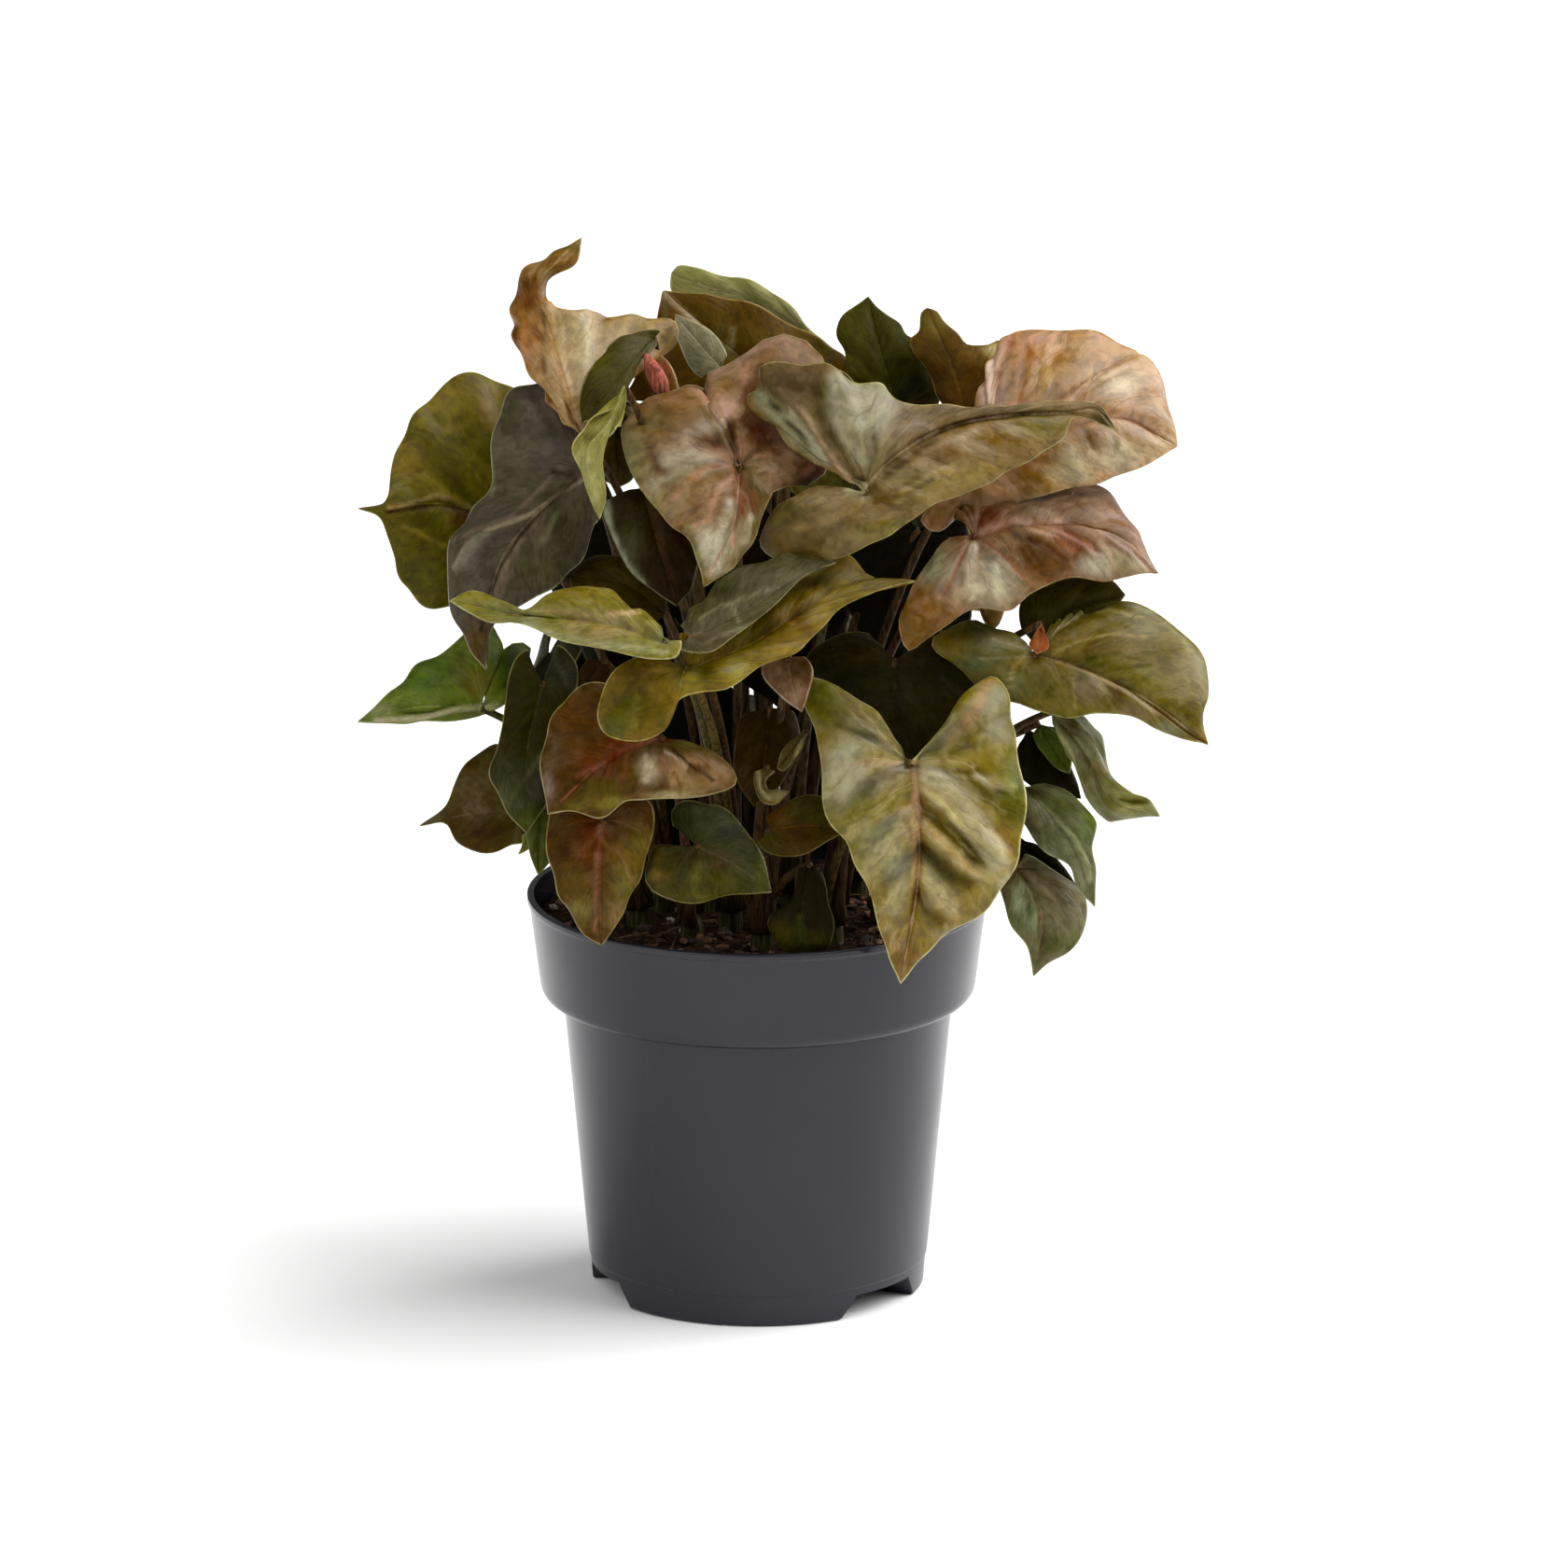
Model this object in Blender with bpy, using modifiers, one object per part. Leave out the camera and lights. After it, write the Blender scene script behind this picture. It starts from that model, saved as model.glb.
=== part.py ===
"""Potted syngonium: a moulded nursery pot, its soil and the leafy plantlets that stand in it.

Metres, +Z up. The origin is the middle of the pot's base, and the front is towards -Y.
Leaf outlines are set out on the front view, which looks 15.8 degrees down on the pot.
"""
import math
from dataclasses import dataclass

import bmesh
import bpy
import numpy as np
from mathutils import Matrix

MM = 0.001
CLEARANCE = 0.0003
WELD = 0.00002

# Pot, a 12 cm nursery pot
POT_HEIGHT = 0.105
RIM_RADIUS = 0.060
BAND_FOOT_RADIUS = 0.0562
BAND_HEIGHT = 0.027
BAND_ROUNDING = 0.0035
BODY_TOP_RADIUS = 0.0507
BASE_RADIUS = 0.0433
WALL = 0.0012
LIP_DEPTH = 0.0016
LIP_STAND = 0.0006
POT_STEPS = 40

# Drain pockets: three raised bays at the foot of the wall, open to the outside
POCKET_ANGLES = (-90 + 50, -90 + 170, -90 - 70)
POCKET_SPREAD = 28
POCKET_FLARE = 6
POCKET_HEIGHT = 0.0062
POCKET_INNER_RADIUS = 0.030
POCKET_HOLE_RADIUS = 0.0035
POCKET_SIDES = 6
DRAIN_SIDES = 12

# Soil
SOIL_LEVEL = 0.0985
SOIL_FOOT = POCKET_HEIGHT + WALL + CLEARANCE
SOIL_RELIEF = 0.0012
SOIL_STEPS = 28
SOIL_RINGS = 4
LUMP_LENGTH = 0.012
CRUMB_LENGTH = 0.006

# Front view
VIEW_TILT = math.radians(15.8)
VIEW_DISTANCE = 4.0

# Leaves
BLADE_THICKNESS = 0.0007
LOBE_ROWS = 3
SIDE_ROWS = 4
HALF_COLUMNS = 2
SPLINE_STEPS = 10
LOBE_END = 0.12
LEAST_LOBE = 0.15
VEIN_SWEEP = 1.15
PETIOLE_RADIUS = 0.0010
PETIOLE_POINTS = 5
PETIOLE_RING = 0.0023
PETIOLE_RISE = 0.55
PETIOLE_LEAN = 0.12
PETIOLE_REACH = 0.28
PETIOLE_DROOP = 0.10
STEM_RADIUS = 0.0036
STEM_DEPTH = 0.012
STEM_TOP = 0.007
STEM_SIDES = 8
STEM_TAPER = 0.8
SHARP_ANGLE = 50
SMALL_BLADE = 0.030


@dataclass(frozen=True)
class Blade:
    """A leaf blade drawn on the front view, in millimetres across and up from the rim's centre.

    The rib runs from the petiole to the tip. Each margin runs from the notch at the petiole
    round its lobe towards the tip. Depth is towards the viewer: at the petiole, at the tip
    and the bow between them, then what a margin gains for each millimetre out from the rib
    on either side, and what the lobes lose behind the petiole. The arch is a half's crown
    against its width. An inner leaf stands in the dark among the stalks and is made plainly.
    """

    plantlet: str
    rib: tuple
    left: tuple
    right: tuple
    depth: tuple
    fall: tuple = (-0.2, -0.2)
    lobe_fall: float = 8.0
    arch: float = 0.08
    inner: bool = False


# Every leaf that the front view shows
BLADES = {
    "front_heart": Blade(
        "front_right",
        rib=((39.5, 33.5), (42, 12), (41, -3), (37, -24)),
        left=((34, 42), (27, 49.5), (18, 54), (11, 55), (14, 44), (16.7, 34), (17, 22), (24, 11), (29, 0),
              (33, -14)),
        right=((46, 38), (52, 48), (61, 56), (65, 50), (67, 37), (69.5, 24), (66.5, 7), (60, -3),
               (46, -13.5)),
        depth=(74, 53, 9), fall=(-0.2, -0.2), lobe_fall=20),
    "rim_hanger": Blade(
        "front_left",
        rib=((-40, 18.5), (-41, 3), (-40.5, -14)),
        left=((-46, 25), (-53, 23), (-54.8, 14), (-53.5, 4), (-50, -4), (-45, -11)),
        right=((-34, 25), (-28.5, 23), (-27.6, 15), (-30, 6), (-34.5, -4), (-38, -10.5)),
        depth=(64, 50, 4), fall=(-0.2, -0.2), lobe_fall=10),
    "red_front": Blade(
        "front_left",
        rib=((-25, 40), (-40, 33.5), (-54.5, 20)),
        left=((-30, 49), (-40, 54), (-48, 52), (-53, 45.5), (-56, 36), (-55.5, 28)),
        right=((-17, 39), (-10, 35), (-5.8, 28.5), (-13, 25.5), (-24, 24), (-33, 23.5), (-41, 19),
               (-49, 20.8)),
        depth=(76, 74, 3), fall=(-0.3, -0.1), lobe_fall=6),
    "mustard_sweep": Blade(
        "middle",
        rib=((-19, 58), (-3, 64), (16, 75), (41, 80.5)),
        left=((-28, 62), (-36, 58.5), (-41, 50), (-40, 41), (-31, 39), (-23, 43), (-20.5, 50), (-8, 53),
              (1, 58.5), (11, 63), (21, 73), (31, 78)),
        right=((-20, 66), (-12, 74), (0, 79), (12, 84.5), (22, 87), (29, 82.5)),
        depth=(88, 66, 2), fall=(0.1, -1.2), lobe_fall=6),
    "lime_left": Blade(
        "middle",
        rib=((-24, 65), (-40, 70), (-60, 71.5), (-80, 75.5)),
        left=((-25, 69), (-34, 74), (-44, 80), (-54, 76.5), (-62, 73), (-68, 76.5), (-75, 77.6)),
        right=((-20, 65), (-21, 61), (-27, 60.3), (-40, 63), (-52, 65.5), (-61, 69.5), (-70, 70), (-76, 73)),
        depth=(96, 66, 2), fall=(-1, 0.4), lobe_fall=0),
    "slate_right": Blade(
        "middle",
        rib=((-18, 66), (-3, 73), (9, 80.5), (20.5, 85.5)),
        left=((-20, 63), (-13, 62), (-5, 67), (4, 74), (13, 82.5)),
        right=((-20, 69), (-14, 77), (-6, 83), (3, 86), (12, 86.5)),
        depth=(94, 74, 2), fall=(0.4, -1.2), lobe_fall=0),
    "centre_blush": Blade(
        "middle",
        rib=((-4.5, 110.5), (-5.5, 98), (-12, 83), (-14, 79)),
        left=((-9, 121), (-15.5, 132.5), (-24, 129.5), (-33.5, 124), (-35, 115), (-31, 106), (-24, 96.5),
              (-18.5, 92), (-15, 84)),
        right=((-9, 122), (-14.5, 133), (-5, 139), (5, 144.5), (13, 142), (18.5, 134), (18.5, 121), (18, 110),
               (12, 105), (5, 105.5), (2.5, 101), (0, 93), (-6, 84.5)),
        depth=(72, 80, 2), fall=(-0.25, -0.25), lobe_fall=20),
    "silver_top": Blade(
        "crown_right",
        rib=((28, 104), (32, 109.5), (38, 114.5), (45, 118.7), (54, 122.2), (68, 124.3), (82, 124.7),
             (88, 125.6), (93.5, 119.5)),
        left=((23, 102.7), (17, 104), (11, 103.6), (5, 100.6), (2, 95), (0, 90.3), (5, 86.6), (14, 86),
              (23, 87.5), (32, 91.7), (39, 95.4), (45, 100.2), (52, 102.2), (59, 105.8), (66, 109.5),
              (73, 113.5), (79, 117.3), (82, 123)),
        right=((22.5, 107.5), (19.5, 110.5), (14, 113), (9, 115.2), (6, 118.8), (3.5, 122), (-0.5, 124.7),
               (-2.3, 128.8), (0.4, 131), (0.8, 135.8), (5, 137.4), (11, 136.9), (17.5, 137.3), (22, 134),
               (26.5, 131.7), (32, 131.5), (35.5, 128.4), (42, 126.4), (52, 125.9), (64, 126.2), (80, 127.2),
               (88, 126.8)),
        depth=(80, 56, 2), fall=(-0.1, -0.1), lobe_fall=26),
    "pink_crown": Blade(
        "right_high",
        rib=((60, 117), (78, 120), (95, 123), (109, 115.5)),
        left=((52, 108), (42, 97), (46, 93.5), (54, 98), (66, 100.5), (78, 104), (90, 106.5), (101, 111)),
        right=((56, 122), (58, 131), (63, 143), (72, 146), (85, 145.5), (98, 140.5), (105, 133), (108, 122)),
        depth=(52, 42, 4), fall=(0.1, -0.5), lobe_fall=4),
    "pink_shelf": Blade(
        "right_high",
        rib=((56.5, 92.5), (69, 95.5), (86, 95.5), (97, 91), (104, 82.5)),
        left=((50, 91.5), (43.5, 86), (40, 78.5), (37, 72), (39, 62.5), (47, 68), (56, 73.3), (66, 73),
              (71, 77.5), (81, 81.3), (92, 80.5), (99, 82.5)),
        right=((51, 97), (56, 102), (68, 104), (84, 106), (93, 100), (99, 92)),
        depth=(62, 50, 4), fall=(0.3, -1.4), lobe_fall=0),
    "olive_right": Blade(
        "right_high",
        rib=((72.5, 61.5), (88, 57), (103, 49), (117, 38)),
        left=((66, 67), (56, 70.5), (45.5, 65), (52, 58), (60, 51), (70, 48), (80, 45), (88, 46.5),
              (98, 45), (107, 40.5)),
        right=((76, 67.5), (80, 70.5), (87, 73), (96, 74.5), (106, 71), (113, 64), (117.5, 55),
               (115.5, 47)),
        depth=(60, 58, 4), fall=(-0.1, -0.7), lobe_fall=4),
    "folded_right": Blade(
        "right_low",
        rib=((76, 46.5), (84, 37), (89, 28), (94, 22), (104.5, 19.5)),
        left=((77, 43), (80, 38), (84, 30), (88, 21), (91, 17.4), (97, 19.4)),
        right=((81, 46), (87, 44), (90, 36.5), (92, 29.5), (97, 25.3), (101.5, 24)),
        depth=(50, 50, 2), fall=(-0.8, -0.8), lobe_fall=0),
    "bright_scrap": Blade(
        "right_low",
        rib=((73, 43.5), (77, 37), (81, 30.5)),
        left=((71.5, 41), (74, 36), (77.5, 32)),
        right=((77, 42.5), (80, 39), (81.5, 34)),
        depth=(42, 44, 1), fall=(-0.2, -0.2), lobe_fall=0),
    "slate_right_low": Blade(
        "right_low",
        rib=((69, 27), (78, 17), (84, 6), (87.5, -4)),
        left=((66, 22), (70, 16.5), (75, 10.5), (81, 6.5), (83, 1)),
        right=((74, 28), (82, 24), (88.5, 18), (86.6, 11), (87.6, 5)),
        depth=(56, 52, 3), fall=(-0.4, -0.4), lobe_fall=0),
    "low_right": Blade(
        "right_low",
        rib=((67, 6), (72, 0), (74.3, -8), (71.5, -22)),
        left=((62.5, 4), (64.5, -4), (66, -9), (70, -14.5)),
        right=((69, 9.5), (77, 5), (85, 0), (85.8, -7), (81, -15), (75, -19)),
        depth=(52, 46, 3), fall=(-0.3, -0.4), lobe_fall=0),
    "dark_behind": Blade(
        "front_right",
        rib=((36, 60), (35, 42), (33, 22)),
        left=((29, 67), (20, 66), (13, 62), (14, 50), (22, 34)),
        right=((43, 68), (51, 66), (57, 58), (56, 45), (45, 30)),
        depth=(55, 53, 2), fall=(-0.2, -0.2), lobe_fall=10),
    "dark_front": Blade(
        "front",
        rib=((-16, 12), (-6, 7), (3.5, -0.3)),
        left=((-20, 11), (-27, 12), (-29.3, 6), (-27, -0.5), (-17, -3), (-7, -1)),
        right=((-22, 17), (-22, 22), (-15, 23.3), (-7, 20.5), (-1, 13), (2.5, 5)),
        depth=(62, 58, 2), fall=(-0.2, -0.3), lobe_fall=6),
    "green_left": Blade(
        "left_low",
        rib=((-72, 47.5), (-88, 48), (-104, 44)),
        left=((-71, 53), (-67, 62), (-69.5, 69.5), (-78, 65), (-88, 58.5), (-95, 52)),
        right=((-69, 50), (-68, 58), (-63, 64.5), (-59, 64.5), (-61.5, 54), (-65, 49), (-74, 45),
               (-84, 44.2), (-94, 43.6)),
        depth=(42, 42, 2), fall=(-0.6, -0.6), lobe_fall=4),
    "brown_left": Blade(
        "left_low",
        rib=((-62, 21), (-75, 20), (-88, 17)),
        left=((-61, 31), (-68, 38.5), (-75, 34), (-78.3, 28), (-81.5, 21.8)),
        right=((-60, 14), (-66, 11), (-72, 10.2), (-78, 12.5), (-81, 17.6)),
        depth=(38, 36, 2), fall=(-0.3, -0.3), lobe_fall=0),
    "tall_dark": Blade(
        "left_low",
        rib=((-56, 54), (-60, 36), (-60, 15)),
        left=((-60, 63), (-65, 56), (-66, 43), (-69.3, 31), (-66, 22)),
        right=((-52, 64), (-47, 60), (-48, 50), (-53, 38), (-54, 25)),
        depth=(56, 50, 2), fall=(-0.3, -0.2), lobe_fall=6),
    "rim_green": Blade(
        "left_low",
        rib=((-56, 22), (-57, 12), (-57, 4.3)),
        left=((-60, 18), (-59.3, 10)),
        right=((-53, 19), (-53.5, 9)),
        depth=(44, 42, 1), fall=(-0.2, -0.2), lobe_fall=0),
    "grey_left": Blade(
        "left_high",
        rib=((-44, 109), (-60, 96), (-68.5, 82), (-70.5, 57.5)),
        left=((-46, 120), (-54, 131.5), (-63, 130.5), (-68, 122), (-70, 104), (-79, 92), (-81, 80),
              (-76.5, 66)),
        right=((-41, 104), (-42, 97), (-46, 86), (-55, 77.5), (-66, 72), (-70, 66)),
        depth=(64, 52, 4), fall=(-0.35, -0.2), lobe_fall=8),
    "olive_left": Blade(
        "left_high",
        rib=((-64, 98), (-84, 101), (-104, 99.5)),
        left=((-60, 110), (-60, 126), (-70, 133.5), (-77, 134), (-89, 124), (-95, 110), (-97, 101)),
        right=((-62, 88), (-70, 78), (-85.5, 74), (-92, 80), (-95, 88), (-98, 97)),
        depth=(34, 38, 3), fall=(-0.3, -0.2), lobe_fall=4),
    "tan_curl": Blade(
        "crown_left",
        rib=((-46, 119), (-50, 132), (-54.3, 147), (-57.5, 156), (-53.5, 162.3), (-45.6, 169.8)),
        left=((-40, 126), (-30, 136), (-22, 141.5), (-22, 147.8), (-35, 149.6), (-48, 150.3),
              (-53.8, 152.3), (-54.8, 158.5), (-47.2, 163)),
        right=((-50, 121.5), (-57, 131), (-62, 140), (-63.8, 150), (-63, 156.5), (-60.3, 161.3),
               (-54, 165.3)),
        depth=(68, 44, 2), fall=(-0.6, -0.4), lobe_fall=0),
    "dark_fold": Blade(
        "crown_left",
        rib=((-27, 143.5), (-36, 134), (-46, 121.5)),
        left=((-25.3, 145.6), (-30, 145.6), (-35, 143.8), (-40.5, 140), (-44.5, 133.5), (-46.5, 127)),
        right=((-26.3, 142), (-30, 138.5), (-33, 132.5), (-36.5, 127), (-42, 122.8)),
        depth=(52, 71, 2), fall=(-0.3, -0.1), lobe_fall=0),
    "lime_twist": Blade(
        "middle",
        rib=((-34.5, 131), (-38.5, 121.5), (-44, 115), (-43.5, 108), (-41, 96.5)),
        left=((-35.2, 124), (-37.3, 119.5), (-41, 116.3), (-40.6, 110), (-39.3, 103)),
        right=((-37.5, 125.5), (-44.5, 121.3), (-48.3, 115.3), (-45.8, 109), (-44, 103)),
        depth=(72, 78, 2), fall=(-0.2, -0.2), lobe_fall=0),
    "orange_small": Blade(
        "crown_left",
        rib=((-26.5, 127), (-27.5, 134), (-26.5, 140.3)),
        left=((-20.7, 128), (-21, 132.5), (-23, 137.6)),
        right=((-34.5, 127.5), (-32.3, 133), (-29.5, 139.4)),
        depth=(54, 50, 1), fall=(-0.2, -0.2), lobe_fall=0),
    "lime_crest": Blade(
        "crown_back",
        rib=((19, 140), (8, 148.8), (-4, 154.5), (-14, 157.2), (-22.5, 160.5)),
        left=((16, 144.3), (12.3, 147.6), (8, 152), (3.5, 156.3), (0, 158.3), (-3, 159.2), (-10, 160.3),
              (-16, 162), (-20.5, 162.6)),
        right=((12, 143), (6, 146), (0, 149), (-8, 151.5), (-14, 152.5), (-20, 153.6), (-22.6, 156.5)),
        depth=(5, 2, 1), fall=(0.05, -0.05), lobe_fall=0),
    "brown_crest": Blade(
        "crown_back",
        rib=((6, 130), (-8, 142), (-24.5, 156)),
        left=((14, 128), (23.5, 133.3), (22.5, 138.8), (17, 143.2), (10, 147.2), (0, 152), (-8, 154.3),
              (-16, 155.3)),
        right=((-6, 125), (-18, 129), (-27, 136), (-29, 142), (-26, 149)),
        depth=(12, 10, 2), fall=(-0.2, -0.2), lobe_fall=0),
    "silver_crest": Blade(
        "crown_back",
        rib=((-9.5, 136), (-14.5, 141.5), (-21.4, 150)),
        left=((-8, 139), (-10, 143.5), (-15.5, 147.5)),
        right=((-14.5, 133.5), (-18.7, 138.5), (-21.2, 144.5)),
        depth=(34, 25, 1), fall=(-0.2, -0.2), lobe_fall=0),
    "dark_back": Blade(
        "crown_right",
        rib=((36, 126), (32, 140), (28.8, 154.5)),
        left=((46, 125), (47, 134), (40.5, 143), (38.5, 144.5), (37, 147.6), (33.5, 149.8), (31, 151.7)),
        right=((28, 126), (24.3, 133), (22.6, 140), (20.5, 144.5), (22, 148.7), (25.2, 151.6)),
        depth=(20, 12, 3), fall=(-0.2, -0.2), lobe_fall=0),
    "brown_back": Blade(
        "crown_right",
        rib=((54, 124), (50, 138), (44, 151.5)),
        left=((60, 124), (62, 134), (63.5, 143.4), (58.5, 142.8), (54.3, 142.2), (52, 144.8), (48.5, 148),
              (46.5, 150.6)),
        right=((49, 125), (44.5, 134), (39.7, 143.3), (42, 146), (42.7, 150.4)),
        depth=(30, 22, 2), fall=(-0.2, -0.2), lobe_fall=0),
    "dark_middle": Blade(
        "middle",
        rib=((-30, 105), (-26, 90), (-21, 74)),
        left=((-35, 103.5), (-40, 101), (-38, 93), (-34, 84.5), (-27, 78)),
        right=((-24, 104), (-18, 98), (-15, 88), (-17, 79)),
        depth=(64, 70, 2), fall=(-0.2, -0.2), lobe_fall=0),
    "dark_shelf": Blade(
        "middle",
        rib=((-24, 72), (-34, 80), (-49, 82)),
        left=((-24, 80), (-33, 86.5), (-42, 87)),
        right=((-28, 68), (-38, 71), (-47, 76)),
        depth=(62, 56, 2), fall=(-0.4, 0.1), lobe_fall=0),
    "pale_under": Blade(
        "front",
        rib=((8, 61), (9, 54), (11.5, 46.5)),
        left=((12, 61), (14.5, 57.5), (13, 51)),
        right=((3, 61), (1, 57), (6, 50.5)),
        depth=(66, 68, 1), fall=(-0.2, 0.1), lobe_fall=0),
    "brown_inner": Blade(
        "front",
        rib=((3, 48), (2, 36), (-1, 22)),
        left=((-3, 46), (-6, 38), (-5, 28)),
        right=((9, 47), (11, 40), (6, 28)),
        depth=(54, 54, 2), fall=(-0.2, -0.2), lobe_fall=0, inner=True),
    "pale_curl": Blade(
        "front",
        rib=((2.4, 32.4), (0.9, 27.5), (8.3, 26)),
        left=((-0.6, 31), (-0.8, 27), (1.6, 22.8), (4.6, 22.6)),
        right=((4.2, 31.4), (1.9, 28.6), (3.4, 25.7)),
        depth=(60, 62, 1), fall=(0.1, -0.2), lobe_fall=0),
    "pale_fold": Blade(
        "front",
        rib=((12.8, 42), (9.3, 37.2), (5, 32)),
        left=((10.4, 40.6), (6.2, 36.2)),
        right=((12, 38.4), (9.6, 34.4), (6.4, 31.2)),
        depth=(62, 62, 1), fall=(-0.2, 0.1), lobe_fall=0),
    "low_red": Blade(
        "front",
        rib=((3, 16), (12, 17), (24, 16)),
        left=((0, 13), (4, 9.5), (11, 9.3), (18, 13)),
        right=((2, 19), (7, 22.5), (14, 25), (20, 23)),
        depth=(60, 60, 2), fall=(-0.2, -0.2), lobe_fall=0),
    "rim_olive": Blade(
        "front",
        rib=((13.5, 7), (11.5, -5), (12, -17)),
        left=((10.5, 6), (8.5, -3), (2.6, -8), (6.6, -15)),
        right=((16.5, 5), (18, -3), (20, -8.5), (17.5, -15)),
        depth=(52, 50, 1), fall=(-0.2, -0.2), lobe_fall=0),
    "olive_shelf": Blade(
        "right_high",
        rib=((73, 62), (81, 72), (95.5, 77)),
        left=((80, 66), (90, 70)),
        right=((69, 68), (69, 75), (72, 79.5), (80, 81.3), (91, 81)),
        depth=(52, 46, 1), fall=(-0.2, -0.2), lobe_fall=0),
    "orange_sheath": Blade(
        "right_high",
        rib=((73.5, 69.5), (73, 65), (72.5, 61.5)),
        left=((72, 67), (70.4, 64)),
        right=((75, 66), (75.4, 63)),
        depth=(60, 62, 0), fall=(-0.2, -0.2), lobe_fall=0),
    "shadow_right": Blade(
        "right_low",
        rib=((70, 42), (76, 34), (84, 24)),
        left=((68, 38), (68, 30), (74, 26)),
        right=((76, 38), (82, 31)),
        depth=(38, 36, 1), fall=(-0.2, -0.2), lobe_fall=0, inner=True),
    "shadow_low": Blade(
        "right_low",
        rib=((67, 14), (74, 8), (83, 1)),
        left=((66, 8), (73, 3.5)),
        right=((72, 12.5), (79, 7)),
        depth=(44, 44, 1), fall=(-0.2, -0.2), lobe_fall=0, inner=True),
    "dim_brown": Blade(
        "left_high",
        rib=((-40, 60), (-44, 55), (-46, 50)),
        left=((-44, 60.5), (-46.5, 56)),
        right=((-38, 57), (-41, 51)),
        depth=(54, 54, 0), fall=(-0.2, -0.2), lobe_fall=0, inner=True),
    "lime_speck": Blade(
        "left_low",
        rib=((-59, 16), (-60, 12.5), (-62.3, 9.6)),
        left=((-61, 14.8), (-61.3, 12)),
        right=((-58.3, 13.5), (-59.5, 11)),
        depth=(38, 38, 0), fall=(-0.2, -0.2), lobe_fall=0),
    "dim_olive": Blade(
        "crown_left",
        rib=((-38, 127), (-37, 116), (-36, 105)),
        left=((-42.5, 125), (-43.5, 114), (-40, 107)),
        right=((-33, 126), (-30, 115), (-32.5, 107)),
        depth=(42, 42, 1), fall=(-0.2, -0.2), lobe_fall=0, inner=True),
    "shade_high_left": Blade(
        "crown_left",
        rib=((-32, 94), (-33, 72), (-30, 50)),
        left=((-38, 101), (-48, 99), (-55, 89), (-52, 74), (-43, 59)),
        right=((-26, 101), (-15, 100), (-10, 90), (-13, 74), (-21, 59)),
        depth=(17, 4, 2), fall=(-0.1, -0.1), lobe_fall=4, inner=True),
    "shade_high_middle": Blade(
        "crown_back",
        rib=((4, 97), (3, 74), (5, 48)),
        left=((-2, 105), (-12, 103), (-18, 92), (-16, 76), (-7, 58)),
        right=((10, 105), (21, 103), (27, 92), (25, 76), (16, 58)),
        depth=(13, 0, 2), fall=(-0.1, -0.1), lobe_fall=4, inner=True),
    "shade_high_right": Blade(
        "crown_right",
        rib=((42, 94), (41, 73), (44, 46)),
        left=((36, 101), (27, 100), (21, 90), (23, 75), (33, 58)),
        right=((48, 99), (54, 95), (56, 85), (55, 71), (50, 56)),
        depth=(21, 7, 2), fall=(-0.1, -0.1), lobe_fall=4, inner=True),
    "shade_low_left": Blade(
        "back_left",
        rib=((-34, 56), (-34, 34), (-33, 6)),
        left=((-42, 64), (-55, 61), (-62, 48), (-58, 32), (-46, 15)),
        right=((-26, 64), (-13, 61), (-5, 48), (-2.5, 32), (-3.5, 16)),
        depth=(-6, -20, 1), fall=(-0.1, -0.1), lobe_fall=4, inner=True),
    "shade_low_right": Blade(
        "back_right",
        rib=((28, 56), (28, 34), (28, 6)),
        left=((20, 64), (10.5, 61), (5.5, 48), (5.5, 32), (10.5, 15)),
        right=((36, 64), (50, 61), (60, 49), (57, 32), (42, 15)),
        depth=(-5, -19, 1), fall=(-0.1, -0.1), lobe_fall=4, inner=True),
}

# Rolled young leaves: plantlet, foot and tip on the front view with their depth, and radius
SPIKES = {
    "red_spike": ("crown_left", (-24, 128.8, 57), (-29.2, 139.8, 57), 2.6),
}
SPIKE_FORM = ((0.0, 0.5), (0.25, 0.95), (0.6, 0.9), (0.85, 0.5), (1.0, 0.12))

# Leaves on the far side repeat a front outline. Each has its source, plantlet, heading of its
# petiole's end about the pot's axis in degrees (the back is 90), height above the rim and
# distance from the axis in millimetres, and its size against the source.
TURNED = {
    "back_heart": ("front_heart", "back_right", 62, 50, 72, 0.95),
    "back_low": ("low_right", "back_right", 34, 24, 72, 1.1),
    "back_olive": ("olive_right", "back_right", 42, 74, 74, 0.85),
    "back_shelf": ("pink_shelf", "back_right", 14, 92, 62, 0.8),
    "back_grey": ("grey_left", "back_right", 66, 112, 46, 0.85),
    "back_dark": ("slate_right_low", "back", 88, 34, 64, 1.3),
    "back_sweep": ("mustard_sweep", "back", 78, 72, 74, 0.85),
    "back_silver": ("silver_top", "back", 100, 106, 47, 0.8),
    "back_hanger": ("rim_hanger", "back_left", 112, 42, 70, 1.1),
    "back_red": ("red_front", "back_left", 134, 58, 66, 1.0),
    "back_crown": ("pink_crown", "back_left", 137, 98, 58, 0.85),
    "back_tall": ("tall_dark", "back_left", 156, 56, 60, 1.1),
    "back_blush": ("centre_blush", "back_left", 152, 108, 48, 0.76),
    "back_top": ("olive_left", "crown_right", 20, 118, 8, 0.7),
}

# Where each plantlet stands in the soil, in millimetres right and back from the pot's axis
PLANTLETS = {
    "front_left": (-17, -24),
    "front": (1, -31),
    "front_right": (19, -24),
    "left_low": (-31, -8),
    "left_high": (-25, 9),
    "middle": (-7, -10),
    "right_low": (32, -8),
    "right_high": (20, -4),
    "crown_left": (-11, 8),
    "crown_right": (9, 6),
    "crown_back": (0, 22),
    "back_left": (-22, 26),
    "back": (4, 36),
    "back_right": (26, 20),
}


def clear_scene():
    """Remove every object that the file opened with."""
    for item in list(bpy.data.objects):
        bpy.data.objects.remove(item, do_unlink=True)


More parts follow.
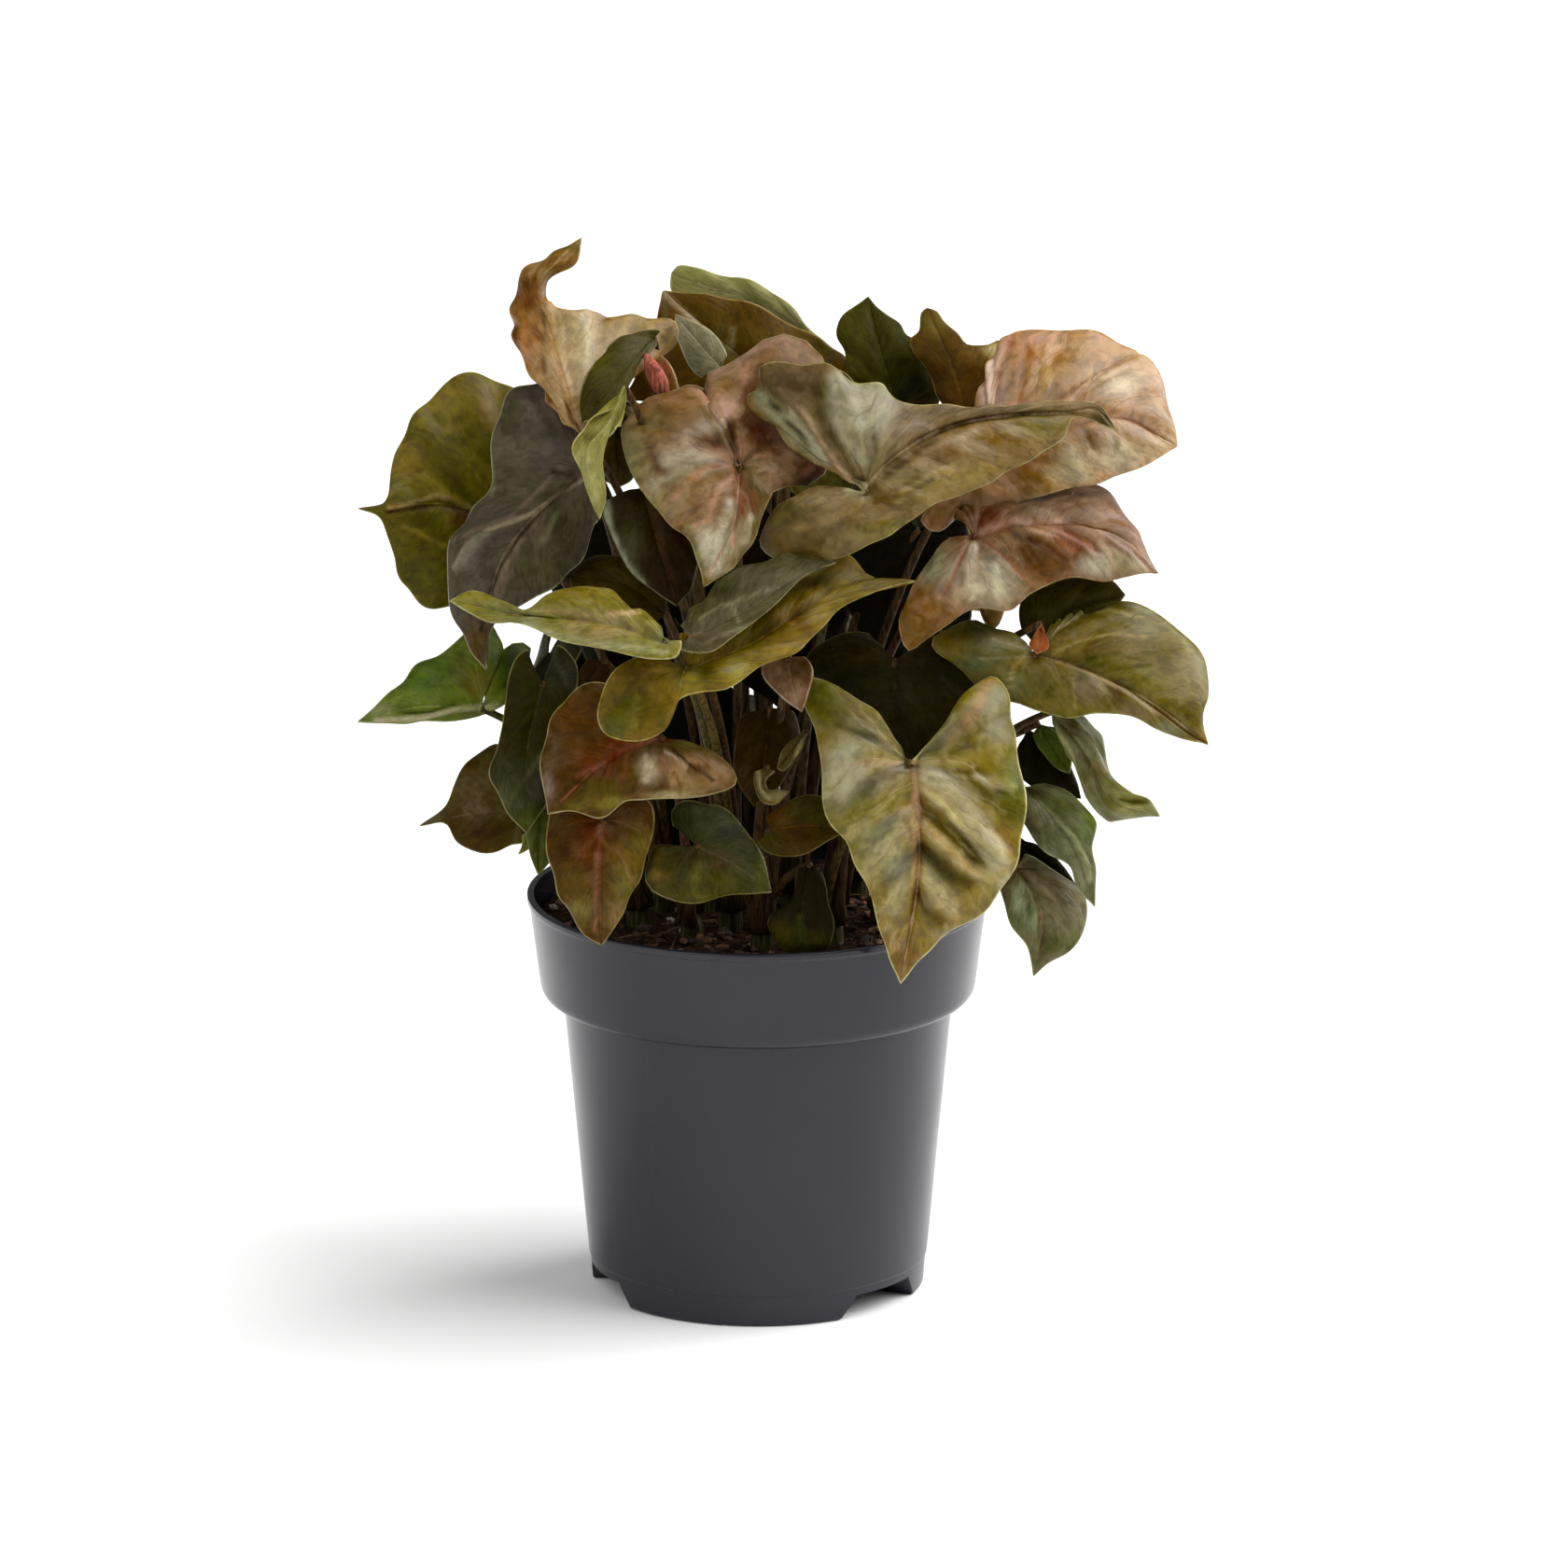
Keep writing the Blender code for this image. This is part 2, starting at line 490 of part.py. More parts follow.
def new_collection(name, hidden=False):
    """Add a collection to the scene."""
    made = bpy.data.collections.new(name)
    bpy.context.scene.collection.children.link(made)
    made.hide_render = hidden
    return made


def new_material(name, colour, roughness):
    """Add a Principled material of one colour."""
    made = bpy.data.materials.new(name)
    made.use_nodes = True
    shader = made.node_tree.nodes["Principled BSDF"]
    shader.inputs["Base Color"].default_value = (*colour, 1.0)
    shader.inputs["Roughness"].default_value = roughness
    shader.inputs["Metallic"].default_value = 0.0
    return made


def add_object(name, mesh, collection):
    """Add a mesh to a collection as an object."""
    made = bpy.data.objects.new(name, mesh)
    collection.objects.link(made)
    return made


def merge_doubles(work):
    """Merge the corners that lie on one another."""
    bmesh.ops.remove_doubles(work, verts=work.verts, dist=WELD)


def linked_to(start):
    """Give every corner that edges join to one corner."""
    found = {start}
    waiting = [start]
    while waiting:
        for edge in waiting.pop().link_edges:
            for vertex in edge.verts:
                if vertex not in found:
                    found.add(vertex)
                    waiting.append(vertex)
    return found


def clean_fused(work):
    """Split a fused mesh into triangles, and take out the flat fins and inner bubbles this leaves."""
    bmesh.ops.triangulate(work, faces=work.faces)
    alike = {}
    for face in work.faces:
        alike.setdefault(frozenset(vertex.index for vertex in face.verts), []).append(face)
    fins = [face for faces in alike.values() if len(faces) > 1 for face in faces]
    bmesh.ops.delete(work, geom=fins, context="FACES")
    outermost = max((vertex for vertex in work.verts if vertex.link_faces), key=lambda vertex: vertex.co.z)
    body = linked_to(outermost)
    bmesh.ops.delete(work, geom=[vertex for vertex in work.verts if vertex not in body], context="VERTS")


def as_mesh_object(source, name, collection, tidy=merge_doubles):
    """Replace an object by a plain mesh of how it evaluates, tidied by a function."""
    evaluated = source.evaluated_get(bpy.context.evaluated_depsgraph_get())
    mesh = bpy.data.meshes.new_from_object(evaluated)
    mesh.transform(source.matrix_world)
    work = bmesh.new()
    work.from_mesh(mesh)
    tidy(work)
    work.to_mesh(mesh)
    work.free()
    bpy.data.objects.remove(source, do_unlink=True)
    return add_object(name, mesh, collection)


def turned(name, profile, steps, collection):
    """Turn a profile of (radius, height) about the Z axis."""
    mesh = bpy.data.meshes.new(name)
    points = [(radius, 0.0, height) for radius, height in profile]
    mesh.from_pydata(points, [(i, i + 1) for i in range(len(points) - 1)], [])
    made = add_object(name, mesh, collection)
    screw = made.modifiers.new("turn", "SCREW")
    screw.angle = math.tau
    screw.steps = steps
    screw.render_steps = steps
    screw.use_merge_vertices = True
    screw.merge_threshold = WELD
    return made


def boolean(target, cutter, operation):
    """Add a Boolean modifier with one object."""
    step = target.modifiers.new(operation.lower(), "BOOLEAN")
    step.operation = operation
    step.object = cutter


def cylinder(name, radius, depth, sides, place, collection):
    """Make an upright cylinder about a place."""
    work = bmesh.new()
    bmesh.ops.create_cone(work, cap_ends=True, segments=sides, radius1=radius, radius2=radius, depth=depth)
    mesh = bpy.data.meshes.new(name)
    work.to_mesh(mesh)
    work.free()
    made = add_object(name, mesh, collection)
    made.location = place
    return made


def wedge(name, inner, outer, low, high, middle_deg, spread_deg, collection):
    """Make a ring segment between two radii and two heights."""
    work = bmesh.new()
    start = math.radians(middle_deg - spread_deg / 2)
    corners = [(inner, low), (outer, low), (outer, high), (inner, high)]
    verts = [work.verts.new((r * math.cos(start), r * math.sin(start), z)) for r, z in corners]
    face = work.faces.new(verts)
    bmesh.ops.spin(work, geom=[face], cent=(0, 0, 0), axis=(0, 0, 1),
                   angle=math.radians(spread_deg), steps=POCKET_SIDES, use_duplicate=False)
    for vert in work.verts:
        ahead = math.atan2(vert.co.y, vert.co.x) - math.radians(middle_deg)
        ahead = (ahead + math.pi) % math.tau - math.pi
        flare = math.radians(POCKET_FLARE) * (high - vert.co.z) / POCKET_HEIGHT
        turn = ahead / math.radians(spread_deg / 2) * flare
        vert.co = Matrix.Rotation(turn, 3, "Z") @ vert.co
    bmesh.ops.triangulate(work, faces=work.faces)
    bmesh.ops.recalc_face_normals(work, faces=work.faces)
    mesh = bpy.data.meshes.new(name)
    work.to_mesh(mesh)
    work.free()
    return add_object(name, mesh, collection)


def body_radius(height):
    """Give the outer radius of the pot's body below its band."""
    share = height / (POT_HEIGHT - BAND_HEIGHT)
    return BASE_RADIUS + (BODY_TOP_RADIUS - BASE_RADIUS) * share


def pot_profile():
    """Give the pot's section: up the inside, over the rim, down the outside."""
    ledge = POT_HEIGHT - BAND_HEIGHT
    inside = [
        (0.0, WALL),
        (body_radius(WALL) - WALL, WALL),
        (BODY_TOP_RADIUS - WALL, ledge),
        (BAND_FOOT_RADIUS - WALL, ledge + BAND_ROUNDING + WALL),
        (RIM_RADIUS - WALL - LIP_STAND, POT_HEIGHT),
    ]
    lip = [
        (RIM_RADIUS - LIP_STAND / 2, POT_HEIGHT),
        (RIM_RADIUS, POT_HEIGHT - LIP_STAND),
        (RIM_RADIUS, POT_HEIGHT - LIP_DEPTH),
        (RIM_RADIUS - LIP_STAND, POT_HEIGHT - LIP_DEPTH - LIP_STAND),
    ]
    band = [(BAND_FOOT_RADIUS, ledge + BAND_ROUNDING)]
    for turn in (45, 90):
        angle = math.radians(turn)
        band.append((BAND_FOOT_RADIUS - BAND_ROUNDING * (1 - math.cos(angle)),
                     ledge + BAND_ROUNDING * (1 - math.sin(angle))))
    body = [(BODY_TOP_RADIUS, ledge), (BASE_RADIUS + WALL / 4, WALL), (BASE_RADIUS - WALL / 2, 0.0),
            (0.0, 0.0)]
    return inside + lip + band + body


def make_pot(parts, cutters, material):
    """Make the pot with its drain pockets."""
    pot = turned("pot", pot_profile(), POT_STEPS, parts)
    reach = (POCKET_INNER_RADIUS + BASE_RADIUS) / 2
    side_walls = 2 * math.degrees(WALL / BASE_RADIUS)
    for number, angle in enumerate(POCKET_ANGLES, start=1):
        roof = wedge(f"pocket_{number}", POCKET_INNER_RADIUS - WALL, BASE_RADIUS - WALL / 2,
                     WALL / 2, POCKET_HEIGHT + WALL, angle, POCKET_SPREAD + side_walls, cutters)
        boolean(pot, roof, "UNION")
        hollow = wedge(f"notch_{number}", POCKET_INNER_RADIUS, BASE_RADIUS + 2 * WALL,
                       -WALL, POCKET_HEIGHT, angle, POCKET_SPREAD, cutters)
        boolean(pot, hollow, "DIFFERENCE")
        place = (reach * math.cos(math.radians(angle)), reach * math.sin(math.radians(angle)),
                 POCKET_HEIGHT + WALL / 2)
        drain = cylinder(f"drain_{number}", POCKET_HOLE_RADIUS, 4 * WALL, DRAIN_SIDES, place, cutters)
        boolean(pot, drain, "DIFFERENCE")
    pot.data.materials.append(material)
    return pot


def soil_height(x, y):
    """Give the relief of the soil's top at a place."""
    lumps = math.sin(x / LUMP_LENGTH) * math.cos(y / LUMP_LENGTH)
    crumbs = math.sin((x - y) / CRUMB_LENGTH)
    return SOIL_RELIEF * (0.7 * lumps + 0.3 * crumbs)


def make_soil(parts, cutters, material):
    """Make the soil that fills the pot, with a plain hole for each plantlet's stem."""
    ledge = POT_HEIGHT - BAND_HEIGHT
    slack = WALL + CLEARANCE
    corner = ledge + BAND_ROUNDING + WALL
    slope = (RIM_RADIUS - BAND_FOOT_RADIUS - LIP_STAND) / (POT_HEIGHT - corner)
    top_radius = BAND_FOOT_RADIUS - slack + slope * (SOIL_LEVEL - corner) - CLEARANCE
    profile = [(top_radius * ring / SOIL_RINGS, SOIL_LEVEL) for ring in range(SOIL_RINGS + 1)]
    profile += [(BAND_FOOT_RADIUS - slack - CLEARANCE, corner + CLEARANCE),
                (BODY_TOP_RADIUS - slack, ledge),
                (body_radius(SOIL_FOOT) - slack, SOIL_FOOT), (0.0, SOIL_FOOT)]
    soil = as_mesh_object(turned("soil_form", profile, SOIL_STEPS, parts), "soil", parts)
    for vertex in soil.data.vertices:
        x, y, z = vertex.co
        reach = math.hypot(x, y)
        if z > SOIL_LEVEL - CLEARANCE and reach < top_radius - CLEARANCE:
            vertex.co.z += soil_height(x, y)
    hole_radius = STEM_RADIUS + CLEARANCE / math.cos(math.pi / STEM_SIDES)
    for name, (x, y) in PLANTLETS.items():
        hole = cylinder(f"hole_{name}", hole_radius, 2 * STEM_DEPTH, STEM_SIDES,
                        (x * MM, y * MM, SOIL_LEVEL), cutters)
        boolean(soil, hole, "DIFFERENCE")
    soil.data.materials.append(material)
    return soil


def spline(points, steps):
    """Run a smooth curve through points, with a number of samples for each span."""
    padded = np.vstack([2 * points[0] - points[1], points, 2 * points[-1] - points[-2]])
    samples = []
    for index in range(len(points) - 1):
        before, start, end, after = padded[index:index + 4]
        spans = [np.sqrt(np.linalg.norm(step)) for step in (start - before, end - start, after - end)]
        leave = ((start - before) / spans[0] - (end - before) / (spans[0] + spans[1])
                 + (end - start) / spans[1]) * spans[1]
        arrive = ((end - start) / spans[1] - (after - start) / (spans[1] + spans[2])
                  + (after - end) / spans[2]) * spans[1]
        for step in range(steps):
            t = step / steps
            samples.append((2 * t**3 - 3 * t**2 + 1) * start + (t**3 - 2 * t**2 + t) * leave
                           + (3 * t**2 - 2 * t**3) * end + (t**3 - t**2) * arrive)
    samples.append(points[-1])
    return np.array(samples)


def run_of(curve):
    """Give the share of a curve's length at each of its points."""
    lengths = np.concatenate([[0.0], np.cumsum(np.linalg.norm(np.diff(curve, axis=0), axis=1))])
    return lengths / lengths[-1]


def along(curve, shares):
    """Give the points of a curve at shares of its length."""
    return np.stack([np.interp(shares, run_of(curve), curve[:, axis]) for axis in range(3)], axis=1)


def from_view(across, rise, near):
    """Give the place in metres of a point on the front view and its depth in millimetres."""
    shrink = 1 - near * MM / VIEW_DISTANCE
    right, up = across * shrink, rise * shrink
    back = up * math.sin(VIEW_TILT) - near * math.cos(VIEW_TILT)
    height = up * math.cos(VIEW_TILT) + near * math.sin(VIEW_TILT)
    return np.array([right, back, height]) * MM + [0, 0, POT_HEIGHT]


def placed(points, blade, fall):
    """Give the places of a blade's outline points in metres."""
    heart = np.array(blade.rib[0], float)
    reach = np.array(blade.rib[-1], float) - heart
    length = np.linalg.norm(reach)
    at_heart, at_tip, bow = blade.depth
    places = []
    for point in points:
        across, rise = np.array(point, float) - heart
        share = (across * reach[0] + rise * reach[1]) / length**2
        aside = abs(across * reach[1] - rise * reach[0]) / length
        near = at_heart + blade.lobe_fall * share
        if share >= 0:
            near = at_heart + (at_tip - at_heart) * share + 4 * bow * share * (1 - min(share, 1))
        places.append(from_view(*point, near + fall * aside))
    return np.array(places)


def blade_grid(blade, lobe_rows, side_rows, half_columns):
    """Give the blade's surface as rows from lobe to tip and columns from left to right."""
    rib = placed(blade.rib, blade, 0.0)
    rib_curve = spline(rib, SPLINE_STEPS)
    side_shares = np.linspace(0, 1, side_rows + 1)[1:]
    inner = along(rib_curve, np.concatenate([np.zeros(lobe_rows + 1), side_shares**VEIN_SWEEP]))
    reach = rib[-1] - rib[0]
    mix = np.linspace(0, 1, half_columns + 1)[None, :, None]
    halves = []
    for margin, fall, side in ((blade.left, blade.fall[0], -1), (blade.right, blade.fall[1], 1)):
        outline = np.vstack([rib[:1], placed(margin, blade, fall), rib[-1:]])
        curve = spline(outline, SPLINE_STEPS)[SPLINE_STEPS:]
        ahead = (curve - rib[0]) @ reach / (reach @ reach)
        lobe_end = max(LEAST_LOBE, run_of(curve)[ahead < LOBE_END].max(initial=0.0))
        lobe_shares = np.linspace(0, lobe_end, lobe_rows + 1)
        outer = along(curve, np.concatenate([lobe_shares, lobe_end + (1 - lobe_end) * side_shares]))
        half = inner[:, None] * (1 - mix) + outer[:, None] * mix
        normal = np.cross(reach, outer[lobe_rows] - rib[0]) * side
        normal /= np.linalg.norm(normal)
        width = np.linalg.norm(outer - inner, axis=1)[:, None, None]
        half += normal * (blade.arch * 4) * width * mix * (1 - mix)
        halves.append(half)
    return np.concatenate([halves[0][:, :0:-1], halves[1]], axis=1)


def turn_grid(grid, heading_deg, height, reach, size):
    """Carry a blade's surface round the pot's axis to stand as another leaf."""
    heart = grid[0, grid.shape[1] // 2].copy()
    angle = math.radians(heading_deg)
    turn = angle - math.atan2(heart[1], heart[0])
    spin = np.array([[math.cos(turn), math.sin(turn), 0], [-math.sin(turn), math.cos(turn), 0], [0, 0, 1]])
    stand = np.array([reach * math.cos(angle), reach * math.sin(angle), height]) * MM + [0, 0, POT_HEIGHT]
    return (grid - heart) * size @ spin + stand


def is_large(blade):
    """Tell whether a blade is long enough to be bent across each half."""
    heart, tip = np.array(blade.rib[0]), np.array(blade.rib[-1])
    return np.linalg.norm(tip - heart) * MM > SMALL_BLADE


def all_grids(lobe_rows, side_rows, half_columns):
    """Give every leaf's surface with the plantlet that carries it."""
    grids = {}
    for name, blade in BLADES.items():
        plain = blade.inner or not is_large(blade)
        detail = (lobe_rows - 1, side_rows - 1, 1) if plain else (lobe_rows, side_rows, half_columns)
        grids[name] = (blade.plantlet, blade_grid(blade, *detail))
    for name, (source, plantlet, heading, height, reach, size) in TURNED.items():
        grid = blade_grid(BLADES[source], lobe_rows, side_rows, 1)
        grids[name] = (plantlet, turn_grid(grid, heading, height, reach, size))
    return grids


def make_blade(name, grid, collection):
    """Make a closed blade from its surface."""
    rows, columns = grid.shape[0], grid.shape[1]
    work = bmesh.new()
    bmesh.ops.create_grid(work, x_segments=columns - 1, y_segments=rows - 1, size=0.5)
    for vertex in work.verts:
        column = round((vertex.co.x + 0.5) * (columns - 1))
        row = round((vertex.co.y + 0.5) * (rows - 1))
        vertex.co = grid[row, column]
    bmesh.ops.remove_doubles(work, verts=work.verts, dist=WELD)
    bmesh.ops.dissolve_degenerate(work, edges=work.edges, dist=WELD)
    bmesh.ops.triangulate(work, faces=work.faces)
    mesh = bpy.data.meshes.new(name)
    work.to_mesh(mesh)
    work.free()
    made = add_object(name, mesh, collection)
    shell = made.modifiers.new("thickness", "SOLIDIFY")
    shell.thickness = BLADE_THICKNESS
    shell.offset = 0.0
    return as_mesh_object(made, name, collection)


def petiole_path(start, heart, points):
    """Give the way of a petiole: up out of the stem, then over and out to its blade."""
    start, heart = np.array(start), np.array(heart)
    reach = heart - start
    flat = np.array([reach[0], reach[1], 0.0])
    rise = reach - flat
    first = start + PETIOLE_RISE * rise + PETIOLE_LEAN * flat
    last = heart - PETIOLE_DROOP * rise - PETIOLE_REACH * flat
    shares = np.linspace(0, 1, points)[:, None]
    return ((1 - shares)**3 * start + 3 * (1 - shares)**2 * shares * first
            + 3 * (1 - shares) * shares**2 * last + shares**3 * heart)


def petiole_paths(name, grids, points):
    """Give the way of each petiole of a plantlet, set round its stem in the order of their leaves."""
    crown = np.array([*PLANTLETS[name], 0.0]) * MM + [0, 0, SOIL_LEVEL + STEM_TOP - 2 * PETIOLE_RADIUS]
    hearts = {leaf: grid[0, grid.shape[1] // 2] for leaf, (owner, grid) in grids.items() if owner == name}
    hearts.update({leaf: from_view(*spike[1]) for leaf, spike in SPIKES.items() if spike[0] == name})
    headings = {leaf: math.atan2(heart[1] - crown[1], heart[0] - crown[0]) for leaf, heart in hearts.items()}
    order = sorted(headings, key=headings.get)
    middle = headings[order[len(order) // 2]]
    paths = {}
    for place, leaf in enumerate(order):
        angle = middle + math.tau * (place - len(order) // 2) / max(len(order), 3)
        start = crown + np.array([math.cos(angle), math.sin(angle), 0.0]) * PETIOLE_RING
        paths[leaf] = petiole_path(start, hearts[leaf], points)
    return paths


def make_rod(name, path, radius, widths, collection, roundness=1):
    """Make a round rod along a path, with its width at each point as a share of its radius."""
    curve = bpy.data.curves.new(name, "CURVE")
    curve.dimensions = "3D"
    curve.bevel_depth = radius
    curve.bevel_resolution = roundness
    curve.use_fill_caps = True
    line = curve.splines.new("POLY")
    line.points.add(len(path) - 1)
    for point, place, width in zip(line.points, path, widths):
        point.co = (*place, 1.0)
        point.radius = width
    return as_mesh_object(add_object(name, curve, collection), name, collection)


def make_stem(name, x, y, collection):
    """Make a plantlet's short stem, sunk in the soil."""
    work = bmesh.new()
    bmesh.ops.create_cone(work, cap_ends=True, segments=STEM_SIDES, radius1=STEM_RADIUS,
                          radius2=STEM_TAPER * STEM_RADIUS, depth=STEM_DEPTH + STEM_TOP - CLEARANCE * 2)
    mesh = bpy.data.meshes.new(name)
    work.to_mesh(mesh)
    work.free()
    mesh.transform(Matrix.Translation((x, y, SOIL_LEVEL + (STEM_TOP - STEM_DEPTH) / 2)))
    return add_object(name, mesh, collection)


def make_plantlet(name, grids, parts, material):
    """Make one plantlet: its stem with every petiole and blade it carries, grown as one piece."""
    x, y = PLANTLETS[name]
    grown = new_collection(f"{name}_grown", hidden=True)
    plant = make_stem(f"plantlet_{name}", x * MM, y * MM, parts)
    for leaf, path in petiole_paths(name, grids, PETIOLE_POINTS).items():
        plain = leaf in BLADES and BLADES[leaf].inner
        make_rod(f"petiole_{leaf}", path, PETIOLE_RADIUS, np.ones(len(path)), grown, 0 if plain else 1)
        if leaf in grids:
            make_blade(f"blade_{leaf}", grids[leaf][1], grown)
            continue
        foot, tip, radius = SPIKES[leaf][1:]
        shares, widths = np.array(SPIKE_FORM).T
        line = from_view(*foot) + shares[:, None] * (from_view(*tip) - from_view(*foot))
        make_rod(f"spike_{leaf}", line, radius * MM, widths, grown)
    step = plant.modifiers.new("grown", "BOOLEAN")
    step.operation = "UNION"
    step.operand_type = "COLLECTION"
    step.collection = grown
    step.solver = "MANIFOLD"
    fused = as_mesh_object(plant, f"plantlet_{name}", parts, tidy=clean_fused)
    for item in list(grown.objects):
        bpy.data.objects.remove(item, do_unlink=True)
    bpy.data.collections.remove(grown)
    fused.data.shade_smooth()
    fused.data.set_sharp_from_angle(angle=math.radians(SHARP_ANGLE))
    fused.data.materials.append(material)
    return fused


def main():
    """Build the potted plant."""
    clear_scene()
    parts = new_collection("potted_syngonium")
    cutters = new_collection("cutters", hidden=True)
    make_pot(parts, cutters, new_material("pot_plastic", (0.050, 0.050, 0.058), 0.42))
    make_soil(parts, cutters, new_material("soil", (0.030, 0.022, 0.016), 0.95))
    leaf = new_material("syngonium_leaf", (0.165, 0.135, 0.055), 0.45)
    grids = all_grids(LOBE_ROWS, SIDE_ROWS, HALF_COLUMNS)
    for name in PLANTLETS:
        make_plantlet(name, grids, parts, leaf)
    for cutter in cutters.objects:
        cutter.hide_render = True
        cutter.display_type = "WIRE"


if __name__ == "__main__":
    main()
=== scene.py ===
"""Potted syngonium in a moulded nursery pot, dressed for a studio photograph.

Lengths are metres unless a name or a comment says millimetres. The origin is the middle of
the pot's base and the front is towards -Y. Every blade is set out on the front view, in
millimetres across and up from the middle of the rim, as it is in the part's own source.
"""

import logging
import math
from collections.abc import Callable, Iterable
from dataclasses import dataclass
from enum import Enum
from functools import partial

import bmesh
import bpy
import numpy as np
from mathutils import Euler, Matrix, Vector, noise


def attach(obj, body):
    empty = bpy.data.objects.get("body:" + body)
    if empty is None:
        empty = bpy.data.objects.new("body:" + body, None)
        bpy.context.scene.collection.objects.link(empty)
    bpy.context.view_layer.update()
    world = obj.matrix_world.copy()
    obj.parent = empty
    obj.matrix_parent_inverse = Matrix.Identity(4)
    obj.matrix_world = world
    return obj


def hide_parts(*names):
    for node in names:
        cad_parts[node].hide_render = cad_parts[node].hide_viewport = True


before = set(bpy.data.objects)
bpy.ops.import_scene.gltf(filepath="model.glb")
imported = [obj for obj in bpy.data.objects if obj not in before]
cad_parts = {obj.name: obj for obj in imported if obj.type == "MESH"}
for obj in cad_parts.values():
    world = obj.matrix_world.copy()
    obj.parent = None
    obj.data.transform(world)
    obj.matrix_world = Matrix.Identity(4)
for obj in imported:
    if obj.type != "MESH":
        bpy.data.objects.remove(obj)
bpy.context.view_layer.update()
log = logging.getLogger("potted_syngonium")

Triple = tuple[float, float, float]
Colour = tuple[float, float, float, float]
Range = tuple[float, float, float, float]
Points = tuple[tuple[float, ...], ...]
Term = float | tuple[float, ...] | bpy.types.NodeSocket
Inputs = tuple[Term, ...] | dict[str | int, Term]
Adder = Callable[..., bpy.types.NodeOutputs]

MM = 0.001
WELD = 0.00002
TINY = 1e-12
AXIS = {"cent": (0, 0, 0), "axis": (0, 0, 1)}

# Front view
VIEW_TILT = math.radians(15.8)
VIEW_DISTANCE = 4.0
POT_HEIGHT = 0.105
RIM = np.array([0, 0, POT_HEIGHT])

# Leaves, as the solids have them
VEIN_SWEEP = 1.15
LOBE_END = 0.12
LEAST_LOBE = 0.15
ARCH = 0.08
SPLINE_STEPS = 16
SOIL_LEVEL = 0.0985
STEM_TOP = 0.007
STEM_DEPTH = 0.011
STEM_RADIUS = 0.0036
PETIOLE_RADIUS = 0.0010
PETIOLE_RING = 0.0023
PETIOLE_RISE = 0.55
PETIOLE_LEAN = 0.12
PETIOLE_REACH = 0.28
PETIOLE_DROOP = 0.10

# Least step of the vein number from row to row, and a direction that no stalk follows
LEAST_STEP = 0.001
NOWHERE_ALONG = (0.35, 1.0, 0.0)

# How firmly the spots and the strokes of colour end
SPOT_EDGE = 1.3
STROKE_EDGE = 2.6


class Slot(Enum):
    """The finish slots of the part."""

    POT = "pot_plastic"
    SOIL = "soil"
    LEAF = "leaf"


class Join(Enum):
    """How a Boolean joins another object to a piece."""

    ADD = "UNION"
    CUT = "DIFFERENCE"


def linear(hex_colour: str, alpha: float = 1.0) -> Colour:
    """Turn an sRGB hex colour into linear light.

    Args:
        hex_colour: Colour as "#rrggbb".
        alpha: Fourth number that goes with it.

    Returns:
        Linear red, green and blue, and the fourth number.
    """
    shares = [int(hex_colour[start:start + 2], 16) / 255 for start in (1, 3, 5)]
    return (*(share / 12.92 if share <= 0.04045 else ((share + 0.055) / 1.055) ** 2.4 for share in shares),
            alpha)


def feed(node: bpy.types.Node, inputs: Inputs) -> None:
    """Give a node's inputs their plain values and what feeds them.

    Args:
        node: The node.
        inputs: Values and sockets, in the order of its inputs or by their names or numbers.
    """
    for key, term in (inputs.items() if isinstance(inputs, dict) else enumerate(inputs)):
        if isinstance(term, bpy.types.NodeSocket):
            node.id_data.links.new(term, node.inputs[key])
        else:
            node.inputs[key].default_value = term


def add_node(tree: bpy.types.NodeTree, kind: str, settings: dict[str, str],
             inputs: Inputs) -> bpy.types.NodeOutputs:
    """Add a shader node with its settings, its plain values and what feeds it.

    Args:
        tree: Node tree that takes the node.
        kind: Node type without its "ShaderNode" start.
        settings: Properties of the node.
        inputs: Values and sockets for its inputs.

    Returns:
        The node's outputs.
    """
    node = tree.nodes.new(f"ShaderNode{kind}")
    for name, value in settings.items():
        setattr(node, name, value)
    feed(node, inputs)
    return node.outputs


def spline(points: np.ndarray, steps: int) -> np.ndarray:
    """Run a smooth curve through points.

    Args:
        points: Points as rows.
        steps: Samples for each span.

    Returns:
        The curve's samples as rows.
    """
    padded = np.vstack([2 * points[0] - points[1], points, 2 * points[-1] - points[-2]])
    samples = []
    for index in range(len(points) - 1):
        before, start, end, after = padded[index:index + 4]
        spans = [np.sqrt(np.linalg.norm(step)) for step in (start - before, end - start, after - end)]
        leave = ((start - before) / spans[0] - (end - before) / (spans[0] + spans[1])
                 + (end - start) / spans[1]) * spans[1]
        arrive = ((end - start) / spans[1] - (after - start) / (spans[1] + spans[2])
                  + (after - end) / spans[2]) * spans[1]
        for step in range(steps):
            t = step / steps
            samples.append((2 * t**3 - 3 * t**2 + 1) * start + (t**3 - 2 * t**2 + t) * leave
                           + (3 * t**2 - 2 * t**3) * end + (t**3 - t**2) * arrive)
    samples.append(points[-1])
    return np.array(samples)


def run_of(curve: np.ndarray) -> np.ndarray:
    """Give how far along a curve each of its points lies."""
    return np.concatenate([[0.0], np.cumsum(np.linalg.norm(np.diff(curve, axis=0), axis=1))])


def along(curve: np.ndarray, shares: np.ndarray) -> np.ndarray:
    """Give the points of a curve at shares of its length."""
    run = run_of(curve)
    return np.stack([np.interp(shares, run / run[-1], curve[:, axis]) for axis in range(3)], axis=1)


def noise_over(places: np.ndarray, length: float, shift: Triple) -> np.ndarray:
    """Give noise with bumps of a length, moved by a shift, at places by row and column."""
    return np.array([[noise.noise(Vector(place) / length + Vector(shift)) for place in row] for row in places])


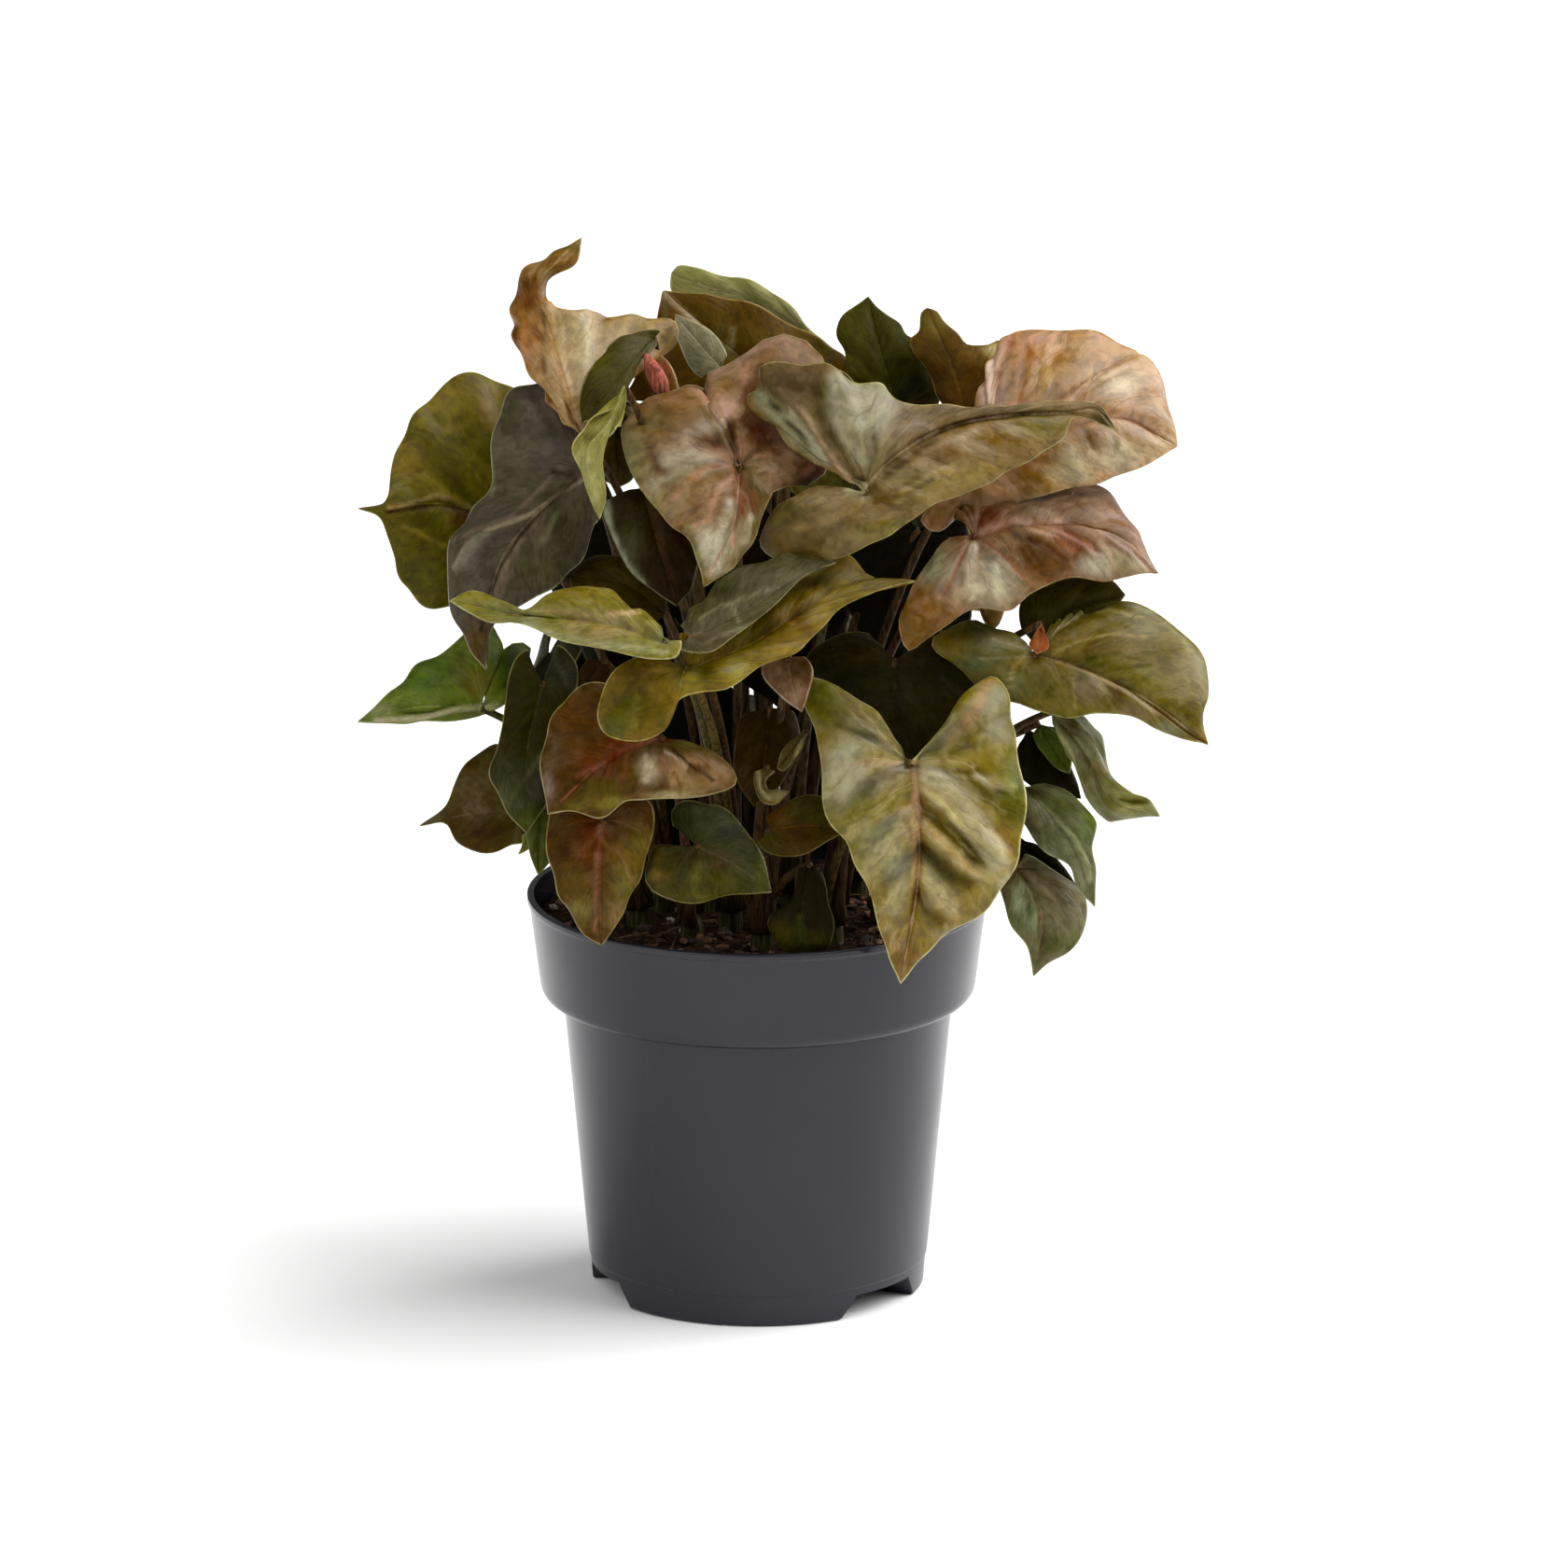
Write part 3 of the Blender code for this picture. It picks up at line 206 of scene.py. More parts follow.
def from_view(across: float, rise: float, near: float) -> np.ndarray:
    """Give the place of a point of the front view.

    Args:
        across: Millimetres to the right of the rim's middle.
        rise: Millimetres above it in the view.
        near: Millimetres from it towards the viewer.

    Returns:
        The place in metres.
    """
    shrink = 1 - near * MM / VIEW_DISTANCE
    right, up = across * shrink, rise * shrink
    back = up * math.sin(VIEW_TILT) - near * math.cos(VIEW_TILT)
    height = up * math.cos(VIEW_TILT) + near * math.sin(VIEW_TILT)
    return np.array([right, back, height]) * MM + RIM


def to_view(places: np.ndarray) -> np.ndarray:
    """Give where places lie on the front view.

    Args:
        places: Places in metres, along the last axis.

    Returns:
        Millimetres across and up from the middle of the rim.
    """
    local = (places - RIM) / MM
    near = local[..., 2] * math.sin(VIEW_TILT) - local[..., 1] * math.cos(VIEW_TILT)
    up = local[..., 2] * math.cos(VIEW_TILT) + local[..., 1] * math.sin(VIEW_TILT)
    return np.stack([local[..., 0], up], axis=-1) / (1 - near * MM / VIEW_DISTANCE)[..., None]


@dataclass(frozen=True)
class Spot:
    """A soft patch of colour on a blade: its middle and reach on the front view, in millimetres. Some patches are
    painted light: dark ones are painted shade where a blade lies in shadow, silvery ones are partly painted sheen.
    """

    across: float
    rise: float
    wide: float
    high: float
    colour: str
    strength: float = 1.0
    lean: float = 0.0

    def share(self, view: np.ndarray) -> np.ndarray:
        """Give how much of the patch reaches each place.

        Args:
            view: Places on the front view, by row and column.

        Returns:
            Shares from 0 to 1.
        """
        angle = math.radians(self.lean)
        aside = view - [self.across, self.rise]
        first = (aside[..., 0] * math.cos(angle) + aside[..., 1] * math.sin(angle)) / self.wide
        second = (aside[..., 1] * math.cos(angle) - aside[..., 0] * math.sin(angle)) / self.high
        return np.exp(-(first**2 + second**2)**SPOT_EDGE)


@dataclass(frozen=True)
class Stroke:
    """A soft band of colour along a line on the front view, with the fold that goes with it: a dark band where the
    fold sinks is painted shade, a pale band where it rises is painted highlight.

    The line is given across and up in millimetres, then its half width, its colour and
    strength, and how far the blade rises (or sinks) along it in millimetres.
    """

    line: Points
    wide: float
    colour: str
    strength: float = 1.0
    lift: float = 0.0

    def share(self, view: np.ndarray) -> np.ndarray:
        """Give how much of the band reaches each place.

        Args:
            view: Places on the front view, by row and column.

        Returns:
            Shares from 0 to 1.
        """
        line = np.array(self.line)
        nearest = np.full(view.shape[:2], np.inf)
        for start, end in zip(line[:-1], line[1:]):
            reach = end - start
            way = np.clip(((view - start) @ reach) / (reach @ reach), 0, 1)[..., None]
            nearest = np.minimum(nearest, np.linalg.norm(view - start - way * reach, axis=2))
        return np.exp(-(nearest / self.wide)**STROKE_EDGE)


@dataclass(frozen=True)
class Tint:
    """The colours of one blade: lamina, streaks along the veins, veins, thin edge and marks. The pale edge is partly
    a painted highlight along the margin, and lamina and marks hold the blade's light and shade as painted colour.
    """

    lamina: str
    streak: str
    vein: str
    edge: str
    spots: tuple[Spot, ...]
    strokes: tuple[Stroke, ...]
    streaking: float = 0.2
    veining: float = 0.15
    relief: float = 1.0
    under: bool = False


@dataclass(frozen=True)
class Blade:
    """A leaf blade drawn on the front view, in millimetres across and up from the rim's middle.

    The rib runs from the petiole to the tip, and each margin from the notch at the petiole round
    its lobe towards the tip. Depth is towards the viewer: at the petiole, at the tip and the bow
    between them, then what a margin gains for each millimetre out from the rib on either side,
    and what the lobes lose behind the petiole.
    """

    plantlet: str
    rib: Points
    left: Points
    right: Points
    depth: Triple
    fall: tuple[float, float] = (-0.2, -0.2)
    lobe_fall: float = 0.0

    def placed(self, points: Points, fall: float) -> np.ndarray:
        """Give the places of outline points.

        Args:
            points: Points on the front view.
            fall: Depth gained for each millimetre out from the rib.

        Returns:
            The places in metres, as rows.
        """
        heart = np.array(self.rib[0])
        reach = np.array(self.rib[-1]) - heart
        length = np.linalg.norm(reach)
        at_heart, at_tip, bow = self.depth
        places = []
        for point in points:
            across, rise = np.array(point) - heart
            share = (across * reach[0] + rise * reach[1]) / length**2
            aside = abs(across * reach[1] - rise * reach[0]) / length
            near = at_heart + self.lobe_fall * share
            if share >= 0:
                near = at_heart + (at_tip - at_heart) * share + 4 * bow * share * (1 - min(share, 1))
            places.append(from_view(*point, near + fall * aside))
        return np.array(places)

    def surface(self, lobe_rows: int, side_rows: int, half_columns: int) -> np.ndarray:
        """Give the blade's surface.

        Args:
            lobe_rows: Rows round the lobes behind the petiole.
            side_rows: Rows from there to the tip.
            half_columns: Columns on each side of the rib.

        Returns:
            Places in metres by row, column and axis; the middle column is the rib.
        """
        rib = self.placed(self.rib, 0.0)
        side_shares = np.linspace(0, 1, side_rows + 1)[1:]
        rib_shares = np.concatenate([np.zeros(lobe_rows + 1), side_shares**VEIN_SWEEP])
        inner = along(spline(rib, SPLINE_STEPS), rib_shares)
        reach = rib[-1] - rib[0]
        mix = np.linspace(0, 1, half_columns + 1)[None, :, None]
        halves = []
        for margin, fall, side in ((self.left, self.fall[0], -1), (self.right, self.fall[1], 1)):
            outline = np.vstack([rib[:1], self.placed(margin, fall), rib[-1:]])
            curve = spline(outline, SPLINE_STEPS)[SPLINE_STEPS:]
            ahead = (curve - rib[0]) @ reach / (reach @ reach)
            run = run_of(curve)
            lobe_end = max(LEAST_LOBE, (run / run[-1])[ahead < LOBE_END].max(initial=0.0))
            lobe_shares = np.linspace(0, lobe_end, lobe_rows + 1)
            outer = along(curve, np.concatenate([lobe_shares, lobe_end + (1 - lobe_end) * side_shares]))
            half = inner[:, None] * (1 - mix) + outer[:, None] * mix
            normal = np.cross(reach, outer[lobe_rows] - rib[0]) * side
            normal /= np.linalg.norm(normal)
            width = np.linalg.norm(outer - inner, axis=1)[:, None, None]
            half += normal * (ARCH * 4) * width * mix * (1 - mix)
            halves.append(half)
        return np.concatenate([halves[0][:, :0:-1], halves[1]], axis=1)

    def length_mm(self) -> float:
        """Give the length of the rib's chord on the front view."""
        return float(np.linalg.norm(np.array(self.rib[-1]) - np.array(self.rib[0])))

    def half_width_mm(self) -> float:
        """Measure the wider side of the blade.

        Returns:
            How far its margin stands off the rib's chord on the front view.
        """
        start, end = np.array(self.rib[0]), np.array(self.rib[-1])
        ahead = (end - start) / self.length_mm()
        aside = np.array(self.left + self.right) - start
        return float(np.abs(aside[:, 0] * ahead[1] - aside[:, 1] * ahead[0]).max())


@dataclass(frozen=True)
class TurnedBlade:
    """A leaf on the far side, which repeats a front leaf's outline.

    Heading is that of the petiole's end about the pot's axis in degrees, with the back at 90;
    height is above the rim and reach from the axis, both in millimetres.
    """

    source: str
    plantlet: str
    heading: float
    height: float
    reach: float
    size: float

    def turn(self, surface: np.ndarray) -> np.ndarray:
        """Carry a surface round the pot's axis to stand as this leaf.

        Args:
            surface: The front leaf's surface, by row and column.

        Returns:
            This leaf's surface.
        """
        heart = surface[0, surface.shape[1] // 2].copy()
        angle = math.radians(self.heading)
        turn = angle - math.atan2(heart[1], heart[0])
        spin = np.array([[math.cos(turn), math.sin(turn), 0], [-math.sin(turn), math.cos(turn), 0], [0, 0, 1]])
        place = np.array([self.reach * math.cos(angle), self.reach * math.sin(angle), self.height]) * MM
        return (surface - heart) * self.size @ spin + place + RIM


@dataclass(frozen=True)
class Spike:
    """A rolled young leaf: foot and tip on the front view with their depth, and radius, in millimetres."""

    plantlet: str
    foot: Triple
    tip: Triple
    radius: float


def read_points(text: str) -> Points:
    """Read points written as across,rise with spaces between them."""
    return tuple(tuple(float(number) for number in pair.split(",")) for pair in text.split())


def drawn(plantlet: str, depth: Triple, outline: str, **rest: float | tuple[float, float]) -> Blade:
    """Read a blade.

    Args:
        plantlet: Plantlet that carries it.
        depth: Its depth at the petiole and at the tip, and the bow between them.
        outline: Its rib | its left margin | its right margin, as points.
        rest: What differs from the defaults of Blade.

    Returns:
        The blade.
    """
    return Blade(plantlet, *(read_points(line) for line in outline.split("|")), depth, **rest)


def tinted(colours: str, marks: str = "", **rest: float) -> Tint:
    """Read the colours of a blade.

    Args:
        colours: Those of the lamina, the streaks, the veins and the edge.
        marks: Spots, as across rise wide high colour strength lean, then strokes, as
            points: wide colour strength lift. Defaults may be left out at the end.
        rest: What differs from the defaults of Tint.

    Returns:
        The colours.
    """
    spots, strokes = [], []
    for mark in filter(None, marks.split(";")):
        line, _, values = mark.rpartition(":")
        terms = [word if word.startswith("#") else float(word) for word in values.split()]
        if line:
            strokes.append(Stroke(read_points(line), *terms))
        else:
            spots.append(Spot(*terms))
    return Tint(*colours.split(), tuple(spots), tuple(strokes), **rest)


# Every leaf that the front view shows, and ten that stand in the dark among the petioles, whose near-black colours
# are painted shade
BLADES = {
    "front_heart": drawn("front_right", (74, 53, 9), """
        39.5,33.5 42,12 41,-3 37,-24 | 34,42 27,49.5 18,54 11,55 14,44 16.7,34 17,22 24,11 29,0 33,-14 | 46,38 52,48
        61,56 65,50 67,37 69.5,24 66.5,7 60,-3 46,-13.5""", lobe_fall=20),
    "rim_hanger": drawn("front_left", (64, 50, 4), """
        -40,18.5 -41,3 -40.5,-14 | -46,25 -53,23 -54.8,14 -53.5,4 -50,-4 -45,-11 | -34,25 -28.5,23 -27.6,15 -30,6
        -34.5,-4 -38,-10.5""", lobe_fall=10),
    "red_front": drawn("front_left", (76, 74, 3), """
        -25,40 -40,33.5 -54.5,20 | -30,49 -40,54 -48,52 -53,45.5 -56,36 -55.5,28 | -17,39 -10,35 -5.8,28.5 -13,25.5
        -24,24 -33,23.5 -41,19 -49,20.8""", fall=(-0.3, -0.1), lobe_fall=6),
    "mustard_sweep": drawn("middle", (88, 66, 2), """
        -19,58 -3,64 16,75 41,80.5 | -28,62 -36,58.5 -41,50 -40,41 -31,39 -23,43 -20.5,50 -8,53 1,58.5 11,63 21,73
        31,78 | -20,66 -12,74 0,79 12,84.5 22,87 29,82.5""", fall=(0.1, -1.2), lobe_fall=6),
    "lime_left": drawn("middle", (96, 66, 2), """
        -24,65 -40,70 -60,71.5 -80,75.5 | -25,69 -34,74 -44,80 -54,76.5 -62,73 -68,76.5 -75,77.6 | -20,65 -21,61
        -27,60.3 -40,63 -52,65.5 -61,69.5 -70,70 -76,73""", fall=(-1, 0.4)),
    "slate_right": drawn("middle", (94, 74, 2), """
        -18,66 -3,73 9,80.5 20.5,85.5 | -20,63 -13,62 -5,67 4,74 13,82.5 | -20,69 -14,77 -6,83 3,86 12,86.5
        """, fall=(0.4, -1.2)),
    "centre_blush": drawn("middle", (72, 80, 2), """
        -4.5,110.5 -5.5,98 -12,83 -14,79 | -9,121 -15.5,132.5 -24,129.5 -33.5,124 -35,115 -31,106 -24,96.5 -18.5,92
        -15,84 | -9,122 -14.5,133 -5,139 5,144.5 13,142 18.5,134 18.5,121 18,110 12,105 5,105.5 2.5,101 0,93 -6,84.5
        """, fall=(-0.25, -0.25), lobe_fall=20),
    "silver_top": drawn("crown_right", (80, 56, 2), """
        28,104 32,109.5 38,114.5 45,118.7 54,122.2 68,124.3 82,124.7 88,125.6 93.5,119.5 | 23,102.7 17,104 11,103.6
        5,100.6 2,95 0,90.3 5,86.6 14,86 23,87.5 32,91.7 39,95.4 45,100.2 52,102.2 59,105.8 66,109.5 73,113.5 79,117.3
        82,123 | 22.5,107.5 19.5,110.5 14,113 9,115.2 6,118.8 3.5,122 -0.5,124.7 -2.3,128.8 0.4,131 0.8,135.8 5,137.4
        11,136.9 17.5,137.3 22,134 26.5,131.7 32,131.5 35.5,128.4 42,126.4 52,125.9 64,126.2 80,127.2 88,126.8
        """, fall=(-0.1, -0.1), lobe_fall=26),
    "pink_crown": drawn("right_high", (52, 42, 4), """
        60,117 78,120 95,123 109,115.5 | 52,108 42,97 46,93.5 54,98 66,100.5 78,104 90,106.5 101,111 | 56,122 58,131
        63,143 72,146 85,145.5 98,140.5 105,133 108,122""", fall=(0.1, -0.5), lobe_fall=4),
    "pink_shelf": drawn("right_high", (62, 50, 4), """
        56.5,92.5 69,95.5 86,95.5 97,91 104,82.5 | 50,91.5 43.5,86 40,78.5 37,72 39,62.5 47,68 56,73.3 66,73 71,77.5
        81,81.3 92,80.5 99,82.5 | 51,97 56,102 68,104 84,106 93,100 99,92""", fall=(0.3, -1.4)),
    "olive_right": drawn("right_high", (60, 58, 4), """
        72.5,61.5 88,57 103,49 117,38 | 66,67 56,70.5 45.5,65 52,58 60,51 70,48 80,45 88,46.5 98,45 107,40.5 | 76,67.5
        80,70.5 87,73 96,74.5 106,71 113,64 117.5,55 115.5,47""", fall=(-0.1, -0.7), lobe_fall=4),
    "folded_right": drawn("right_low", (50, 50, 2), """
        76,46.5 84,37 89,28 94,22 104.5,19.5 | 77,43 80,38 84,30 88,21 91,17.4 97,19.4 | 81,46 87,44 90,36.5 92,29.5
        97,25.3 101.5,24""", fall=(-0.8, -0.8)),
    "bright_scrap": drawn("right_low", (42, 44, 1), """
        73,43.5 77,37 81,30.5 | 71.5,41 74,36 77.5,32 | 77,42.5 80,39 81.5,34"""),
    "slate_right_low": drawn("right_low", (56, 52, 3), """
        69,27 78,17 84,6 87.5,-4 | 66,22 70,16.5 75,10.5 81,6.5 83,1 | 74,28 82,24 88.5,18 86.6,11 87.6,5
        """, fall=(-0.4, -0.4)),
    "low_right": drawn("right_low", (52, 46, 3), """
        67,6 72,0 74.3,-8 71.5,-22 | 62.5,4 64.5,-4 66,-9 70,-14.5 | 69,9.5 77,5 85,0 85.8,-7 81,-15 75,-19
        """, fall=(-0.3, -0.4)),
    "dark_behind": drawn("front_right", (55, 53, 2), """
        36,60 35,42 33,22 | 29,67 20,66 13,62 14,50 22,34 | 43,68 51,66 57,58 56,45 45,30""", lobe_fall=10),
    "dark_front": drawn("front", (62, 58, 2), """
        -16,12 -6,7 3.5,-0.3 | -20,11 -27,12 -29.3,6 -27,-0.5 -17,-3 -7,-1 | -22,17 -22,22 -15,23.3 -7,20.5 -1,13
        2.5,5""", fall=(-0.2, -0.3), lobe_fall=6),
    "green_left": drawn("left_low", (42, 42, 2), """
        -72,47.5 -88,48 -104,44 | -71,53 -67,62 -69.5,69.5 -78,65 -88,58.5 -95,52 | -69,50 -68,58 -63,64.5 -59,64.5
        -61.5,54 -65,49 -74,45 -84,44.2 -94,43.6""", fall=(-0.6, -0.6), lobe_fall=4),
    "brown_left": drawn("left_low", (38, 36, 2), """
        -62,21 -75,20 -88,17 | -61,31 -68,38.5 -75,34 -78.3,28 -81.5,21.8 | -60,14 -66,11 -72,10.2 -78,12.5 -81,17.6
        """, fall=(-0.3, -0.3)),
    "tall_dark": drawn("left_low", (56, 50, 2), """
        -56,54 -60,36 -60,15 | -60,63 -65,56 -66,43 -69.3,31 -66,22 | -52,64 -47,60 -48,50 -53,38 -54,25
        """, fall=(-0.3, -0.2), lobe_fall=6),
    "rim_green": drawn("left_low", (44, 42, 1), "-56,22 -57,12 -57,4.3 | -60,18 -59.3,10 | -53,19 -53.5,9"),
    "grey_left": drawn("left_high", (64, 52, 4), """
        -44,109 -60,96 -68.5,82 -70.5,57.5 | -46,120 -54,131.5 -63,130.5 -68,122 -70,104 -79,92 -81,80 -76.5,66 |
        -41,104 -42,97 -46,86 -55,77.5 -66,72 -70,66""", fall=(-0.35, -0.2), lobe_fall=8),
    "olive_left": drawn("left_high", (34, 38, 3), """
        -64,98 -84,101 -104,99.5 | -60,110 -60,126 -70,133.5 -77,134 -89,124 -95,110 -97,101 | -62,88 -70,78 -85.5,74
        -92,80 -95,88 -98,97""", fall=(-0.3, -0.2), lobe_fall=4),
    "tan_curl": drawn("crown_left", (68, 44, 2), """
        -46,119 -50,132 -54.3,147 -57.5,156 -53.5,162.3 -45.6,169.8 | -40,126 -30,136 -22,141.5 -22,147.8 -35,149.6
        -48,150.3 -53.8,152.3 -54.8,158.5 -47.2,163 | -50,121.5 -57,131 -62,140 -63.8,150 -63,156.5 -60.3,161.3
        -54,165.3""", fall=(-0.6, -0.4)),
    "dark_fold": drawn("crown_left", (52, 71, 2), """
        -27,143.5 -36,134 -46,121.5 | -25.3,145.6 -30,145.6 -35,143.8 -40.5,140 -44.5,133.5 -46.5,127 | -26.3,142
        -30,138.5 -33,132.5 -36.5,127 -42,122.8""", fall=(-0.3, -0.1)),
    "lime_twist": drawn("middle", (72, 78, 2), """
        -34.5,131 -38.5,121.5 -44,115 -43.5,108 -41,96.5 | -35.2,124 -37.3,119.5 -41,116.3 -40.6,110 -39.3,103 |
        -37.5,125.5 -44.5,121.3 -48.3,115.3 -45.8,109 -44,103"""),
    "orange_small": drawn("crown_left", (54, 50, 1), """
        -26.5,127 -27.5,134 -26.5,140.3 | -20.7,128 -21,132.5 -23,137.6 | -34.5,127.5 -32.3,133 -29.5,139.4"""),
    "lime_crest": drawn("crown_back", (5, 2, 1), """
        19,140 8,148.8 -4,154.5 -14,157.2 -22.5,160.5 | 16,144.3 12.3,147.6 8,152 3.5,156.3 0,158.3 -3,159.2 -10,160.3
        -16,162 -20.5,162.6 | 12,143 6,146 0,149 -8,151.5 -14,152.5 -20,153.6 -22.6,156.5""", fall=(0.05, -0.05)),
    "brown_crest": drawn("crown_back", (12, 10, 2), """
        6,130 -8,142 -24.5,156 | 14,128 23.5,133.3 22.5,138.8 17,143.2 10,147.2 0,152 -8,154.3 -16,155.3 | -6,125
        -18,129 -27,136 -29,142 -26,149"""),
    "silver_crest": drawn("crown_back", (34, 25, 1), """
        -9.5,136 -14.5,141.5 -21.4,150 | -8,139 -10,143.5 -15.5,147.5 | -14.5,133.5 -18.7,138.5 -21.2,144.5"""),
    "dark_back": drawn("crown_right", (20, 12, 3), """
        36,126 32,140 28.8,154.5 | 46,125 47,134 40.5,143 38.5,144.5 37,147.6 33.5,149.8 31,151.7 | 28,126 24.3,133
        22.6,140 20.5,144.5 22,148.7 25.2,151.6"""),
    "brown_back": drawn("crown_right", (30, 22, 2), """
        54,124 50,138 44,151.5 | 60,124 62,134 63.5,143.4 58.5,142.8 54.3,142.2 52,144.8 48.5,148 46.5,150.6 | 49,125
        44.5,134 39.7,143.3 42,146 42.7,150.4"""),
    "dark_middle": drawn("middle", (64, 70, 2), """
        -30,105 -26,90 -21,74 | -35,103.5 -40,101 -38,93 -34,84.5 -27,78 | -24,104 -18,98 -15,88 -17,79"""),
    "dark_shelf": drawn("middle", (62, 56, 2), """
        -24,72 -34,80 -49,82 | -24,80 -33,86.5 -42,87 | -28,68 -38,71 -47,76""", fall=(-0.4, 0.1)),
    "pale_under": drawn("front", (66, 68, 1), """
        8,61 9,54 11.5,46.5 | 12,61 14.5,57.5 13,51 | 3,61 1,57 6,50.5""", fall=(-0.2, 0.1)),
    "brown_inner": drawn("front", (54, 54, 2), "3,48 2,36 -1,22 | -3,46 -6,38 -5,28 | 9,47 11,40 6,28"),
    "pale_curl": drawn("front", (60, 62, 1), """
        2.4,32.4 0.9,27.5 8.3,26 | -0.6,31 -0.8,27 1.6,22.8 4.6,22.6 | 4.2,31.4 1.9,28.6 3.4,25.7
        """, fall=(0.1, -0.2)),
    "pale_fold": drawn("front", (62, 62, 1), """
        12.8,42 9.3,37.2 5,32 | 10.4,40.6 6.2,36.2 | 12,38.4 9.6,34.4 6.4,31.2""", fall=(-0.2, 0.1)),
    "low_red": drawn("front", (60, 60, 2), "3,16 12,17 24,16 | 0,13 4,9.5 11,9.3 18,13 | 2,19 7,22.5 14,25 20,23"),
    "rim_olive": drawn("front", (52, 50, 1), """
        13.5,7 11.5,-5 12,-17 | 10.5,6 8.5,-3 2.6,-8 6.6,-15 | 16.5,5 18,-3 20,-8.5 17.5,-15"""),
    "olive_shelf": drawn("right_high", (52, 46, 1), """
        73,62 81,72 95.5,77 | 80,66 90,70 | 69,68 69,75 72,79.5 80,81.3 91,81"""),
    "orange_sheath": drawn("right_high", (60, 62, 0), "73.5,69.5 73,65 72.5,61.5 | 72,67 70.4,64 | 75,66 75.4,63"),
    "shadow_right": drawn("right_low", (38, 36, 1), "70,42 76,34 84,24 | 68,38 68,30 74,26 | 76,38 82,31"),
    "shadow_low": drawn("right_low", (44, 44, 1), "67,14 74,8 83,1 | 66,8 73,3.5 | 72,12.5 79,7"),
    "dim_brown": drawn("left_high", (54, 54, 0), "-40,60 -44,55 -46,50 | -44,60.5 -46.5,56 | -38,57 -41,51"),
    "lime_speck": drawn("left_low", (38, 38, 0), """
        -59,16 -60,12.5 -62.3,9.6 | -61,14.8 -61.3,12 | -58.3,13.5 -59.5,11"""),
    "dim_olive": drawn("crown_left", (42, 42, 1), """
        -38,127 -37,116 -36,105 | -42.5,125 -43.5,114 -40,107 | -33,126 -30,115 -32.5,107"""),
    "shade_high_left": drawn("crown_left", (17, 4, 2), """
        -32,94 -33,72 -30,50 | -38,101 -48,99 -55,89 -52,74 -43,59 | -26,101 -15,100 -10,90 -13,74 -21,59
        """, fall=(-0.1, -0.1), lobe_fall=4),
    "shade_high_middle": drawn("crown_back", (13, 0, 2), """
        4,97 3,74 5,48 | -2,105 -12,103 -18,92 -16,76 -7,58 | 10,105 21,103 27,92 25,76 16,58
        """, fall=(-0.1, -0.1), lobe_fall=4),
    "shade_high_right": drawn("crown_right", (21, 7, 2), """
        42,94 41,73 44,46 | 36,101 27,100 21,90 23,75 33,58 | 48,99 54,95 56,85 55,71 50,56
        """, fall=(-0.1, -0.1), lobe_fall=4),
    "shade_low_left": drawn("back_left", (-6, -20, 1), """
        -34,56 -34,34 -33,6 | -42,64 -55,61 -62,48 -58,32 -46,15 | -26,64 -13,61 -5,48 -2.5,32 -3.5,16
        """, fall=(-0.1, -0.1), lobe_fall=4),
    "shade_low_right": drawn("back_right", (-5, -19, 1), """
        28,56 28,34 28,6 | 20,64 10.5,61 5.5,48 5.5,32 10.5,15 | 36,64 50,61 60,49 57,32 42,15
        """, fall=(-0.1, -0.1), lobe_fall=4),
}
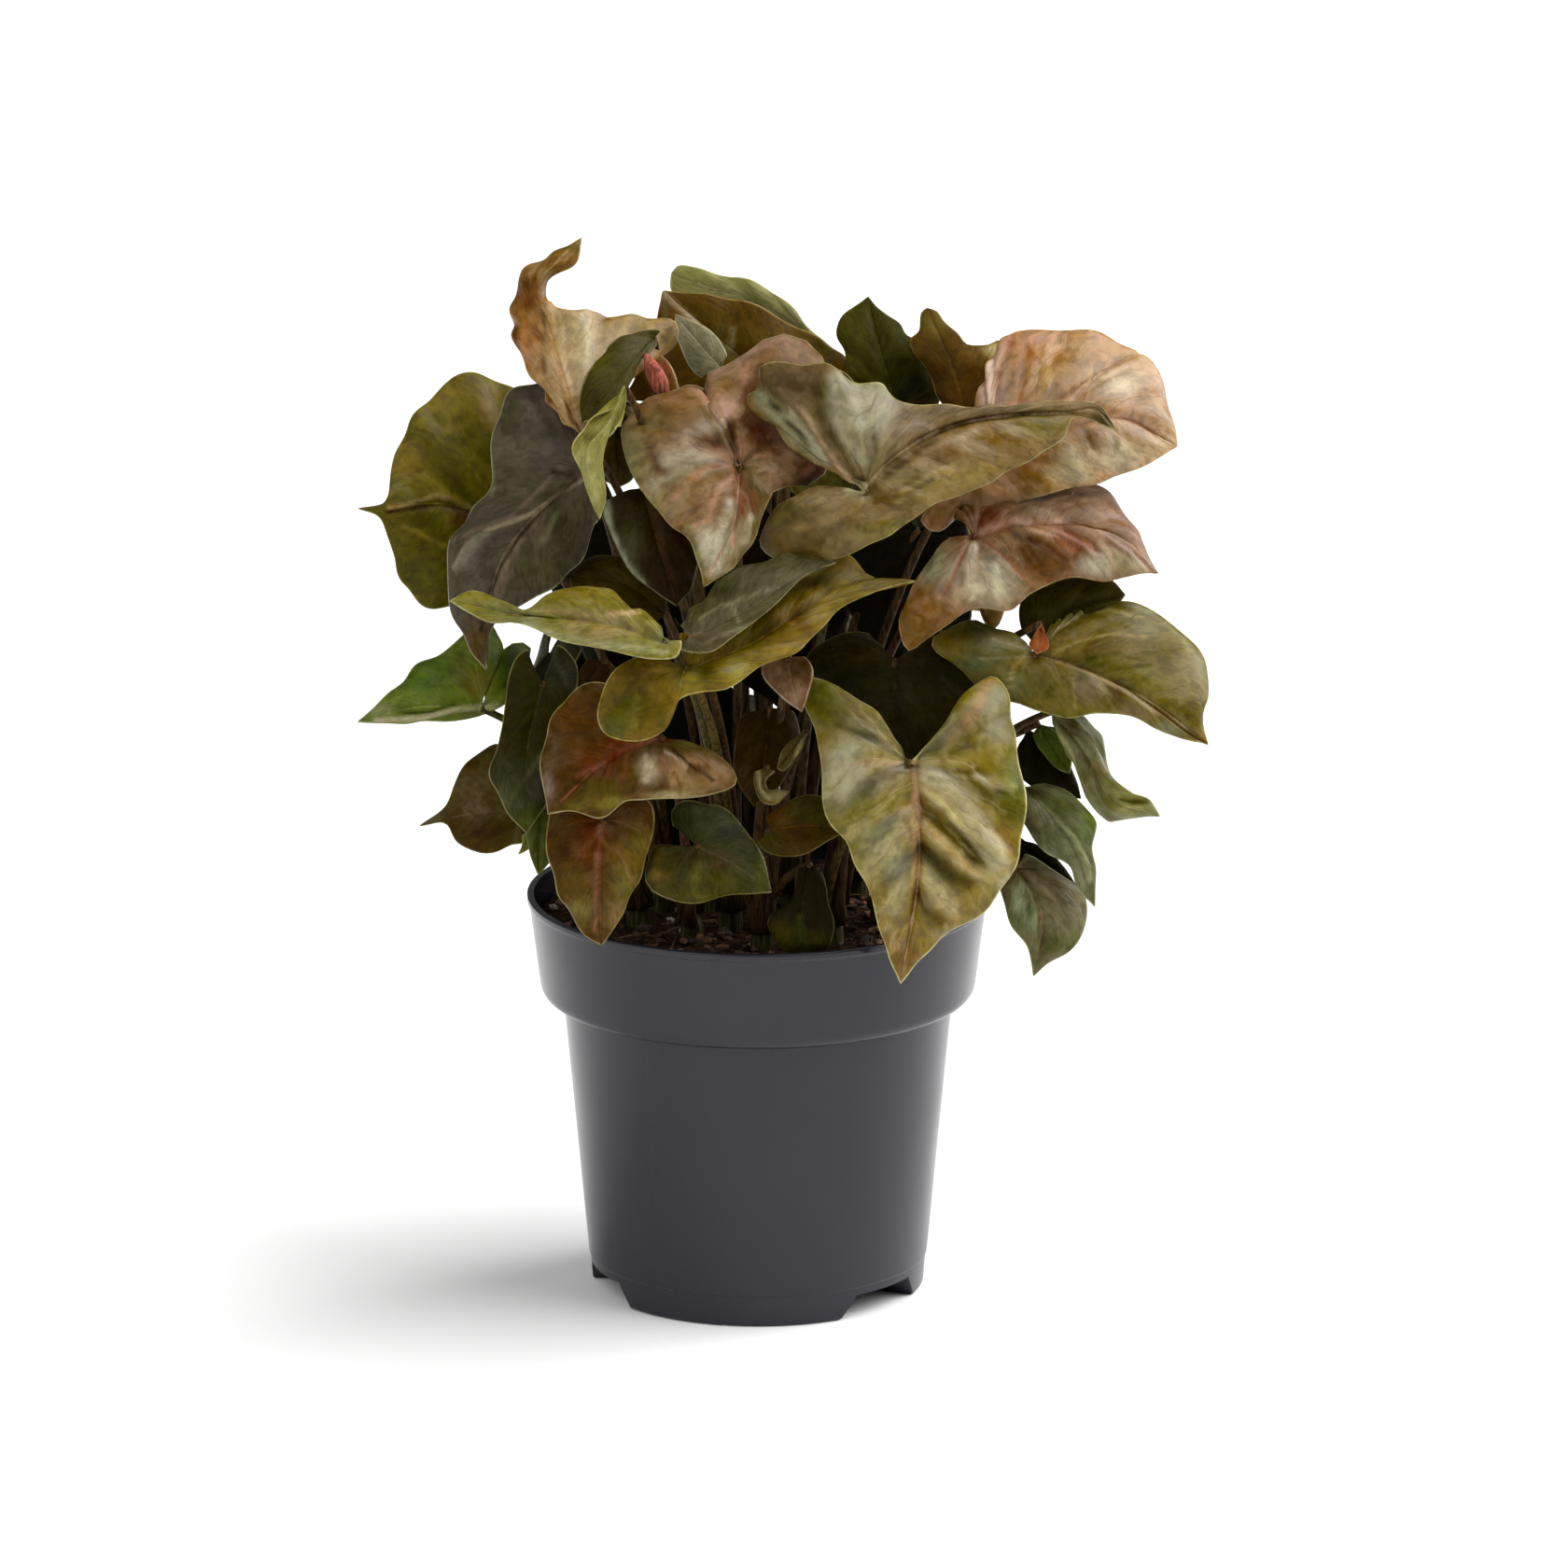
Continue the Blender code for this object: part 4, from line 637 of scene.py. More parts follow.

# Colours and marks of each blade, as they look lit: shaded blades carry painted shade in their darker colours, dark
# strokes that sink paint the shade of folds, and pale spots and strokes that rise paint highlight and sheen
TINTS = {
    # Dark strokes that sink are painted shade in the quilting and the rib's groove, pale strokes that rise painted
    # highlight on the ridges
    "front_heart": tinted("#8a7d36 #b3a672 #c49c6c #d3cd9a", streaking=0.4, veining=0.65, marks="""
        42 -14 13 9 #8c7414; 24 33 7 12 #a9a384 0.8 -20; 31 13 5 9 #a19a6c 0.7; 38 -17 6 7 #84661a;
        46 -8 9 4 #927c20 0.9 35; 33 -2 4 8 #8d7a2c 0.8; 66 26 4 9 #5c660c 0.9; 64 12 3 8 #8a6c18 0.8;
        17 50 6 6 #656a22 0.9; 20 46 4 5 #6a6228 0.7; 61 47 5 9 #8f8c66 0.9; 22 27 5 6 #b0aa92 0.9;
        20 18 3 8 #77702c 0.7; 47,47 49,41 45,35: 3.2 #6d6f45 0.9 -0.4; 60,55 56,46 51,40: 1.6 #b08a58 0.8;
        55,38 50,36 47,35: 2.4 #5c5416 0.8 -0.5; 42,32.5 50,31 58,30.5 63,26: 1.4 #55480f 0.9 -0.9;
        50,29 57,26.5 66,20: 2.4 #56510a 0.9 -0.5; 57,30 62,28 66,27: 1.2 #b0ab78 0.7 0.4;
        42.5,31 50,26 56,19 61,11 63,4: 2.9 #b5ae8c 1 0.8; 43.5,27 50,20 55,14 59,8.5: 0.9 #cfc58f 0.9 0.5;
        44,22.5 47,20.5: 1.4 #6f5a1c 0.9 -0.4; 43.5,19.5 49,16 54,12 57,7.5: 2.3 #4a4208 1 -1;
        43,17.5 48,12.5 53,7.5 57,4: 1.5 #b89d68 1 0.6; 42.8,11 47,7.5 51,4 56,1.5: 2.1 #5f500c 1 -0.9;
        43,5 46,1 50,-4: 2.2 #b3a676 1 0.5; 42,-1 45,-5 48,-7.5: 1.6 #6a5606 0.9 -0.6;
        56,-1 60,2 63,6: 1.8 #a8964e 0.8; 39.5,33.5 35,33 29,33.5 24,32: 1.4 #a8866a 0.8 -0.4;
        31,40 26,46 22,51: 1.2 #5f5030 0.7 -0.5; 34,38 28,40 21,43: 1 #4f4424 0.7 -0.5;
        25,36 22,34 26,31: 2.6 #a5a48e 0.8 0.4; 38,31 33,29 29,26: 2 #ab9f80 0.8 0.4;
        39,26 34,25.5: 1.7 #6c601c 0.9 -0.4; 40.5,23 36,20.5 31,18: 1 #b3986a 0.8 -0.3;
        37,17 34,13 36,8: 3.4 #aca888 0.9 0.5; 38.5,18 40,14: 1.2 #6a5228 0.9 -0.4; 28,24 24,20 23,13: 3 #7d7636 0.8;
        37,2 35,-4: 2.2 #a59e70 0.9 0.3; 41.5,32 42.4,22 42.3,10 41.4,0 39.5,-9: 0.7 #6c3f28 0.9 -0.3;
        40.6,31 41,20 40.9,10 40.3,0: 0.9 #c7a17a 0.9 -0.2"""),
    # Almost black: painted shade behind the front leaf
    "dark_behind": tinted("#2c2810 #363018 #3c3420 #5c5634", streaking=0.3, veining=0.2, relief=0.5, marks="""
        30 61 12 3 #3a3010 0.8; 48 58 6 5 #1c1903"""),
    "rim_hanger": tinted("#543d1a #66522a #84543a #968a5a", streaking=0.25, veining=0.3, relief=0.7, marks="""
        -50 14 5 6 #46300c; -43 16 4 4 #6a2c10; -34 18 5 4 #6a4c34; -44 9 4 4 #6f3e20 0.9; -35 9 4 4 #80602c;
        -31 12 3 5 #6f6010; -47 3 4 5 #5c4a18; -35 2 3 5 #756a26; -46 -5 4 4 #776a2a; -37 -6 4 5 #80663a;
        -41,17 -41.8,8 -42,0 -42.3,-10: 0.8 #9a6650 0.9 -0.4; -40.5,13 -36,9.5 -33,3: 0.6 #94744a 0.8 -0.3;
        -41.5,14 -46,9: 0.6 #8a4a30 0.8 -0.3; -42,6 -45,2: 0.5 #8a6038 0.6 -0.3; -39,16 -34,17: 0.6 #7c5840 0.7"""),
    "red_front": tinted("#5a4324 #6c5236 #8f5a46 #a39c70", relief=0.6, marks="""
        -48 45 6 5 #643c0a; -40 48 5 3 #4c2c06; -52 36 3 7 #5c4830; -42 34 6 4 #6f3a1e; -36 38 4 2 #7c3e26;
        -25 41 3.5 2.5 #642c12; -50 27 4 4 #483008; -54 27 1.5 4 #80706a; -41 26.5 6 2.5 #544c06;
        -38 23 5 1.8 #7a700a; -47 22.5 4 1.8 #645a0e; -33 30 4 3 #5c4a1c; -28 32 3 3.5 #bdb096; -24 33 2.5 3 #a07a66;
        -21 30 2.5 3.5 #b08c68; -17 28 4 2.5 #98805a; -11 30 3.5 3 #907656; -16 34.5 4 1.8 #8f6e4c;
        -18 38 5 1.5 #57500f; -12 36 3 1.5 #5c5420; -22 25 7 1.2 #a3946a;
        -25,39.5 -29,39 -34,37.4 -41,33 -47,30: 0.6 #9a5c46 1 -0.5;
        -22,37 -20,35.2 -16,31.8 -12,29: 0.4 #2c1a08 0.9 -0.4; -24,36.3 -21.5,34.5 -19,32: 0.6 #c2a486 0.9 0.3;
        -29,29 -28,32 -29,35: 0.8 #cdc2aa 0.8 0.3; -22,31 -20.5,28: 0.5 #6a4824 0.8 -0.3;
        -37,36 -38,30: 0.6 #5c2c14 0.6; -34,36 -35,29: 0.6 #8a5438 0.6; -18,34 -12,33: 0.5 #a3835c 0.7"""),
    "dark_front": tinted("#3d3c1c #4a4a2c #5a523c #807c50", streaking=0.25, relief=0.5, marks="""
        -12 18 7 5 #484c3a; -8 14 4 2.5 #34372c; -19 15 4 5 #2c2c12; -4 9 5 6 #434630; -17 9 4 2.5 #362714;
        -10 8 5 2.5 #50412a; -26 6 3.5 5 #5c4c18; -26 3.5 1.2 1.2 #9a7c40; -16 4 1.6 3 #6c6c28; -9 3 6 2.5 #4a4812;
        -15 -1.5 9 1.8 #565216; 1 4 2 5 #555a2c"""),
    "mustard_sweep": tinted("#7f680a #917c14 #a08a2c #b0a65c", relief=0.7, marks="""
        -33 48 7 6 #4f4c08; -37 43 4 3 #585c2c; -31 57 6 4 #4c3c04; -25 45 3 4 #5c5418 0.8; -18 55 3.5 4 #97880c;
        -13 56 2.5 3.5 #5c5404; -6 57.5 5 3 #988806; -9 61 3 2.5 #8c7422; 5 62 6 2 #8a7410; -3 66 6 3 #4f4703;
        4 69 5 3 #554603; 11 72 3 4 #503604; 16 72 4 3.5 #84700e; 15 80 6 2 #4a3a04; 26 81 6 2.5 #80700c;
        36 83 6 2 #6f6a1c; -22 59 4 2 #574a06; -9,64 -5,62.5 3,61.6 8,63: 0.5 #9a8226 0.9 -0.2;
        -31,50 -32,43: 1 #78703a 0.8; 5,72 9,69.5: 1 #886824 0.9; 5,75 12,74.5: 0.7 #806a10 0.7;
        13,77.5 22,75.5: 0.8 #8f7c1c 0.8; -19,58 -6,64 8,71 20,79 36,83: 0.5 #43360a 0.5 -0.6"""),
    "lime_left": tinted("#87812c #9a9450 #ab9a64 #bdbb88", streaking=0.25, veining=0.2, relief=0.7, marks="""
        -50 77 8 3 #85702e 0.8; -38 68 6 3.5 #a3905c; -25 66 4 2 #80805a; -23 68.5 3 1.5 #6c6c20;
        -33 75 5 2.5 #706426; -33 64.5 6 1.8 #8c8c4c; -52 74 8 3.5 #7f7a36; -47 68.5 3 3 #9c9058; -66 74 7 3 #7c7c3c;
        -76 75 4 2.5 #8f8c24; -60 70 5 2 #84885c; -39,71.6 -31,71.9: 0.6 #c9ae80 0.95 0.2;
        -58,73 -50,72.4 -40,71.2: 0.5 #a5905c 0.8; -37,70 -38,65: 0.7 #b0a070 0.7 0.2;
        -34,69 -34.5,65: 0.6 #75703a 0.7 -0.2; -29,68 -30,64: 0.6 #706e38 0.7 -0.2;
        -43,70 -46,66: 0.7 #77743c 0.7 -0.2; -24,62 -36,63.5 -50,66 -60,69: 0.8 #a8a878 0.8 0.2;
        -40,78 -32,76: 0.9 #8f8848 0.6"""),
    "slate_right": tinted("#55503c #625c48 #6f685a #8f8460", veining=0.12, relief=0.3, marks="""
        -13 67.5 6 4 #57503e; 2 75 6 4 #555238; -9 78 4 2.5 #35351a; 10 82 5 2 #6a6248 0.8; -16 73 3 3 #40401e 0.9;
        -4 69 5 3 #504b35; -15,71 -10,73.8 -7.5,74.4 -6,73 -5,70: 0.45 #777258 0.9 0.2;
        -7,75 -3,76.3 5,79: 0.45 #78705a 0.8; -13,65 2,71 12,79: 0.5 #7c7458 0.5"""),
    # The dark spots on the right lobe and the dark crease line are painted shade; the silver-white strokes are partly
    # painted highlight
    "centre_blush": tinted("#7d6242 #9c8468 #c79a80 #a89c74", streaking=0.4, veining=0.25, marks="""
        -32 113 4 9 #8a845c 0.9 15; -26 102 4 6 #8f8458 0.8 35; -14 128 9 4 #84643f 0.8 10; -27 122 6 3 #6f6238 0.8;
        3 142 11 3 #8f7365 0.9 8; 1 121 7 10 #4a2a1a; -7 115 5 3 #a0685a 0.8; -12 103 7 5 #96704e 0.8;
        -9 91 7 6 #a09a7a 0.8; 14 110 9 8 #4c2e22; 10 121 7 6 #4a2c20 0.95; 2 107 3 2.5 #a87868 0.8;
        -11 81.5 5 3.5 #80701c; 0 105 3 7 #55522c 0.8; 1 94 3 6 #6f6c40 0.8; -13 79 5 5 #857018;
        -24,112 -18,112 -14,111: 3.2 #a8a08e 0.9 0.6; -20,117 -14,120 -9,121: 2 #96887a 0.8 0.4;
        -15,115.5 -9,117 -6,115: 1.7 #4a3626 0.9 -0.6; -28,116 -26,110 -23,107: 1.2 #5f4a32 0.8 -0.5;
        -27,105 -22,107 -16,109: 1.6 #a39a80 0.8 0.3; -15.5,132.5 -12,128 -8,122 -6,117: 0.7 #2a120c 1 -1.2;
        -16.5,131.5 -13,127 -9.5,122: 1 #b98f7c 0.9 0.6; -9,128 -8,124: 1.6 #b58c7c 0.9 0.4;
        -2,137 -5,129 -6,124: 1.2 #b08672 0.8 0.3; -12,134 -4,139 4,143: 1.6 #9a7c70 0.8;
        -3,129 0,134: 1.8 #55301e 0.8 -0.4; -1,113 6,112.5 13,109 18,104: 0.5 #8c6456 0.9 0.2;
        -5,110 -8,110.5 -14,109.5 -19,106 -22,102: 0.8 #c08c70 0.95 -0.3;
        -5.2,109 -9,106 -11.5,101 -12.5,97 -16,95: 0.8 #c39474 0.95 -0.3;
        -5,109 -5,102 -6,95 -6.5,90: 0.6 #bf8c72 0.8 -0.3; -4.7,108 -3.5,104 -4,98: 0.6 #8a4a34 0.8 -0.3;
        -8,103 -9,99: 1.6 #8a6c40 0.7; -2,103 -1,99: 1.5 #7a4f36 0.7; -7,100 -9,94 -10,89: 1.7 #c3bfae 0.9 0.5;
        -14,92 -12,87 -11,84: 2.7 #c2beac 1 0.3; -2,97 -3.5,91: 1 #b8b098 0.9 0.3;
        -18,94.5 -16,89 -14.5,84: 0.9 #7f7c4c 0.8"""),
    # Dark strokes that sink are painted shade in the creases; pale rising strokes and silvery spots are partly
    # painted highlight
    "silver_top": tinted("#806c46 #968660 #b39a78 #a09a66", streaking=0.4, veining=0.3, marks="""
        28 123 9 8 #a5a290; 9 131 10 7 #5b4d38; 40 122 6 5 #7d6f5c 0.9; 31 112 6 5 #7d7056 0.8;
        26 132 6 3 #8c9078 0.9; 14 92 14 6 #6a5c34 0.8; 6 99 8 4 #56512a 0.8; 33 94 7 3 #6c6a20 0.9;
        60 118 15 5 #8a6e3a 0.8 5; 74 121 7 3 #77701f 0.8; 52 107 10 4 #958440 0.9 25; 34 100 6 4 #6f5a34 0.8;
        91 123 4 4 #33300f; 7,131 10,128 13.5,123 17.5,116 22,109.5 26.5,104.5: 0.55 #b99c80 1 0.3;
        1,129 6,124 10,118 16,113: 2 #8c8e70 0.9 0.3; 4,127 9,120.5 14,116.5: 0.6 #2f2c14 0.9 -0.8;
        9,124 13,119 18,112: 0.9 #a9a890 0.9 0.5; 15,130 17,122 22,114 27,106: 1.6 #57482a 0.95 -1;
        20,133 21,126 23,119 27,112: 1.6 #a5a08c 0.9 0.6; 27,131 33,130: 1.2 #8a8a66 0.8 -0.3;
        30,118 31,113 29,108: 1 #6e6048 0.8 -0.6; 36,119 40,121 45,120: 1.2 #8f7f70 0.8 0.3;
        42,117.5 50,121 58,123 70,124 82,124.3: 0.7 #4c3a20 0.9 -0.6; 38,125 46,124 56,124.5 70,125.6: 1 #6c5e48 0.9;
        28,104 34,108 40,113 46,117: 1.3 #5b4528 0.9 -0.6; 44,114 50,117 56,119: 1.4 #9a8468 0.8 0.4;
        36,102 42,106 50,110: 1.2 #a8965c 0.8 0.4; 30,101 38,103 45,107: 1 #5f4c24 0.7 -0.4;
        10,102 20,101 28,103: 1.2 #8f7b54 0.8 0.3; 27,101 20,97 10,94: 1 #9a8552 0.7 0.3;
        4,88 14,87.5 22,89: 1.3 #7c6e44 0.8; 24,104 27,103: 1.5 #c2bc98 0.9"""),
    "pink_crown": tinted("#b1865e #c5a286 #b98a70 #c4ab84", streaking=0.35, veining=0.35, relief=0.7, marks="""
        61 132 4 13 #d0b0a2; 72 138 5 9 #a5763c 0.9; 82 143 12 3 #c09c76 0.8; 79 134 4 8 #b0864c 0.7;
        94 132 8 5 #d3c3ac; 84 127 8 4 #b08c66 0.8; 101 128.5 3.5 2.5 #927048 0.9; 98 121 5 4 #c9a690 0.9;
        103 116 4 4 #c3ad84 0.9; 101 137 6 5 #c39f7c 0.8; 92 113.5 9 5 #cabda4; 70 108 6 4 #8f6420 0.95;
        81 109 6 4 #bcb088 0.9; 76 118 4 4 #a88e68 0.8; 55 100 9 4 #8d6a50 0.9; 74 103 7 3 #7a5c14 0.8;
        104 122 5 8 #b89a78 0.8; 66,144 63,136 62,126: 1 #a8745c 0.7 -0.5; 60,138 60,127: 1.2 #d8bcb0 0.8 0.5;
        70,141 69,132 68,126: 1.2 #8f5c30 0.6 -0.6; 75,142 75,132 74,126: 1 #c59a62 0.6 0.4;
        76,125 84,131 93,137.5 101,140: 0.7 #a0744a 0.7 -0.6; 83,128 90,133 97,135.5: 0.6 #a5865c 0.6 -0.4;
        91,125 98,122.5 104,118.5: 0.5 #bf7c68 0.8 -0.3; 84.5,121 87.5,115: 1.1 #7f6434 0.9 -0.5;
        92,120 93,115: 0.9 #8f7a50 0.7 -0.4; 80,116 84,108: 1.6 #c9bea4 0.6 0.3;
        46,98.5 56,100 66,101.5 78,104: 0.9 #a08050 0.7"""),
    "pink_shelf": tinted("#7d5a40 #9c7f64 #b0806a #a58f68", streaking=0.35, veining=0.3, relief=0.8, marks="""
        41 69 8 8 #6b5426; 60 80 8 7 #bdb6a2; 46 85 5 6 #97977a; 43 74 5 5 #7d5c34 0.8; 71 87 7 5 #5a3a20 0.95;
        60 96 6 3 #6c3c26 0.95; 75 100.5 9 2.5 #70605a 0.9; 88 101 7 4 #85685a 0.9; 97 91 5 7 #957262;
        88 85 5 3 #b9b6a4; 95 84 5 4 #94866a 0.8; 79 85 4 3 #6a4c2a 0.8; 102 84 3 4 #a3938a; 82 92 3 5 #764a30;
        55.5,92 52,85 50,80 47.5,76: 0.6 #9c6a54 0.9 -0.5; 57,92 63,88 69,81.5: 0.5 #9c6248 0.9 -0.4;
        60,91 66,85 71,80: 0.5 #a87458 0.7 -0.3; 56,90 55,84 56,77: 1.2 #c9c3b2 0.8 0.5;
        61,84 62,78: 1.2 #d0cab8 0.8 0.5; 53,82 52,76: 1 #8f7a5a 0.6 -0.4;
        68,97 76,95 84,91 88,88: 0.8 #b5786a 0.8 -0.5;
        56,93 66,96.5 80,96.8 90,93.5 97,89 103,82: 0.7 #b5897a 0.8 -0.3; 90,89 96,86 101,83: 1.2 #a99c84 0.8;
        66,92 74,90 80,86: 1.1 #4f2c18 0.8 -0.5; 70,94 77,92 82,88: 0.6 #a8765c 0.8 0.3;
        45,88 43,82: 1 #6f6c50 0.6 -0.3; 72,100 84,102: 1.2 #5c4038 0.7"""),
    "olive_right": tinted("#706426 #827a4c #967e50 #9a965c", streaking=0.25, veining=0.25, relief=0.8, marks="""
        80 76 8 4 #403c20; 71 71 2.5 4 #47403a; 72 72 4 5 #38361e 0.8; 58 68 7 3 #3c3c22; 62 64 6 2.2 #7c7a62;
        56 59 6 2.5 #5f6440; 85 64 9 3.5 #624c12; 88 59 6 2 #4c4608; 92 75 7 2.5 #595216; 101 69 8 4 #75704a;
        100 55.5 6 3 #6e6a1c; 112 58 5 8 #7c7244; 112 46 3 5 #5a500a; 116 40 2 2.5 #80601c; 104 62 5 3 #625a20;
        73 54 7 4 #5f5a26; 66 53 4 5 #6e6e46; 86 53 5 4 #82705a; 98 46.5 5 3 #80724e; 107 42 5 3 #7c7a54;
        93 51.5 2.5 3 #5c4a30 0.9; 85 56 2 2 #5f5a42 0.8;
        72,62.5 80,60.2 88,57 96,52.8 104,47 112,41 116,38.5: 0.5 #4a2c0a 1 -0.6;
        73,61.5 81,58.8 88,55.8 96,51.5 104,45.8: 0.5 #a08c66 0.8; 77,62 83,64.6 91,66.3 101,66: 0.45 #8a7840 0.9;
        75,63.5 78,67.5 83,70.5 91,72.3 100,71: 0.5 #8a8050 0.9; 84,71 90,70 96,68: 0.8 #5c5008 0.7;
        86,60.5 93,61.5 99,60: 0.7 #423c04 0.7; 90,57.5 95,57.5 102,58.5: 0.6 #4a4408 0.7;
        95,74.5 104,71.5 110,66 113,60: 0.8 #8c885c 0.7; 70,62 66.5,58.5 65,53: 0.5 #a5905a 0.9;
        72,61 66,60.8 58,60.5: 0.5 #8c8660 0.8; 61,65.5 68,63.5 72,62.3: 0.6 #9a917c 0.9;
        82,55 82.5,48: 0.5 #9a9058 0.6; 75,58 72,50: 0.6 #4f4c1c 0.5; 82,72 82,66: 0.7 #6f6a48 0.6"""),
    "folded_right": tinted("#7c8054 #95966e #9c9c74 #b3b68c", streaking=0.25, relief=0.5, marks="""
        81 42 3 2.5 #5a4832; 84 36 3 3.5 #84846a; 88 31 2.5 3 #736030; 88 41 2 4 #94987c; 93 27 4 2.5 #85823a;
        91.5 22 1.2 4 #5a560c; 96 23 6 3 #8c8a2c 0.8; 97 21.5 3 1 #a8a25a; 99 23.5 4 0.8 #5c580a; 93 19 3 1.5 #6c6614;
        76,44 80,39 84,31 88,22 88.5,19: 0.7 #aaac7a 1 0.3; 79,43 83,38 87,31 89.5,24: 0.6 #4f4c26 0.8 -0.4;
        83,44 87,38 90,31: 0.5 #a5a680 0.8 0.3; 94,24 97,23 101,23: 0.4 #403c04 0.8"""),
    "bright_scrap": tinted("#5c7418 #6f8626 #7f9040 #8a9650", marks="""
        80 33 3 4 #585f10"""),
    "slate_right_low": tinted("#606242 #767a5a #848464 #989c74", streaking=0.25, relief=0.5, marks="""
        76 31 7 4 #26240a; 73 26 4 2.5 #46422c; 73 19 3.5 4 #6c6850; 79 22 4 3 #4f5826; 86 18.5 2 3 #5f7420;
        80 13 4 4 #6f7458; 79 15 1.5 3 #46502e; 84 4 3 5 #7c8068; 84 15 3 3 #5c6a40;
        72,24 77,19 82,14 84.5,9 86,3: 0.6 #94966c 0.9 0.3; 71,15 76,10 80,6.5: 0.8 #7c7a60 0.7"""),
    "low_right": tinted("#6c6848 #828066 #917f62 #8c9060", streaking=0.25, relief=0.6, marks="""
        68 5 4 3 #5c4e34; 68 -2.5 2 4 #94a284; 71 -7 2 3 #84926c; 66.5 -8 2 3 #5f6a3c; 80 -4 5 6 #756f5a;
        76 1 3 3 #66583e; 78 -13.5 6 3 #585a2e; 72 -18 2 4 #62623c; 70.5 -5 0.7 2 #4c583a;
        67,6 70.5,2 73,-4 74.3,-10 73,-17: 0.6 #84745a 0.9 -0.3; 69,4 71.8,0 73,-6 73,-12: 0.5 #4f4c2c 0.8 -0.4;
        70,5 77,-2.5: 0.6 #847860 0.7 0.2"""),
    "green_left": tinted("#627418 #74862e #8a9440 #b0b38a", streaking=0.3, veining=0.3, relief=0.5, marks="""
        -85 56 8 5 #46660c; -77 57 3 6 #63682c; -73 54 4 4 #6a6018; -99 47 5 2.5 #7c8256; -64 57 4 8 #34440c;
        -72 45 5 3 #66683f; -90 50 7 2 #6a7a34 0.8; -99,44.6 -88,45 -78,47.5 -68,48: 0.7 #b5b090 1 0.3;
        -92,46.4 -85,46.6 -79,48.6: 0.6 #2c3404 0.9 -0.4"""),
    "brown_left": tinted("#52461f #62543a #6a5c40 #7a7050", relief=0.3, marks="""
        -73 26 5 5 #5f5036; -73 21 5 2.5 #6a5848 0.9; -73 16 8 2.5 #382408; -76 12 6 2.5 #463412;
        -86 19 4 2.5 #625e42; -78 18 3 3 #463610"""),
    "tall_dark": tinted("#2f2c06 #3a3712 #44421c #8a8658", relief=0.3, marks="""
        -52 57 5 6 #33342a; -63 31 6 5 #3a3a24; -64 24 5 5 #4c4f38; -59 17 4 4 #525c20; -57 28 5 5 #34372c;
        -59 45 4 8 #2a2804; -53,62 -50,54: 0.8 #4c4c3c 0.8 0.3; -66,22 -60,30 -56,36: 0.6 #55563a 0.6"""),
    "rim_green": tinted("#4c5222 #5f6630 #6a6f3a #7a8045", streaking=0.3, veining=0.2),
    "grey_left": tinted("#4f4941 #645a50 #7c6a5c #95937a", streaking=0.25, relief=0.5, marks="""
        -57 125 6 5 #625852; -64 124 3 8 #4b4838; -62 114 5 5 #5c5648; -55 118 3 2.5 #3a3830; -52 114 5 5 #57504c;
        -60 105 8 4 #504c3c; -50 94 5 10 #383420 0.95; -74 82 4 10 #57504a; -57 84 7 6 #504c34;
        -57 93 4 4 #5c504a 0.9; -73 64 5 6 #54421f; -62,91 -65,86 -67,78: 1.6 #7a6a60 0.9 0.4;
        -45.5,107 -52,103 -59,98 -63,96.3 -69,94 -75,90 -79,84: 0.55 #8a8070 1 0.3;
        -70,93 -75,88 -78,84: 1.2 #77746a 0.8; -47,107 -56,99 -62,92 -67,84 -70,76 -72,68: 0.5 #30200f 1 -0.6;
        -51,110 -58,103 -64,97 -72,94 -79,91: 0.6 #6f6058 0.8 0.3; -53,109 -48,108: 1 #2c2414 0.9 -0.5;
        -56,91 -52,98: 0.9 #6c6c58 0.7; -69,115 -69,103: 0.7 #7d7a62 0.5"""),
    "olive_left": tinted("#5f5712 #70681e #7f7828 #8a8650", streaking=0.25, veining=0.3, relief=0.6, marks="""
        -82 127 9 6 #7d6e16; -70 127 3 6 #85703a 0.8; -78 117 7 5 #504a04 0.8; -74 106 8 6 #5c5204 0.8;
        -92 112 5 6 #7a6a18; -93 104 4 4 #73703c 0.9; -88 93 7 5 #4f4904; -86 82 8 6 #53500f; -76 97 4 3 #4a2c14 0.9;
        -96,98.6 -90,99.6 -82,101 -76,99 -70,96.5: 0.8 #3a2410 1 -0.5;
        -96,99.8 -90,101 -83,103 -79,102.2 -72,98.5: 0.6 #a08a5c 0.9 0.3; -87,108 -81,104 -76,101: 0.8 #807214 0.7;
        -92,95 -86,92 -80,89.5: 0.8 #7c7014 0.7; -84,121 -77,119: 1.3 #85741c 0.5"""),
